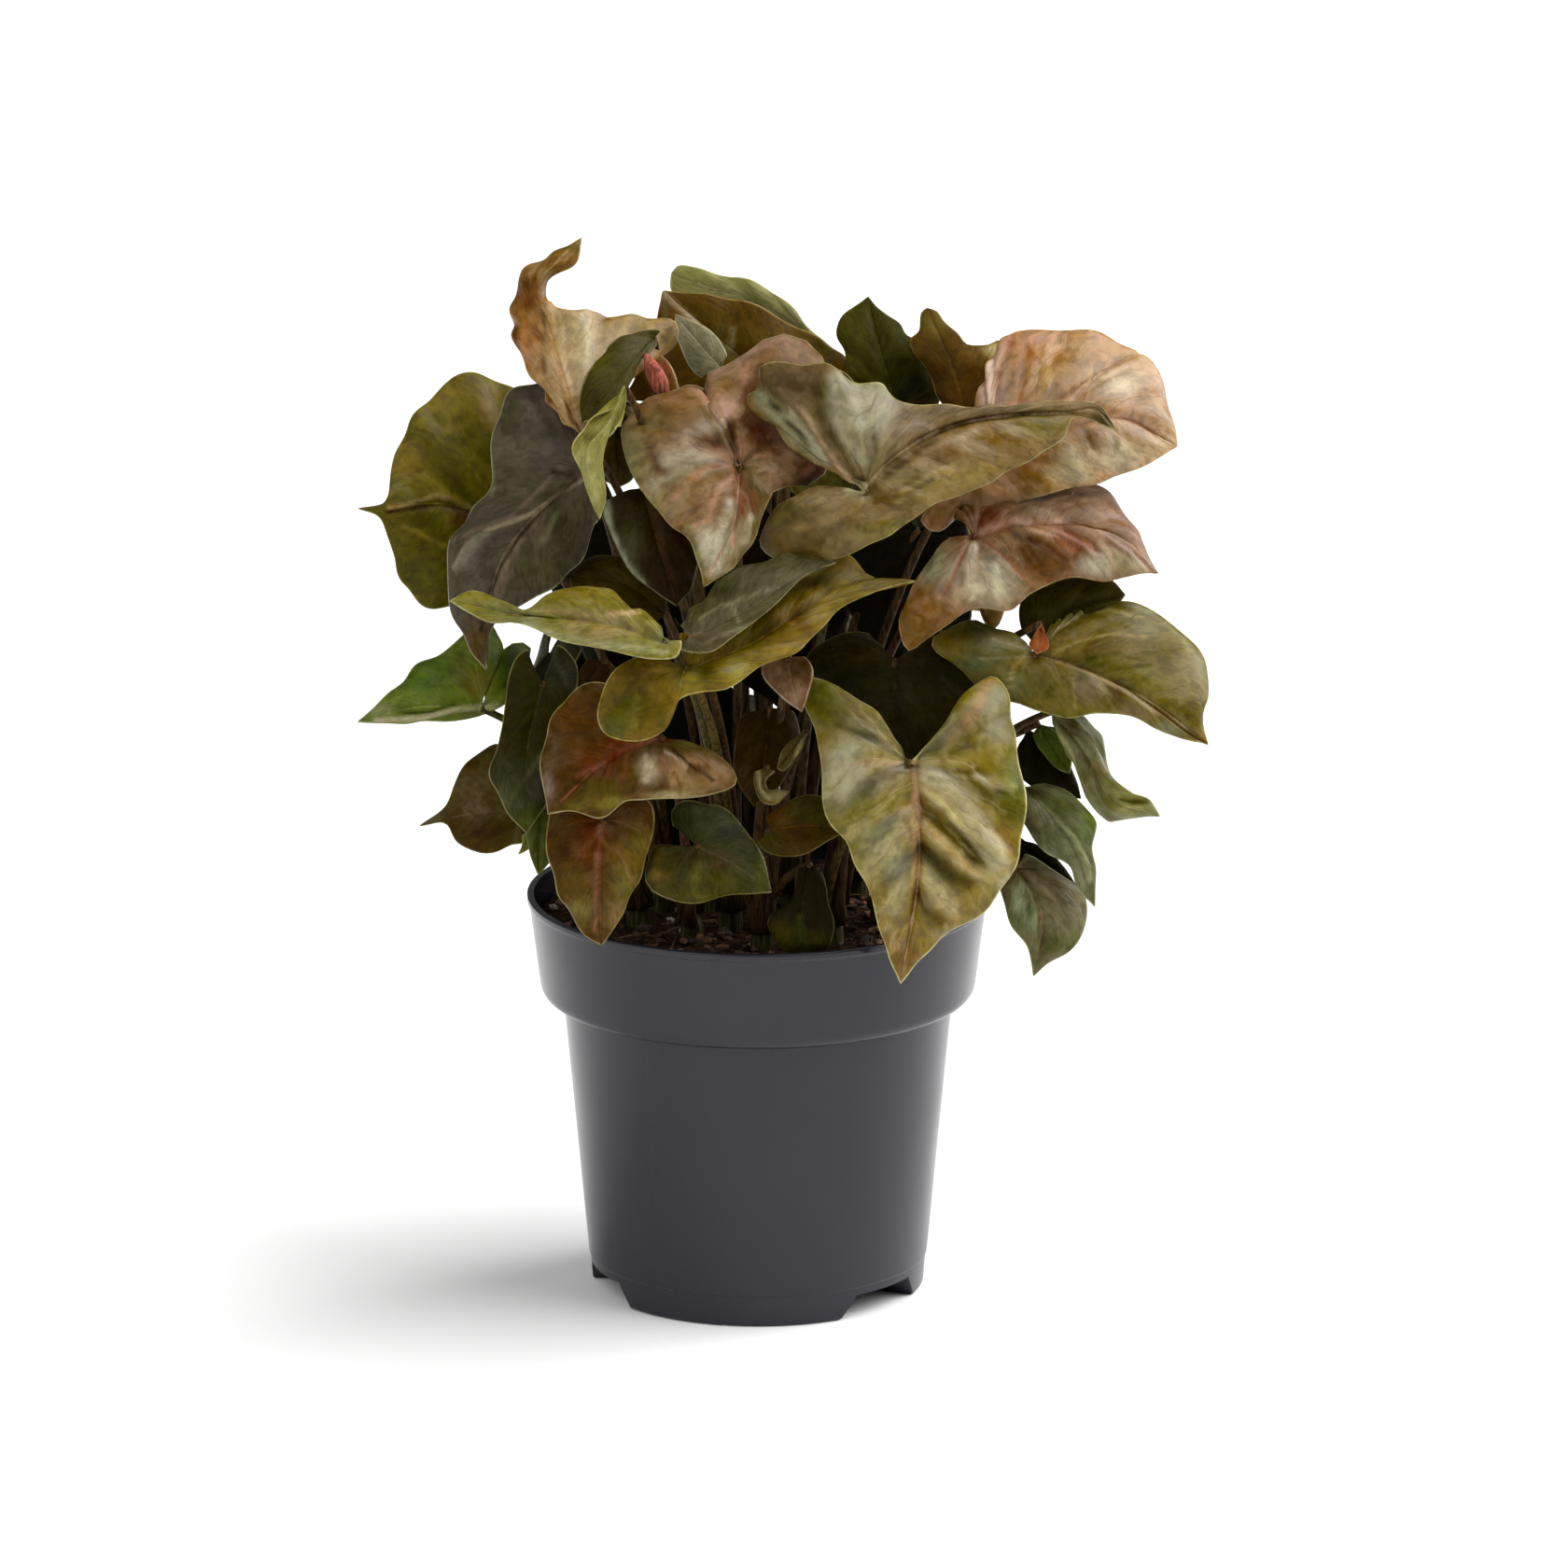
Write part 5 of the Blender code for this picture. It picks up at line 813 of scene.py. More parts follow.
    "tan_curl": tinted("#a48656 #b89e70 #a8834e #b5a272", streaking=0.3, veining=0.1, relief=0.4, marks="""
        -46 141 7 9 #b7a684; -32 147 9 4 #85702a; -24 144 4 5 #5a4608; -36 141 6 5 #9a8450 0.8; -60 145 4 9 #a87438;
        -58 155 8 7 #80521a; -52 164 6 3 #74511a 1 25; -48 167 3 2 #5f4c14; -61.5,157 -56,159: 2.2 #6a4510 0.9;
        -56.5,164 -49,166: 1.2 #8a6420 0.7; -59.5,153 -58,151.5: 1.1 #6b4220 0.8;
        -56,150 -54.8,145: 0.9 #7a5228 0.8 -0.4; -58,146 -55.5,143: 1 #7d5228 0.7;
        -55.5,138 -55.8,135: 0.8 #6a4420 0.8; -62.6,147 -62,142: 0.9 #5c3a1e 0.8;
        -53.5,142 -50.5,130 -48,122: 0.8 #7a5024 0.9 -0.8; -54.5,152 -53,140 -49,128: 1.2 #c09a62 0.8 0.8;
        -50,149 -49,138 -46.5,128: 0.8 #a08a62 0.6 -0.4; -45,149 -45,138 -45.5,130: 1.3 #c9bea2 0.7 0.5;
        -39,150 -41,142: 1 #8a7238 0.6 -0.4; -33,149 -37,142: 1 #a5904e 0.6; -57,131 -51,121.5: 1 #6e4522 0.7"""),
    "dark_fold": tinted("#3f3d10 #4c4a20 #504c24 #7d7a4e", veining=0.1, relief=0.2, marks="""
        -30 141 6 4.5 #57523a; -35 131 2.5 6 #4a4522 0.8 -25; -43 128 4 8 #353004; -41 137 3 3 #4a480c"""),
    "lime_twist": tinted("#8f8d34 #a3a04c #a5a354 #b5b070", veining=0.1, relief=0.3, marks="""
        -43.5 117 3 2.5 #5a5a0c 0.9; -45 113 3 4 #a39f52; -43 103 2 6 #a8a660; -38 124 3 3 #7a7420 0.8;
        -35 130 2 3 #6a6a20"""),
    "orange_small": tinted("#6b4a14 #7c5a20 #8a6430 #9a8a50", veining=0.1, relief=0.3, marks="""
        -31 131 3.5 4 #5c4210; -24 136 3 3 #7a3c18 0.9"""),
    "lime_crest": tinted("#98984c #a5a562 #abaa70 #bdbb8a", streaking=0.3, veining=0.1, relief=0.2, under=True,
                         marks="""
        -19 160 5 3 #8a9030; 2 155 5 3 #80823e 0.7; 11 149 4 3 #a5a070 0.8"""),
    "brown_crest": tinted("#5c4408 #6a5214 #6f5c2c #857340", veining=0.1, relief=0.2, marks="""
        -23 149 3 5 #6e4a1c; -8 141 3 5 #6e6a44 0.7; 18 140 6 4 #4d3e08; 0 148 8 3 #5a4206;
        -24.5,155 -20.5,152 -16,147.5 -12,144: 1 #a89070 1 0.3; -17,148 -14,145.5: 0.9 #b0a488 0.8;
        -6.5,146 -7,141: 0.8 #8a8058 0.8; -10,147 -10,141: 1.3 #5c5636 0.8; -24,153 -24,149: 1 #6a6238 0.8"""),
    "silver_crest": tinted("#7d7a5c #989478 #a59a7c #aca888", streaking=0.3, veining=0.2, relief=0.3, marks="""
        -7 142 3 5 #6b6440; -20 147 2 4 #8f8f74; -16 137 3 5 #77785c"""),
    "dark_back": tinted("#3e3c08 #4c4a14 #525020 #5e5c30", veining=0.1, relief=0.3, marks="""
        25 147 5 6 #4e4b0e; 40 131 9 8 #1c1903; 33 143 3 5 #3a3706; 25 136 3 5 #454208"""),
    "brown_back": tinted("#5a4006 #6a5010 #6f5a24 #857440", veining=0.1, relief=0.3, marks="""
        46 148 4 4 #6f5c10; 61 141 2.5 2.5 #b0a258; 47 133 5 7 #402a04; 55 130 5 6 #563a06; 56 139 4 3 #6a5210 0.8
        """),
    "dark_middle": tinted("#2e2210 #3c2e1a #4c3c28 #6c6a50", relief=0.5, marks="""
        -33 90 3 9 #45452e 0.9; -22 98 5 8 #36200e; -28 100 4 6 #3f3418 0.8;
        -39.5,101 -38.5,94 -34.5,85 -30,80: 1.3 #8c9080; -29,104 -26,92 -22,80: 0.6 #4c3020 0.7 -0.4"""),
    "dark_shelf": tinted("#3e3204 #483c0e #524618 #66603a", relief=0.5),
    "pale_under": tinted("#7a5e48 #8a7058 #947a62 #a89880", under=True, marks="""
        11 58 4 3 #523e22; 10 51 2 4 #94785c"""),
    "brown_inner": tinted("#3a2a0c #463614 #4e3e20 #5c5034"),
    "pale_curl": tinted("#5c502a #6a5e38 #6f6440 #7c7450", marks="""
        5.5 24.8 3 1.6 #8c8458 0.9; 0,31 0.6,27 2.4,24: 0.6 #9a9068 0.9"""),
    "pale_fold": tinted("#52482a #605636 #6f6440 #7c7450", marks="""
        5.5 24.8 3 1.6 #8c8458 0.9; 12.6,41.6 10.4,37 9.9,34.6: 0.6 #9a9068 0.9"""),
    "rim_olive": tinted("#221c06 #2c260c #3a3414 #5a5630", veining=0.2, relief=0.4, marks="""
        6 -12 4 4 #4c480e; 14 -13 5 3 #3a3608; 11,-7 11.5,-13: 0.9 #44501c 0.9"""),
    "olive_shelf": tinted("#443f18 #504a24 #5a522c #6c6640"),
    "orange_sheath": tinted("#9c5830 #a8683c #a86a40 #b08058", veining=0.1),
    # The next three are near black: painted shade among the petioles
    "shadow_right": tinted("#1f1d06 #28260c #2c2a12 #3a3820"),
    "shadow_low": tinted("#201d06 #28250c #2c2912 #3a3820"),
    "dim_brown": tinted("#33230a #3e2e14 #443418 #544628"),
    "low_red": tinted("#43350e #504016 #64401c #6c6440", veining=0.2, relief=0.5, marks="""
        4 20 4 3 #5c3816; 10 15 5 4 #402a04; 0 14 4 4 #403808; 14 22 6 4 #36350a"""),
    "lime_speck": tinted("#7b7f30 #8c9040 #90924a #9a9c5a", streaking=0.3, veining=0.2),
    "dim_olive": tinted("#5a4e1e #6a5e2c #6a5e34 #7a6e44", streaking=0.4, veining=0.2, marks="""
        -36 120 3 4 #1c1408"""),
    # Near black: painted shade of the plant's dark middle
    "shade_high_left": tinted("#191504 #221d08 #26200c #302a16", veining=0.1),
    "shade_high_middle": tinted("#1d1304 #261a08 #2a1e0c #342816", veining=0.1),
    "shade_high_right": tinted("#191604 #221f08 #26220c #302c16", veining=0.1),
    "shade_low_left": tinted("#161604 #1f1f08 #24240c #2c2c16", veining=0.1),
    "shade_low_right": tinted("#1b1204 #241a08 #281e0c #322816", veining=0.1),
}

# Colours of the petioles that show, of the others, of the stems and of the spikes
STALK_TINTS = {
    "olive_right": "#6b4a28", "pink_shelf": "#6b4030", "front_heart": "#5c4f28", "silver_top": "#665a34",
    "green_left": "#4f4a28", "red_front": "#6d4630", "mustard_sweep": "#6a5a2a", "lime_left": "#6a6034",
}
STALK_TINT = "#5a4324"
STEM_TINT = "#55502f"
SPIKE_TINT = "#b3604c"

# Rolled young leaves, and their thickness along their length
SPIKES = {"red_spike": Spike("crown_left", (-24, 128.8, 57), (-29.2, 139.8, 57), 2.6)}
SPIKE_FORM = ((0.0, 0.25, 0.6, 0.85, 1.0), (0.5, 0.95, 0.9, 0.5, 0.12))
STEM_FORM = ((0.0, 0.6, 0.85, 1.0), (0.96, 0.92, 0.86, 0.62))

# Leaves on the far side
TURNED = {name: TurnedBlade(*form) for name, form in {
    "back_heart": ("front_heart", "back_right", 62, 50, 72, 0.95),
    "back_low": ("low_right", "back_right", 34, 24, 72, 1.1),
    "back_olive": ("olive_right", "back_right", 42, 74, 74, 0.85),
    "back_shelf": ("pink_shelf", "back_right", 14, 92, 62, 0.8),
    "back_grey": ("grey_left", "back_right", 66, 112, 46, 0.85),
    "back_dark": ("slate_right_low", "back", 88, 34, 64, 1.3),
    "back_sweep": ("mustard_sweep", "back", 78, 72, 74, 0.85),
    "back_silver": ("silver_top", "back", 100, 106, 47, 0.8),
    "back_hanger": ("rim_hanger", "back_left", 112, 42, 70, 1.1),
    "back_red": ("red_front", "back_left", 134, 58, 66, 1.0),
    "back_crown": ("pink_crown", "back_left", 137, 98, 58, 0.85),
    "back_tall": ("tall_dark", "back_left", 156, 56, 60, 1.1),
    "back_blush": ("centre_blush", "back_left", 152, 108, 48, 0.76),
    "back_top": ("olive_left", "crown_right", 20, 118, 8, 0.7),
}.items()}

# Where each plantlet stands in the soil, in millimetres right and back from the pot's axis
PLANTLETS = {
    "front_left": (-17, -24), "front": (1, -31), "front_right": (19, -24), "left_low": (-31, -8),
    "left_high": (-25, 9), "middle": (-7, -10), "right_low": (32, -8), "right_high": (20, -4),
    "crown_left": (-11, 8), "crown_right": (9, 6), "crown_back": (0, 22), "back_left": (-22, 26),
    "back": (4, 36), "back_right": (26, 20),
}

LEAVES = BLADES | TURNED


def source_of(name: str) -> str:
    """Give the leaf whose outline and colours a leaf has."""
    return TURNED[name].source if name in TURNED else name


@dataclass
class Foliage:
    """The plantlets: short stems, petioles and blades, each plantlet made as a piece of blades and a piece of stalks.

    The sizes of the blades' relief are in millimetres. What is named seed sets the noise and the
    waves of each blade apart from the others'.
    """

    row_length: float = 0.95
    margin_over_rib: float = 1.3
    least_rows: int = 12
    most_rows: int = 84
    marked_rows: float = 1.35
    lobe_share: float = 0.3
    half_columns: int = 16
    small_columns: int = 6
    small_length: float = 26.0
    column_width: float = 0.85
    most_columns: int = 36
    veins_per_mm: float = 0.085
    least_veins: float = 3.0
    lobe_veins: float = 2.0
    vein_lean: float = 0.75
    vein_curve: float = 1.3
    vein_settling: float = 0.4
    quilting: float = 0.12
    quilt_reach: float = 1.2
    quilt_shift: float = 0.8
    quilt_fullness: float = 0.7
    quilt_crest: float = 0.9
    quilt_patch: float = 0.011
    patch_level: float = 0.62
    patch_swing: float = 0.9
    patch_most: float = 1.3
    patch_seed: float = 2.3
    patch_start: float = 5.0
    rib_groove: float = 0.45
    groove_width: float = 0.9
    rib_valley: float = 1.1
    valley_width: float = 3.2
    rib_room: float = 10.0
    margin_wave: float = 0.8
    wave_length: float = 15.0
    wave_seed: float = 1.7
    wave_side: float = 1.3
    wave_drift: float = 0.8
    wave_hold: float = 2.5
    wave_room: float = 12.0
    drift_length: float = 37.0
    buckle: float = 1.1
    buckle_length: float = 17.0
    buckle_seed: float = 3.1
    buckle_from: float = 0.5
    thickness: float = 0.45
    petiole_points: int = 28
    petiole_sides: int = 10
    petiole_width: float = 1.35
    petiole_taper: float = 0.45
    foot_flare: float = 0.5
    flare_share: float = 0.05
    spike_points: int = 16
    stem_points: int = 8
    stem_bevel: float = 0.0004

    def grown_blade(self, name: str, seed: int) -> dict[str, np.ndarray]:
        """Make one blade's surface with its relief and what its finish reads.

        Args:
            name: Name of the blade.
            seed: Number that sets its waves apart from the other blades'.

        Returns:
            Places, and the layout and colours of each place, by row and column.
        """
        blade, tint = BLADES[source_of(name)], TINTS[source_of(name)]
        length = blade.length_mm()
        marked = bool(tint.strokes) and name not in TURNED
        rows = int(np.clip(length * self.margin_over_rib / self.row_length, self.least_rows, self.most_rows)
                   * (self.marked_rows if marked else 1.0))
        lobe_rows = max(3, round(rows * self.lobe_share))
        columns = self.half_columns if length > self.small_length else self.small_columns
        if marked:
            columns = int(np.clip(blade.half_width_mm() / self.column_width, columns, self.most_columns))
        flat = blade.surface(lobe_rows, rows - lobe_rows, columns)
        view = to_view(flat)
        folds = sum(stroke.lift * stroke.share(view) for stroke in tint.strokes)
        places, layout = self.relief(flat, blade, lobe_rows, seed, tint, folds)
        if name in TURNED:
            places = TURNED[name].turn(places)
        return {"places": places, **layout, **self.painted(view, tint)}

    def relief(self, flat: np.ndarray, blade: Blade, lobe_rows: int, seed: int,
               tint: Tint, folds: np.ndarray | int) -> tuple[np.ndarray, dict[str, np.ndarray]]:
        """Raise the quilting between the veins, sink the rib and wave the margins.

        Args:
            flat: The smooth surface.
            blade: The blade.
            lobe_rows: Rows round its lobes.
            seed: Number that shifts its waves.
            tint: Its colours, with how strong its relief is and which side faces the viewer.
            folds: How far its own folds lift each place, in millimetres.

        Returns:
            The places, and the layout: vein number, share across, vein spacing, and width in mm.
        """
        rows, columns = flat.shape[:2]
        half = columns // 2
        share = np.abs(np.arange(columns) - half)[None, :] / half
        side = np.sign(np.arange(columns) - half)[None, :]
        rib = flat[:, half:half + 1]
        edge = np.where(side[..., None] < 0, flat[:, :1], flat[:, -1:])
        width = np.linalg.norm(edge - rib, axis=2) / MM
        veins = max(self.least_veins, round(blade.length_mm() * self.veins_per_mm))
        row = np.arange(rows)[:, None]
        number = np.where(row <= lobe_rows, self.lobe_veins * row / lobe_rows,
                          self.lobe_veins + (veins * (row - lobe_rows)) / (rows - 1 - lobe_rows))
        number = number + 0.5 + np.zeros((1, columns))
        run = np.linalg.norm(np.gradient(flat, axis=0), axis=2) / MM
        spacing = run / np.maximum(np.gradient(number, axis=0), LEAST_STEP)
        start = self.vein_settling * lobe_rows
        settled = np.clip((row - start) / (lobe_rows - start), 0, 1)
        number = number - self.vein_lean * share**self.vein_curve * settled

        patchy = noise_over(flat, self.quilt_patch, (0.0, seed * self.patch_seed, self.patch_start))
        patchy = self.patch_level + self.patch_swing * patchy
        puff = (np.minimum(spacing, self.quilt_reach * width) * np.clip(patchy, 0, self.patch_most)
                * np.sin(np.pi * share**self.quilt_shift)**self.quilt_fullness)
        quilt = np.abs(np.sin(np.pi * number))**self.quilt_crest * puff
        off_rib = share * width
        groove = (self.rib_groove * np.exp(-(off_rib / self.groove_width)**2)
                  + self.rib_valley * np.exp(-(off_rib / self.valley_width)**2))
        groove *= np.clip(width / self.rib_room, 0, 1)
        length = run_of(flat[:, 0])[:, None] / MM
        drift = self.wave_drift * np.sin(length * math.tau / self.drift_length + seed)
        phase = seed * self.wave_seed + side * self.wave_side + drift
        wave = np.sin(length * math.tau / self.wave_length + phase) * self.margin_wave * share**self.wave_hold
        buckle = noise_over(flat, self.buckle_length * MM, (seed * self.buckle_seed, 0.0, 0.0))
        buckle *= self.buckle * np.clip(share / self.buckle_from, 0, 1)
        ends = np.clip(width / self.wave_room, 0, 1)
        lift = tint.relief * (self.quilting * quilt - groove) + (wave + buckle) * ends + folds

        normal = np.cross(np.gradient(flat, axis=1), np.gradient(flat, axis=0))
        normal = (1 if tint.under else -1) * normal / np.maximum(np.linalg.norm(normal, axis=2, keepdims=True), TINY)
        layout = np.stack([number, share * side + np.zeros((rows, 1)), spacing], axis=2)
        return flat + normal * (lift * MM)[..., None], {"layout": layout, "half_width": width}

    def painted(self, view: np.ndarray, tint: Tint) -> dict[str, np.ndarray]:
        """Paint a blade.

        Args:
            view: Where its places lie on the front view.
            tint: Its colours.

        Returns:
            Colours of the lamina, the streaks, the veins and the edge, with their strengths.
        """
        evenly = (*view.shape[:2], 1)
        lamina = np.tile(linear(tint.lamina), evenly)
        # The marks carry painted light: shade on shaded parts and in folds, highlight on ridges
        for mark in (*tint.spots, *tint.strokes):
            lamina += (np.array(linear(mark.colour)) - lamina) * (mark.strength * mark.share(view))[..., None]
        return {
            "lamina": lamina,
            "streak": np.tile(linear(tint.streak, tint.streaking), evenly),
            "vein": np.tile(linear(tint.vein, tint.veining), evenly),
            "edge": np.tile(linear(tint.edge), evenly),
        }

    def add_sheet(self, work: bmesh.types.BMesh, data: dict[str, np.ndarray], under: bool) -> None:
        """Add a blade's surface to a mesh.

        Args:
            work: Mesh that takes it.
            data: What grown_blade gives.
            under: Whether the viewer sees its underside.
        """
        places = data["places"]
        rows, columns = places.shape[:2]
        made = bmesh.ops.create_grid(work, x_segments=columns - 1, y_segments=rows - 1, size=0.5)
        kinds = work.verts.layers
        layers = {name: kinds.float_color[name] for name in ("lamina", "streak", "vein", "edge")}
        layers |= {"layout": kinds.float_vector["layout"], "half_width": kinds.float["half_width"]}
        for vertex in made["verts"]:
            column = round((vertex.co.x + 0.5) * (columns - 1))
            row = round((vertex.co.y + 0.5) * (rows - 1))
            vertex.co = places[row, column]
            for name, layer in layers.items():
                vertex[layer] = data[name][row, column]
        faces = faces_of(made["verts"])
        if not under:
            bmesh.ops.reverse_faces(work, faces=faces)
        for face in faces:
            face.smooth = True
        bmesh.ops.remove_doubles(work, verts=made["verts"], dist=WELD)

    def blades_of(self, plantlet: str, names: list[str], upper: bpy.types.Material,
                  under: bpy.types.Material) -> bpy.types.Object:
        """Make the blades of a plantlet as one piece.

        Args:
            plantlet: Name of the plantlet.
            names: Names of its blades.
            upper: Finish of the upper sides.
            under: Finish of the undersides.

        Returns:
            The piece.
        """
        work = bmesh.new()
        for name in ("lamina", "streak", "vein", "edge"):
            work.verts.layers.float_color.new(name)
        work.verts.layers.float_vector.new("layout")
        work.verts.layers.float.new("half_width")
        for name in names:
            seed = [*LEAVES].index(name)
            self.add_sheet(work, self.grown_blade(name, seed), TINTS[source_of(name)].under)
        piece = new_object(f"blades_{plantlet}", work, [upper, under])
        shell = piece.modifiers.new("thickness", "SOLIDIFY")
        shell.thickness = self.thickness * MM
        shell.offset = 0.0
        shell.material_offset = 1
        return piece

    def petiole_path(self, start: np.ndarray, heart: np.ndarray) -> np.ndarray:
        """Give the way of a petiole: up out of the stem, then over and out to its blade.

        Args:
            start: Its foot on the stem.
            heart: Where it meets its blade.

        Returns:
            Points as rows.
        """
        reach = heart - start
        flat = np.array([reach[0], reach[1], 0.0])
        rise = reach - flat
        first = start + PETIOLE_RISE * rise + PETIOLE_LEAN * flat
        last = heart - PETIOLE_DROOP * rise - PETIOLE_REACH * flat
        shares = np.linspace(0, 1, self.petiole_points)[:, None]
        return ((1 - shares)**3 * start + 3 * (1 - shares)**2 * shares * first
                + 3 * (1 - shares) * shares**2 * last + shares**3 * heart)

    def petioles_of(self, plantlet: str, names: list[str]) -> dict[str, np.ndarray]:
        """Give the way of each petiole of a plantlet, set round its stem in the order of its leaves.

        Args:
            plantlet: Name of the plantlet.
            names: Names of its leaves.

        Returns:
            The points of each petiole by leaf.
        """
        crown = np.array([*PLANTLETS[plantlet], 0.0]) * MM + [0, 0, SOIL_LEVEL + STEM_TOP - 2 * PETIOLE_RADIUS]
        hearts = {}
        for name in names:
            blade = BLADES[source_of(name)]
            heart = blade.placed(blade.rib[:1], 0.0)
            hearts[name] = TURNED[name].turn(heart[None])[0, 0] if name in TURNED else heart[0]
        hearts |= {name: from_view(*spike.foot) for name, spike in SPIKES.items() if spike.plantlet == plantlet}
        headings = {name: math.atan2(heart[1] - crown[1], heart[0] - crown[0]) for name, heart in hearts.items()}
        order = sorted(headings, key=headings.get)
        half = len(order) // 2
        paths = {}
        for place, name in enumerate(order):
            angle = headings[order[half]] + math.tau * (place - half) / max(len(order), 3)
            start = crown + np.array([math.cos(angle), math.sin(angle), 0.0]) * PETIOLE_RING
            paths[name] = self.petiole_path(start, hearts[name])
        return paths

    def stalks_of(self, plantlet: str, names: list[str], finish: bpy.types.Material) -> bpy.types.Object:
        """Make the stem and petioles of a plantlet as one piece.

        Args:
            plantlet: Name of the plantlet.
            names: Names of its leaves.
            finish: Their finish.

        Returns:
            The piece.
        """
        work = bmesh.new()
        work.verts.layers.float_color.new("lamina")
        work.verts.layers.float.new("rise")
        for name, path in self.petioles_of(plantlet, names).items():
            share = np.linspace(0, 1, len(path))
            widths = PETIOLE_RADIUS * (self.petiole_width - self.petiole_taper * share)
            widths *= 1 + self.foot_flare * np.exp(-share / self.flare_share)
            self.add_tube(work, path, widths, STALK_TINTS.get(name, STALK_TINT))
            if name in SPIKES:
                spike = SPIKES[name]
                foot, tip = from_view(*spike.foot), from_view(*spike.tip)
                shares = np.linspace(0, 1, self.spike_points)
                widths = np.interp(shares, *SPIKE_FORM) * spike.radius * MM
                self.add_tube(work, foot + shares[:, None] * (tip - foot), widths, SPIKE_TINT)
        shares = np.linspace(0, 1, self.stem_points)
        levels = np.linspace(SOIL_LEVEL - STEM_DEPTH, SOIL_LEVEL + STEM_TOP - self.stem_bevel, self.stem_points)
        stem = np.array([(*(MM * place for place in PLANTLETS[plantlet]), level) for level in levels])
        self.add_tube(work, stem, np.interp(shares, *STEM_FORM) * STEM_RADIUS, STEM_TINT)
        return new_object(f"stalks_{plantlet}", work, [finish])

    def add_tube(self, work: bmesh.types.BMesh, path: np.ndarray, widths: np.ndarray, colour: str) -> None:
        """Sweep a round section along a path.

        Args:
            work: Mesh that takes it.
            path: Points as rows.
            widths: Radius at each point.
            colour: Hex colour of the tube.
        """
        tint = work.verts.layers.float_color["lamina"]
        rise = work.verts.layers.float["rise"]
        sides, spans = self.petiole_sides, len(path) - 1
        made = bmesh.ops.create_grid(work, x_segments=sides, y_segments=spans, size=0.5)
        along_path = np.gradient(path, axis=0)
        along_path /= np.linalg.norm(along_path, axis=1, keepdims=True)
        first = np.cross(along_path, NOWHERE_ALONG)
        first /= np.linalg.norm(first, axis=1, keepdims=True)
        second = np.cross(along_path, first)
        for vertex in made["verts"]:
            turn = math.tau * (vertex.co.x + 0.5)
            row = round((vertex.co.y + 0.5) * spans)
            vertex.co = path[row] + widths[row] * (math.cos(turn) * first[row] + math.sin(turn) * second[row])
            vertex[tint] = linear(colour)
            vertex[rise] = row / spans
        faces = faces_of(made["verts"])
        for face in faces:
            face.smooth = True
        bmesh.ops.remove_doubles(work, verts=made["verts"], dist=WELD)
        body = {face for face in faces if face.is_valid}
        ends = {edge for face in body for edge in face.edges if edge.is_boundary}
        bmesh.ops.holes_fill(work, edges=list(ends), sides=sides)
        bmesh.ops.recalc_face_normals(work, faces=faces_of({vertex for face in body for vertex in face.verts}))


def faces_of(vertices: Iterable[bmesh.types.BMVert]) -> list[bmesh.types.BMFace]:
    """Give the faces that touch some vertices."""
    return list({face for vertex in vertices for face in vertex.link_faces})


def new_object(name: str, work: bmesh.types.BMesh, finishes: list[bpy.types.Material]) -> bpy.types.Object:
    """Make an object of a bmesh and free it.

    Args:
        name: Name of the object.
        work: Its mesh.
        finishes: Its materials.

    Returns:
        The object.
    """
    mesh = bpy.data.meshes.new(name)
    work.to_mesh(mesh)
    work.free()
    made = bpy.data.objects.new(name, mesh)
    bpy.context.scene.collection.objects.link(made)
    for finish in finishes:
        mesh.materials.append(finish)
    return made


# Settings that many nodes share
PLUS, MINUS, TIMES, OVER, TIMES_PLUS, SIZE, MOST = (
    {"operation": name} for name in ("ADD", "SUBTRACT", "MULTIPLY", "DIVIDE", "MULTIPLY_ADD", "ABSOLUTE", "MAXIMUM"))
SMOOTH = {"interpolation_type": "SMOOTHSTEP"}
COLOURS = {"data_type": "RGBA"}

# Where most of a noise lies
NOISE = (0.3, 0.7)

# A Mix node's inputs for colours, and its output
SHARE, FIRST, SECOND, MIXED = 0, 6, 7, 2


@dataclass(frozen=True)
class Finish:
    """A surface, whose kinds say what their shader takes.

    A range named for what it does runs smoothly over a value: from, to, result before, result after.
    """

    name: str

    def material(self) -> bpy.types.Material:
        """Make the material.

        Returns:
            The material, ready to put on a piece.
        """
        made = bpy.data.materials.new(self.name)
        made.use_nodes = True
        add = partial(add_node, made.node_tree)
        feed(made.node_tree.nodes["Principled BSDF"], self.surface(add, add("TexCoord", {}, {})["Object"]))
        return made

    def surface(self, add: Adder, place: bpy.types.NodeSocket) -> dict[str, Term]:
        """Add the nodes of the surface.

        Args:
            add: What adds a node to the material.
            place: Places on the piece in metres.

        Returns:
            What each input of the shader takes.
        """
        raise NotImplementedError


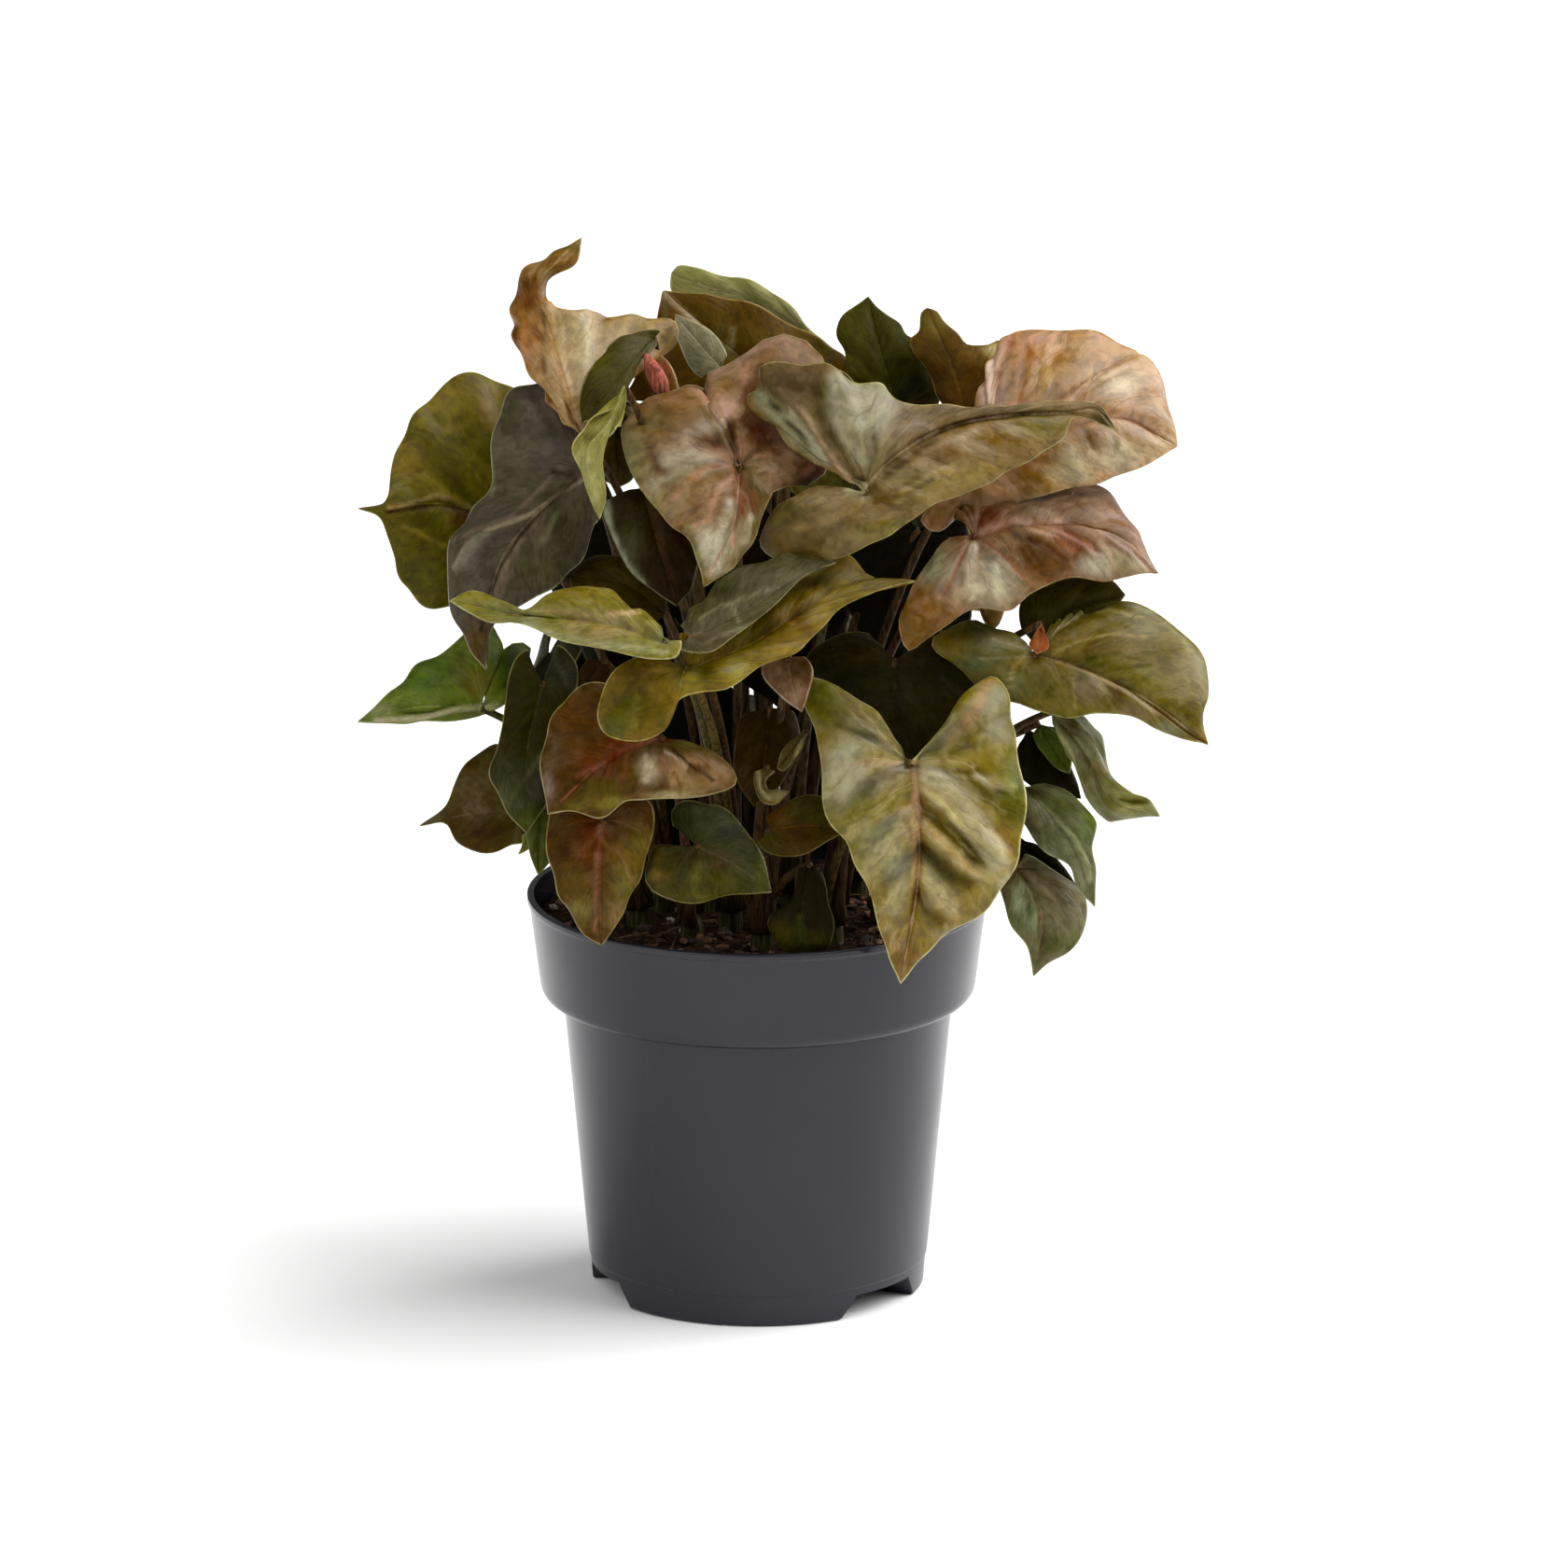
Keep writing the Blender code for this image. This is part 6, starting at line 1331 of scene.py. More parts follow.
@dataclass(frozen=True)
class BladeFinish(Finish):
    """Leaf skin: a waxy semi-gloss, with a grain of cells, brushed streaks along the veins and dark flecks.

    Its colours and the layout of its veins come with each blade.
    """

    roughness: float = 0.33
    roughness_swing: float = 0.14
    saturation: float = 1.12
    saturation_swing: float = 0.12
    hues: tuple[float, float] = (0.493, 0.508)
    glaze: str = "#fff8dc"
    value: float = 0.65
    contrast: float = 0.33
    gloss: Range = (0.03, 0.40, 0.04, 0.6)
    wander_mm: float = 7.0
    wander: float = 0.36
    vein_width: float = 0.3
    vein_taper: float = 0.62
    vein_side: Range = (0.15, 1.0, 1.0, 0.0)
    vein_end: Range = (0.78, 1.0, 1.0, 0.0)
    vein_room: Range = (0.7, 2.0, 0.0, 1.0)
    rib_width: float = 0.5
    rib_core: float = 0.1
    rib_room: Range = (1.0, 4.0, 0.0, 1.0)
    rib_strength: float = 0.8
    edge_width: float = 0.5
    edge_core: float = 0.15
    warp_mm: float = 9.0
    warp: Triple = (0.9, 0.5, 0.9)
    grain_along: float = 1.7
    grain_across: float = 1.2
    grain_drift: float = 40.0
    halo: Range = (0.4, 3.2, 0.10, 0.0)
    streak_middle: float = 0.07
    streak_inward: float = 0.20
    streak_side: Range = (0.46, 0.62, 0.0, 1.0)
    brush_scale: Triple = (4.4, 4.0, 2.6)
    brush_share: float = 0.6
    brushed: tuple[float, float] = (0.36, 0.64)
    mottle_mm: float = 3.4
    cloud_mm: float = 16.0
    broken: Range = (0.35, 0.6, 0.35, 1.0)
    # The darkening midway between veins is partly painted shade of the quilting
    vein_gap_shade_and_tone: Range = (0.14, 0.46, 0.0, 1.0)
    vein_gap_shade_end: Range = (0.25, 0.95, 1.0, 0.1)
    vein_gap_shade_cloud: Range = (0.4, 0.6, 0.2, 1.0)
    fleck: Range = (0.55, 0.66, 0.0, 0.3)
    fleck_end: Range = (0.2, 0.95, 1.0, 0.15)
    cell_mm: float = 0.9
    cell_relief: float = 0.05
    brush_relief: float = 0.25
    vein_relief: float = -0.12
    rib_relief: float = 1.4
    relief: float = 0.8

    def surface(self, add: Adder, place: bpy.types.NodeSocket) -> dict[str, Term]:
        """Add the nodes of the surface.

        Args:
            add: What adds a node to the material.
            place: Places on the piece in metres.

        Returns:
            What each input of the shader takes.
        """
        lamina, streak, vein, edge, layout, half_width = (
            add("Attribute", {"attribute_name": name}, {})
            for name in ("lamina", "streak", "vein", "edge", "layout", "half_width"))
        number, across, spacing = add("SeparateXYZ", {}, (layout["Vector"],))
        width = half_width["Fac"]
        share = add("Math", SIZE, (across,))[0]
        mottle, cloud, cells, wandering = (
            add("TexNoise", {}, {"Vector": place, "Scale": 1 / (size * MM), "Detail": detail, "Distortion": swirl})
            for size, detail, swirl in ((self.mottle_mm, 4.0, 0.6), (self.cloud_mm, 2.0, 0.0),
                                        (self.cell_mm, 2.0, 0.0), (self.wander_mm, 2.0, 0.0)))
        mottle, cloud, cells = mottle["Fac"], cloud["Fac"], cells["Fac"]

        # Veins, rib and edge
        shift = add("Math", TIMES_PLUS, (wandering["Fac"], self.wander, -self.wander / 2))[0]
        line = add("Math", PLUS, (number, shift))[0]
        off_line = add("Math", {"operation": "FRACT"}, (line,))[0]
        off_line = add("Math", SIZE, (add("Math", MINUS, (off_line, 0.5))[0],))[0]
        off_line = add("Math", TIMES, (add("Math", MINUS, (0.5, off_line))[0], spacing))[0]
        reach = add("Math", TIMES_PLUS, (share, -self.vein_taper * self.vein_width, self.vein_width))[0]
        on_vein = add("MapRange", SMOOTH, (add("Math", OVER, (off_line, reach))[0], *self.vein_side))[0]
        for term, span in ((share, self.vein_end), (spacing, self.vein_room)):
            on_vein = add("Math", TIMES, (on_vein, add("MapRange", SMOOTH, (term, *span))[0]))[0]
        off_rib = add("Math", TIMES, (share, width))[0]
        on_rib = add("MapRange", SMOOTH, (off_rib, self.rib_core, self.rib_width, 1.0, 0.0))[0]
        on_rib = add("Math", TIMES, (on_rib, add("MapRange", SMOOTH, (width, *self.rib_room))[0]))[0]
        off_edge = add("Math", TIMES, (add("Math", MINUS, (1.0, share))[0], width))[0]
        on_edge = add("MapRange", SMOOTH, (off_edge, self.edge_core, self.edge_width, 1.0, 0.0))[0]

        # Streaks and brushed grain, which run with the veins
        x, _, z = add("SeparateXYZ", {}, (place,))
        warp = add("TexNoise", {}, {"Vector": place, "Scale": 1 / (self.warp_mm * MM), "Detail": 2.0})["Color"]
        course = add("CombineXYZ", {}, (
            add("Math", TIMES, (line, self.grain_along))[0], add("Math", TIMES, (across, self.grain_across))[0],
            add("Math", TIMES, (add("Math", PLUS, (x, z))[0], self.grain_drift))[0]))[0]
        bent = add("VectorMath", TIMES_PLUS, (warp, self.warp, course))[0]
        grain = add("TexNoise", {}, {"Vector": bent, "Scale": 1.0, "Detail": 3.0, "Roughness": 0.55})["Fac"]
        fine = add("Mapping", {}, {"Vector": bent, "Scale": self.brush_scale})[0]
        brush = add("TexNoise", {}, {"Vector": fine, "Scale": 1.0, "Detail": 5.0, "Roughness": 0.58})["Fac"]
        inner = add("Math", TIMES_PLUS, (share, -self.streak_inward, self.streak_middle))[0]
        halo = add("Math", PLUS, (add("MapRange", SMOOTH, (off_line, *self.halo))[0], inner))[0]
        on_streak = add("MapRange", SMOOTH, (add("Math", PLUS, (grain, halo))[0], *self.streak_side))[0]

        # Colour, from the lamina up to the edge, whose pale line is partly painted highlight
        broken = add("MapRange", SMOOTH, (mottle, *self.broken))[0]
        on_vein_seen = add("Math", TIMES, (add("Math", TIMES, (on_vein, broken))[0], vein["Alpha"]))[0]
        on_rib_seen = add("Math", TIMES, (on_rib, add("Math", TIMES, (broken, self.rib_strength))[0]))[0]
        colour = lamina["Color"]
        for amount, over in ((add("Math", TIMES, (on_streak, streak["Alpha"]))[0], streak), (on_vein_seen, vein),
                             (on_rib_seen, vein), (on_edge, edge)):
            colour = add("Mix", COLOURS, {SHARE: amount, FIRST: colour, SECOND: over["Color"]})[MIXED]

        # Darker midway between the veins and towards the rib, partly the lamina's own tone and partly painted shade
        # of the quilting; and dark flecks
        vein_gap_shade_and_tone = add("MapRange", SMOOTH, (add("Math", OVER, (off_line, spacing))[0], *self.vein_gap_shade_and_tone))[0]
        for term, span in ((share, self.vein_gap_shade_end), (cloud, self.vein_gap_shade_cloud)):
            vein_gap_shade_and_tone = add("Math", TIMES, (vein_gap_shade_and_tone, add("MapRange", SMOOTH, (term, *span))[0]))[0]
        vein_gap_shade_and_tone = add("Math", TIMES, (vein_gap_shade_and_tone, vein["Alpha"]))[0]
        brushed = add("Math", PLUS, (add("Math", TIMES, (brush, self.brush_share))[0],
                                     add("Math", TIMES, (mottle, 1 - self.brush_share))[0]))[0]
        value = add("MapRange", SMOOTH, (brushed, *self.brushed, 1 - self.contrast, 1 + self.contrast))[0]
        value = add("Math", TIMES, (value, add("Math", TIMES_PLUS, (vein_gap_shade_and_tone, -self.value, self.value))[0]))[0]
        fleck = add("Math", TIMES, (add("MapRange", SMOOTH, (brush, *self.fleck))[0],
                                    add("MapRange", SMOOTH, (share, *self.fleck_end))[0]))[0]
        value = add("Math", TIMES, (value, add("Math", MINUS, (1.0, fleck))[0]))[0]

        swing = (self.saturation * (1 + self.saturation_swing), self.saturation * (1 - self.saturation_swing))
        toned = add("HueSaturation", {}, {
            "Color": colour, "Value": value, "Hue": add("MapRange", SMOOTH, (cloud, *NOISE, *self.hues))[0],
            "Saturation": add("MapRange", SMOOTH, (mottle, *NOISE, *swing))[0]})[0]
        glazed = add("Mix", COLOURS | {"blend_type": "MULTIPLY"},
                     {SHARE: 1.0, FIRST: toned, SECOND: linear(self.glaze)})[MIXED]
        height = add("Math", TIMES, (on_vein, self.vein_relief))[0]
        for term, depth in ((on_rib, self.rib_relief * self.vein_relief), (cells, self.cell_relief),
                            (brush, self.brush_relief)):
            height = add("Math", TIMES_PLUS, (term, depth, height))[0]
        rough = (self.roughness, self.roughness + self.roughness_swing)
        return {
            "Base Color": glazed,
            "Roughness": add("MapRange", SMOOTH, (mottle, *NOISE, *rough))[0],
            "Specular IOR Level": add("MapRange", SMOOTH, (add("RGBToBW", {}, (colour,))[0], *self.gloss))[0],
            "Normal": add("Bump", {}, {"Strength": self.relief, "Distance": MM, "Height": height})[0],
        }


@dataclass(frozen=True)
class StalkFinish(Finish):
    """Petiole skin: smooth and waxy, its colour from each petiole, with a dark foot and fine streaks."""

    name: str = "petiole_skin"
    foot: str = "#4a3420"
    foot_reach: Range = (0.0, 0.35, 0.7, 0.0)
    streak_mm: float = 0.8
    stretch: Triple = (1.0, 1.0, 0.12)
    shade: Range = (0.38, 0.62, 0.3, 0.85)

    def surface(self, add: Adder, place: bpy.types.NodeSocket) -> dict[str, Term]:
        """Add the nodes of the surface.

        Args:
            add: What adds a node to the material.
            place: Places on the piece in metres.

        Returns:
            What each input of the shader takes.
        """
        lamina = add("Attribute", {"attribute_name": "lamina"}, {})["Color"]
        rise = add("Attribute", {"attribute_name": "rise"}, {})["Fac"]
        low = add("MapRange", SMOOTH, (rise, *self.foot_reach))[0]
        colour = add("Mix", COLOURS, {SHARE: low, FIRST: lamina, SECOND: linear(self.foot)})[MIXED]
        squeezed = add("Mapping", {}, {"Vector": place, "Scale": self.stretch})[0]
        streaks = add("TexNoise", {}, {"Vector": squeezed, "Scale": 1 / (self.streak_mm * MM), "Detail": 3.0})["Fac"]
        shade = add("MapRange", SMOOTH, (streaks, *self.shade))[0]
        return {
            "Base Color": add("HueSaturation", {}, {"Color": colour, "Value": shade})[0],
            "Roughness": 0.42,
            "Specular IOR Level": 0.06,
            "Normal": add("Bump", {}, {"Strength": 0.5, "Distance": 0.2 * MM, "Height": streaks})[0],
        }


@dataclass(frozen=True)
class PotFinish(Finish):
    """Moulded polypropylene: dark grey with a satin skin, its grain just visible in the gloss."""

    name: str = "moulded_polypropylene_dark_grey"
    colour: str = "#1b1b24"
    worn: str = "#21212a"
    wear: Range = (0.35, 0.75, 0.0, 0.5)
    roughness: tuple[float, float] = (0.19, 0.27)
    grain_mm: float = 0.5
    cloud_mm: float = 28.0

    def surface(self, add: Adder, place: bpy.types.NodeSocket) -> dict[str, Term]:
        """Add the nodes of the surface.

        Args:
            add: What adds a node to the material.
            place: Places on the piece in metres.

        Returns:
            What each input of the shader takes.
        """
        cloud = add("TexNoise", {}, {"Vector": place, "Scale": 1 / (self.cloud_mm * MM), "Detail": 4.0})["Fac"]
        grain = add("TexNoise", {}, {"Vector": place, "Scale": 1 / (self.grain_mm * MM), "Detail": 2.0})["Fac"]
        wear = add("MapRange", SMOOTH, (cloud, *self.wear))[0]
        return {
            "Base Color": add("Mix", COLOURS, {SHARE: wear, FIRST: linear(self.colour),
                                               SECOND: linear(self.worn)})[MIXED],
            "Roughness": add("MapRange", SMOOTH, (cloud, *NOISE, *self.roughness))[0],
            "Specular IOR Level": 0.4,
            "Normal": add("Bump", {}, {"Strength": 0.35, "Distance": 0.06 * MM, "Height": grain})[0],
        }


@dataclass(frozen=True)
class MixFinish(Finish):
    """Potting mix: dry dark peat, matt and crumbly, lighter where it stands up."""

    name: str = "peat_potting_mix"
    dark: str = "#170d06"
    light: str = "#4a2f1a"
    lighter: Range = (0.42, 0.68, 0.0, 1.0)
    crumb_mm: float = 1.6

    def surface(self, add: Adder, place: bpy.types.NodeSocket) -> dict[str, Term]:
        """Add the nodes of the surface.

        Args:
            add: What adds a node to the material.
            place: Places on the piece in metres.

        Returns:
            What each input of the shader takes.
        """
        crumb = add("TexNoise", {}, {"Vector": place, "Scale": 1 / (self.crumb_mm * MM), "Detail": 5.0,
                                     "Roughness": 0.65})["Fac"]
        share = add("MapRange", SMOOTH, (crumb, *self.lighter))[0]
        return {
            "Base Color": add("Mix", COLOURS, {SHARE: share, FIRST: linear(self.dark),
                                               SECOND: linear(self.light)})[MIXED],
            "Roughness": 0.95,
            "Specular IOR Level": 0.1,
            "Normal": add("Bump", {}, {"Strength": 1.0, "Distance": 0.8 * MM, "Height": crumb})[0],
        }


@dataclass(frozen=True)
class BitFinish(Finish):
    """Bark, fibre and perlite in the potting mix: matt and dusty, each bit of its own colour."""

    name: str = "bark_and_perlite"
    grain_mm: float = 0.7
    shade: tuple[float, float] = (0.6, 1.25)

    def surface(self, add: Adder, place: bpy.types.NodeSocket) -> dict[str, Term]:
        """Add the nodes of the surface.

        Args:
            add: What adds a node to the material.
            place: Places on the piece in metres.

        Returns:
            What each input of the shader takes.
        """
        colour = add("Attribute", {"attribute_name": "lamina"}, {})["Color"]
        grain = add("TexNoise", {}, {"Vector": place, "Scale": 1 / (self.grain_mm * MM), "Detail": 3.0})["Fac"]
        shade = add("MapRange", SMOOTH, (grain, *NOISE, *self.shade))[0]
        return {
            "Base Color": add("HueSaturation", {}, {"Color": colour, "Value": shade})[0],
            "Roughness": 0.9,
            "Normal": add("Bump", {}, {"Strength": 0.8, "Distance": 0.3 * MM, "Height": grain})[0],
        }


@dataclass(frozen=True)
class PaperFinish(Finish):
    """Matt white paper."""

    name: str = "white_paper_sweep"
    colour: str = "#f7f7f7"

    def surface(self, add: Adder, place: bpy.types.NodeSocket) -> dict[str, Term]:
        """Give the plain surface."""
        return {"Base Color": linear(self.colour), "Roughness": 0.9, "Specular IOR Level": 0.1}


def spun(line: list[tuple[float, float]], steps: int, weld: float) -> bmesh.types.BMesh:
    """Turn a line about the pot's axis.

    Args:
        line: Radius and height of its points.
        steps: Steps of the full turn.
        weld: Distance within which points are joined.

    Returns:
        The closed mesh, with its faces outwards.
    """
    work = bmesh.new()
    verts = [work.verts.new((radius, 0.0, height)) for radius, height in line]
    edges = [work.edges.new(pair) for pair in zip(verts, verts[1:])]
    bmesh.ops.spin(work, geom=verts + edges, **AXIS, angle=math.tau, steps=steps, use_merge=True,
                   use_duplicate=False)
    bmesh.ops.remove_doubles(work, verts=work.verts, dist=weld)
    bmesh.ops.recalc_face_normals(work, faces=work.faces)
    return work


# What the upright edges of a pocket's corners have: radians between their faces, and share of its height
SHARP_ANGLE = 1.0
UPRIGHT_SHARE = 0.9


@dataclass
class NurseryPot:
    """The moulded pot: a tapered body, a wide band with a thin lip, and three drain pockets."""

    rim_radius: float = 0.060
    band_foot_radius: float = 0.0562
    band_height: float = 0.027
    band_rounding: float = 0.0035
    body_top_radius: float = 0.0507
    base_radius: float = 0.0433
    wall: float = 0.0012
    lip_depth: float = 0.0016
    lip_stand: float = 0.0006
    foot_step_height: float = 0.0085
    foot_step: float = 0.00035
    pocket_angles: tuple[float, ...] = (-40.0, 80.0, 200.0)
    pocket_spread: float = 28.0
    pocket_flare: float = 6.0
    pocket_height: float = 0.0062
    pocket_inner_radius: float = 0.030
    pocket_wall_spread: float = 3.2
    pocket_rounding: float = 0.0008
    pocket_steps: int = 12
    hole_radius: float = 0.0035
    hole_sides: int = 24
    steps: int = 192
    rounding_steps: int = 5
    sharp_from: float = 32.0

    def body_radius(self, height: float) -> float:
        """Give the outer radius of the body below the band."""
        share = height / (POT_HEIGHT - self.band_height)
        return self.base_radius + (self.body_top_radius - self.base_radius) * share

    def rounded(self, corner: np.ndarray, before: np.ndarray, after: np.ndarray,
                radius: float) -> list[tuple[float, float]]:
        """Round a corner of the section.

        Args:
            corner: The corner, as radius and height.
            before: The point before it.
            after: The point after it.
            radius: Distance along each side at which the rounding starts.

        Returns:
            Points of the rounding.
        """
        start = corner + (before - corner) / np.linalg.norm(before - corner) * radius
        end = corner + (after - corner) / np.linalg.norm(after - corner) * radius
        shares = np.linspace(0, 1, self.rounding_steps + 1)
        return [tuple((1 - t)**2 * start + 2 * t * (1 - t) * corner + t**2 * end) for t in shares]

    def section(self) -> list[tuple[float, float]]:
        """Lay out the pot's section: up the inside, over the lip, down the outside.

        Returns:
            Radius and height of its points.
        """
        ledge, top, step = POT_HEIGHT - self.band_height, POT_HEIGHT, self.foot_step
        # Radius, height and rounding of each corner
        corners = np.array([
            (0.0, self.wall, 0.0),
            (self.body_radius(self.wall) - self.wall, self.wall, 0.0015),
            (self.body_top_radius - self.wall, ledge, 0.001),
            (self.band_foot_radius - self.wall, ledge + self.band_rounding + self.wall, 0.001),
            (self.rim_radius - self.wall - self.lip_stand, top, 0.0003),
            (self.rim_radius, top, 0.0005),
            (self.rim_radius, top - self.lip_depth, 0.0003),
            (self.rim_radius - self.lip_stand, top - self.lip_depth - self.lip_stand, 0.0002),
            (self.band_foot_radius, ledge, self.band_rounding),
            (self.body_top_radius, ledge, 0.0009),
            (self.body_radius(self.foot_step_height), self.foot_step_height, 0.00015),
            (self.body_radius(self.foot_step_height) - step, self.foot_step_height - step, 0.00015),
            (self.base_radius - step / 2, 0.0, 0.0011),
            (0.0, 0.0, 0.0),
        ])
        places, roundings = corners[:, :2], corners[:, 2]
        line = [tuple(places[0])]
        for index in range(1, len(corners) - 1):
            line += self.rounded(places[index], places[index - 1], places[index + 1], roundings[index])
        return line + [tuple(places[-1])]

    def wedge(self, name: str, inner: float, outer: float, low: float, high: float, middle: float,
              spread: float) -> bpy.types.Object:
        """Make a ring segment to cut or to add with.

        Args:
            name: Name of the object.
            inner: Inner radius.
            outer: Outer radius.
            low: Lower height.
            high: Upper height.
            middle: Heading of its middle in degrees.
            spread: Its spread in degrees.

        Returns:
            The object.
        """
        work = bmesh.new()
        start = math.radians(middle - spread / 2)
        corners = [(inner, low), (outer, low), (outer, high), (inner, high)]
        verts = [work.verts.new((r * math.cos(start), r * math.sin(start), z)) for r, z in corners]
        bmesh.ops.spin(work, geom=[work.faces.new(verts)], **AXIS, angle=math.radians(spread),
                       steps=self.pocket_steps, use_duplicate=False)
        for vert in work.verts:
            ahead = (math.atan2(vert.co.y, vert.co.x) - math.radians(middle) + math.pi) % math.tau - math.pi
            flare = math.radians(self.pocket_flare) * (high - vert.co.z) / self.pocket_height
            vert.co = Matrix.Rotation(ahead / math.radians(spread / 2) * flare, 3, "Z") @ vert.co
        bmesh.ops.triangulate(work, faces=work.faces)
        bmesh.ops.recalc_face_normals(work, faces=work.faces)
        upright = [edge for edge in work.edges if edge.calc_face_angle(0.0) > SHARP_ANGLE
                   and abs(edge.verts[0].co.z - edge.verts[1].co.z) > UPRIGHT_SHARE * (high - low)]
        bmesh.ops.bevel(work, geom=upright, offset=self.pocket_rounding, segments=3, profile=0.5,
                        affect="EDGES", material=-1)
        return new_object(name, work, [])

    def make(self, finish: bpy.types.Material) -> bpy.types.Object:
        """Turn the section and cut the drain pockets.

        Args:
            finish: The pot's finish.

        Returns:
            The pot.
        """
        pot = new_object("pot_moulded", spun(self.section(), self.steps, WELD / 2), [finish])
        others = []
        middle = (self.pocket_inner_radius + self.base_radius) / 2
        for number, angle in enumerate(self.pocket_angles, start=1):
            roof = self.wedge(f"roof_{number}", self.pocket_inner_radius - self.wall,
                              self.base_radius - self.wall / 2, self.wall / 2, self.pocket_height + self.wall,
                              angle, self.pocket_spread + self.pocket_wall_spread)
            notch = self.wedge(f"notch_{number}", self.pocket_inner_radius, self.base_radius + 2 * self.wall,
                               -self.wall, self.pocket_height, angle, self.pocket_spread)
            work = bmesh.new()
            made = bmesh.ops.create_cone(work, cap_ends=True, segments=self.hole_sides, radius1=self.hole_radius,
                                         radius2=self.hole_radius, depth=4 * self.wall)
            heading = math.radians(angle)
            bmesh.ops.translate(work, verts=made["verts"], vec=(
                middle * math.cos(heading), middle * math.sin(heading), self.pocket_height + self.wall / 2))
            hole = new_object(f"drain_{number}", work, [])
            others += [(roof, Join.ADD), (notch, Join.CUT), (hole, Join.CUT)]
        return self.joined(pot, others)

    def joined(self, piece: bpy.types.Object, others: list[tuple[bpy.types.Object, Join]]) -> bpy.types.Object:
        """Join or cut a piece with others, keep the result as its mesh and remove the others.

        Args:
            piece: The piece.
            others: Objects with how each joins it.

        Returns:
            The piece.
        """
        for other, join in others:
            step = piece.modifiers.new(other.name, "BOOLEAN")
            step.operation = join.value
            step.object = other
        shaped = bpy.data.meshes.new_from_object(piece.evaluated_get(bpy.context.evaluated_depsgraph_get()))
        piece.modifiers.clear()
        piece.data = shaped
        for other, _ in others:
            bpy.data.objects.remove(other, do_unlink=True)
        shaped.shade_smooth()
        shaped.set_sharp_from_angle(angle=math.radians(self.sharp_from))
        return piece


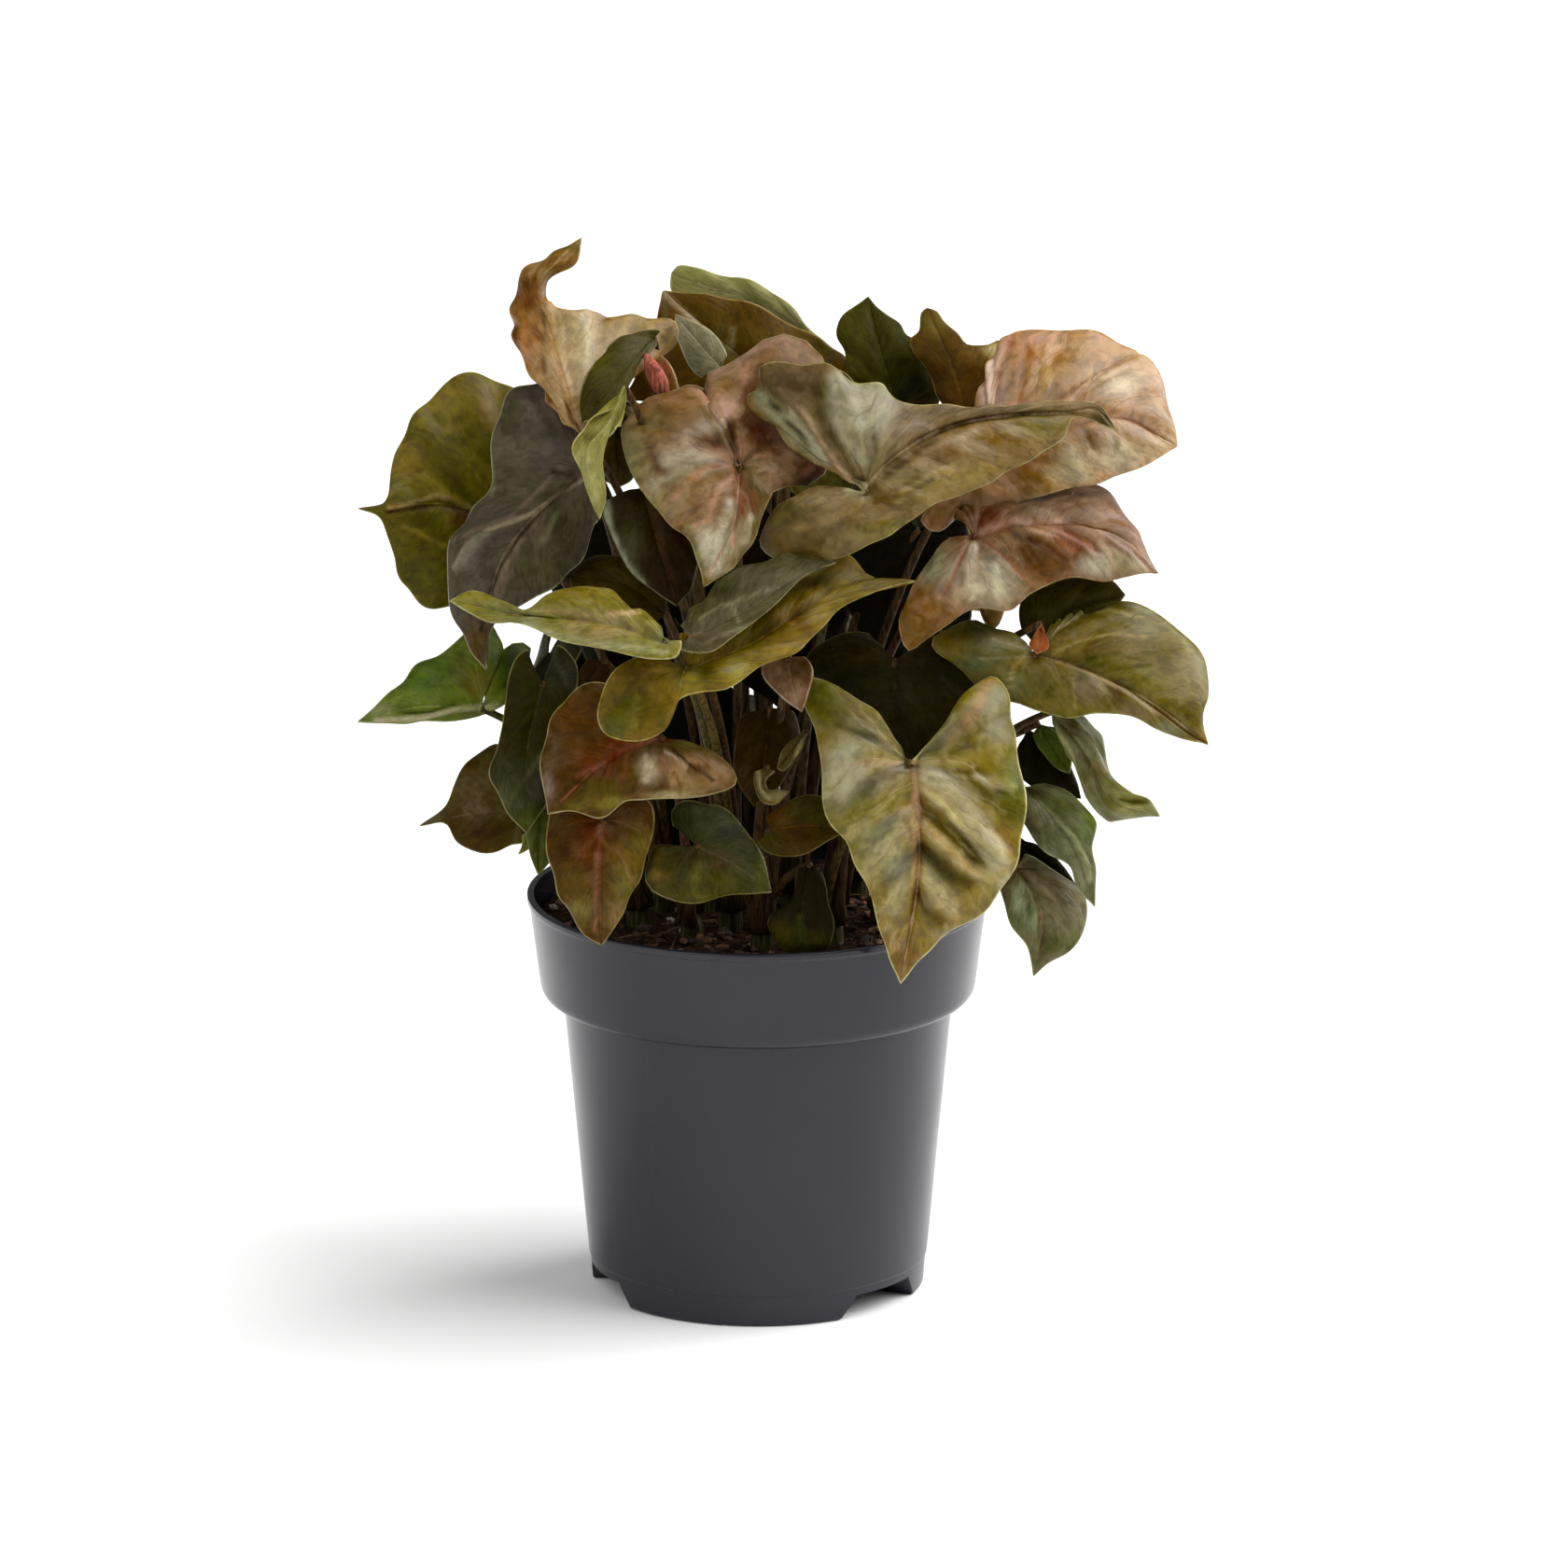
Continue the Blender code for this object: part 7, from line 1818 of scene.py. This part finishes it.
@dataclass
class PottingMix:
    """The soil: a crumbly top that shows between the stems, with bark, fibres and perlite on it."""

    pot: NurseryPot
    clearance: float = 0.0003
    foot: float = 0.0077
    rings: int = 46
    steps: int = 150
    lump: float = 0.00084
    lump_length: float = 0.012
    crumb: float = 0.0011
    crumb_length: float = 0.0042
    crumb_fractal: tuple[float, float, int] = (0.9, 2.1, 4)
    bits: int = 420
    fibres: int = 90
    reach: float = 0.0545
    free_middle: float = 0.02
    seed: int = 11
    barks: tuple[str, ...] = ("#5a3c26", "#3b281a", "#6e4b30", "#2b1d14", "#7d5c3d", "#47301f")
    perlite: str = "#b9b2a2"
    perlite_share: float = 0.05
    bit_size: tuple[float, float] = (0.0006, 0.0019)
    bit_shape: tuple[tuple[float, float], ...] = ((0.8, 1.8), (0.6, 1.1), (0.35, 0.8))
    bit_tilt: float = 0.4
    fibre_radius: tuple[float, float] = (0.00022, 0.00045)
    fibre_reach: tuple[float, float] = (0.002, 0.006)
    fibre_tilt: float = 0.3
    fibre_sides: int = 5
    knocks: tuple[float, float] = (0.8, 1.15)
    stand: float = 0.4

    def top(self, x: float, y: float) -> float:
        """Give the height of the soil's top.

        Args:
            x: Metres to the right of the pot's axis.
            y: Metres behind it.

        Returns:
            The height there.
        """
        lumps = math.sin(x / self.lump_length) * math.cos(y / self.lump_length) * self.lump
        crumbs = noise.fractal(Vector((x, y, 0.0)) / self.crumb_length, *self.crumb_fractal)
        return SOIL_LEVEL + lumps + self.crumb * crumbs

    def make_bed(self, finish: bpy.types.Material) -> bpy.types.Object:
        """Make the bed of soil that fills the pot.

        Args:
            finish: Its finish.

        Returns:
            The piece.
        """
        pot = self.pot
        slack = pot.wall + self.clearance
        ledge = POT_HEIGHT - pot.band_height
        corner = ledge + pot.band_rounding + pot.wall
        slope = (pot.rim_radius - pot.band_foot_radius - pot.lip_stand) / (POT_HEIGHT - corner)
        edge = pot.band_foot_radius - slack + slope * (SOIL_LEVEL - corner) - self.clearance
        line = [(edge * (ring / self.rings), SOIL_LEVEL) for ring in range(self.rings + 1)]
        line += [(pot.band_foot_radius - slack - self.clearance, corner + self.clearance),
                 (pot.body_top_radius - slack, ledge), (pot.body_radius(self.foot) - slack, self.foot),
                 (0.0, self.foot)]
        work = spun(line, self.steps, WELD)
        for vertex in work.verts:
            x, y, z = vertex.co
            if z > SOIL_LEVEL - self.clearance and math.hypot(x, y) < edge - self.clearance:
                vertex.co.z = self.top(x, y)
        for face in work.faces:
            face.smooth = True
        return new_object("soil_bed", work, [finish])

    def make_bits(self, finish: bpy.types.Material) -> bpy.types.Object:
        """Strew bark, fibres and perlite over the soil.

        Args:
            finish: Their finish.

        Returns:
            The piece.
        """
        rng = np.random.default_rng(self.seed)
        work = bmesh.new()
        tint = work.verts.layers.float_color.new("lamina")
        for number in range(self.bits + self.fibres):
            radius = self.reach * math.sqrt(rng.uniform(self.free_middle, 1.0))
            turn = rng.uniform(0, math.tau)
            x, y = radius * math.cos(turn), radius * math.sin(turn)
            colour = self.barks[int(rng.integers(len(self.barks)))]
            if number < self.bits:
                made = bmesh.ops.create_icosphere(work, subdivisions=1, radius=1.0)["verts"]
                size = rng.uniform(*self.bit_size)
                shape = [size * rng.uniform(*span) for span in self.bit_shape]
                if rng.uniform() < self.perlite_share:
                    colour = self.perlite
                tilt = rng.uniform(-self.bit_tilt, self.bit_tilt)
            else:
                made = bmesh.ops.create_cone(work, cap_ends=True, segments=self.fibre_sides, radius1=1.0,
                                             radius2=0.5, depth=2.0)["verts"]
                shape = [rng.uniform(*span) for span in (self.fibre_radius, self.fibre_radius, self.fibre_reach)]
                tilt = math.pi / 2 + rng.uniform(-self.fibre_tilt, self.fibre_tilt)
            spin = rng.uniform(0, math.tau)
            for vertex in made:
                vertex.co = Vector(a * b for a, b in zip(vertex.co, shape)) * float(rng.uniform(*self.knocks))
                vertex[tint] = linear(colour)
            bmesh.ops.rotate(work, verts=made, cent=(0, 0, 0), matrix=Euler((0, tilt, spin)).to_matrix())
            bmesh.ops.translate(work, verts=made, vec=(x, y, self.top(x, y) + self.stand * min(shape)))
        bmesh.ops.recalc_face_normals(work, faces=work.faces)
        return new_object("soil_bits", work, [finish])


@dataclass(frozen=True)
class Sun:
    """A broad far light: heading and height in degrees, strength, and how wide it looks in degrees."""

    name: str
    heading: float
    height: float
    strength: float
    softness: float

    def shine(self) -> None:
        """Add the light to the set."""
        data = bpy.data.lights.new(self.name, "SUN")
        data.energy = self.strength
        data.angle = math.radians(self.softness)
        around, above = math.radians(self.heading), math.radians(self.height)
        towards = Vector((math.cos(around) * math.cos(above), math.sin(around) * math.cos(above), math.sin(above)))
        light = bpy.data.objects.new(self.name, data)
        light.rotation_euler = (-towards).to_track_quat("-Z", "Y").to_euler()
        bpy.context.scene.collection.objects.link(light)


@dataclass
class Studio:
    """A white sweep, one big soft key from the right, and the camera of the photograph."""

    suns: tuple[Sun, ...] = (Sun("key", 2.0, 52.0, 3.9, 68.0), Sun("fill", 215.0, 38.0, 1.1, 60.0),
                             Sun("side", 32.0, 14.0, 1.2, 26.0))
    sky: Range = (0.0, 1.0, 0.10, 0.42)
    sky_colour: Colour = (1.0, 0.993, 0.98, 1.0)
    floor_reach: float = 9.0
    sensor: float = 36.0
    lens: float = 353.6
    aim_across: float = 0.0068
    aim_rise: float = 0.0279

    def place_camera(self) -> None:
        """Set the camera where the photograph was taken from."""
        rim = Vector(RIM)
        up = Vector((0, math.sin(VIEW_TILT), math.cos(VIEW_TILT)))
        stand = rim + VIEW_DISTANCE * Vector((0, -math.cos(VIEW_TILT), math.sin(VIEW_TILT)))
        aim = rim + Vector((self.aim_across, 0, 0)) + self.aim_rise * up
        data = bpy.data.cameras.new("camera")
        data.sensor_width = self.sensor
        data.lens = self.lens
        data.clip_start = 0.1
        data.clip_end = 50.0
        camera = bpy.data.objects.new("camera", data)
        camera.location = stand
        camera.rotation_euler = (aim - stand).to_track_quat("-Z", "Y").to_euler()
        bpy.context.scene.collection.objects.link(camera)
        bpy.context.scene.camera = camera

    def add_sky(self) -> None:
        """Light the set evenly from above and less from the sides, behind a white backdrop."""
        world = bpy.data.worlds.new("studio")
        world.use_nodes = True
        add = partial(add_node, world.node_tree)
        height = add("SeparateXYZ", {}, (add("TexCoord", {}, {})["Generated"],))[2]
        shine = add("MapRange", SMOOTH, (height, *self.sky))[0]
        seen = add("LightPath", {}, {})["Is Camera Ray"]
        feed(world.node_tree.nodes["Background"], {
            "Color": self.sky_colour, "Strength": add("Math", MOST, (shine, seen))[0]})
        bpy.context.scene.world = world

    def build(self) -> None:
        """Lay the floor, light the set and place the camera."""
        work = bmesh.new()
        bmesh.ops.create_grid(work, x_segments=8, y_segments=8, size=self.floor_reach)
        new_object("paper_floor", work, [PaperFinish().material()])
        self.add_sky()
        bpy.context.scene.view_settings.view_transform = "Standard"
        for sun in self.suns:
            sun.shine()
        self.place_camera()


def ride(piece: bpy.types.Object, node: str) -> None:
    """Tie a piece to the plant's one body and report it.

    Args:
        piece: The piece.
        node: The node it stands for.
    """
    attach(piece, "root")
    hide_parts(node)
    log.info("%s: %d faces", piece.name, len(piece.data.polygons))


def main() -> None:
    """Build the pot, the soil, the plantlets and the studio."""
    logging.basicConfig(level=logging.INFO, format="%(message)s")
    pot = NurseryPot()
    ride(pot.make(PotFinish().material()), "pot")
    soil = PottingMix(pot)
    ride(soil.make_bed(MixFinish().material()), "soil")
    ride(soil.make_bits(BitFinish().material()), "soil")
    upper = BladeFinish("syngonium_blade_waxy_upper").material()
    under = BladeFinish("syngonium_blade_matt_underside", roughness=0.52, saturation=0.95, value=0.7,
                        vein_relief=0.12).material()
    stalk = StalkFinish().material()
    foliage = Foliage()
    for plantlet in PLANTLETS:
        names = [name for name, leaf in LEAVES.items() if leaf.plantlet == plantlet]
        ride(foliage.blades_of(plantlet, names, upper, under), f"plantlet_{plantlet}")
        ride(foliage.stalks_of(plantlet, names, stalk), f"plantlet_{plantlet}")
    Studio().build()


if __name__ == "__main__":
    main()
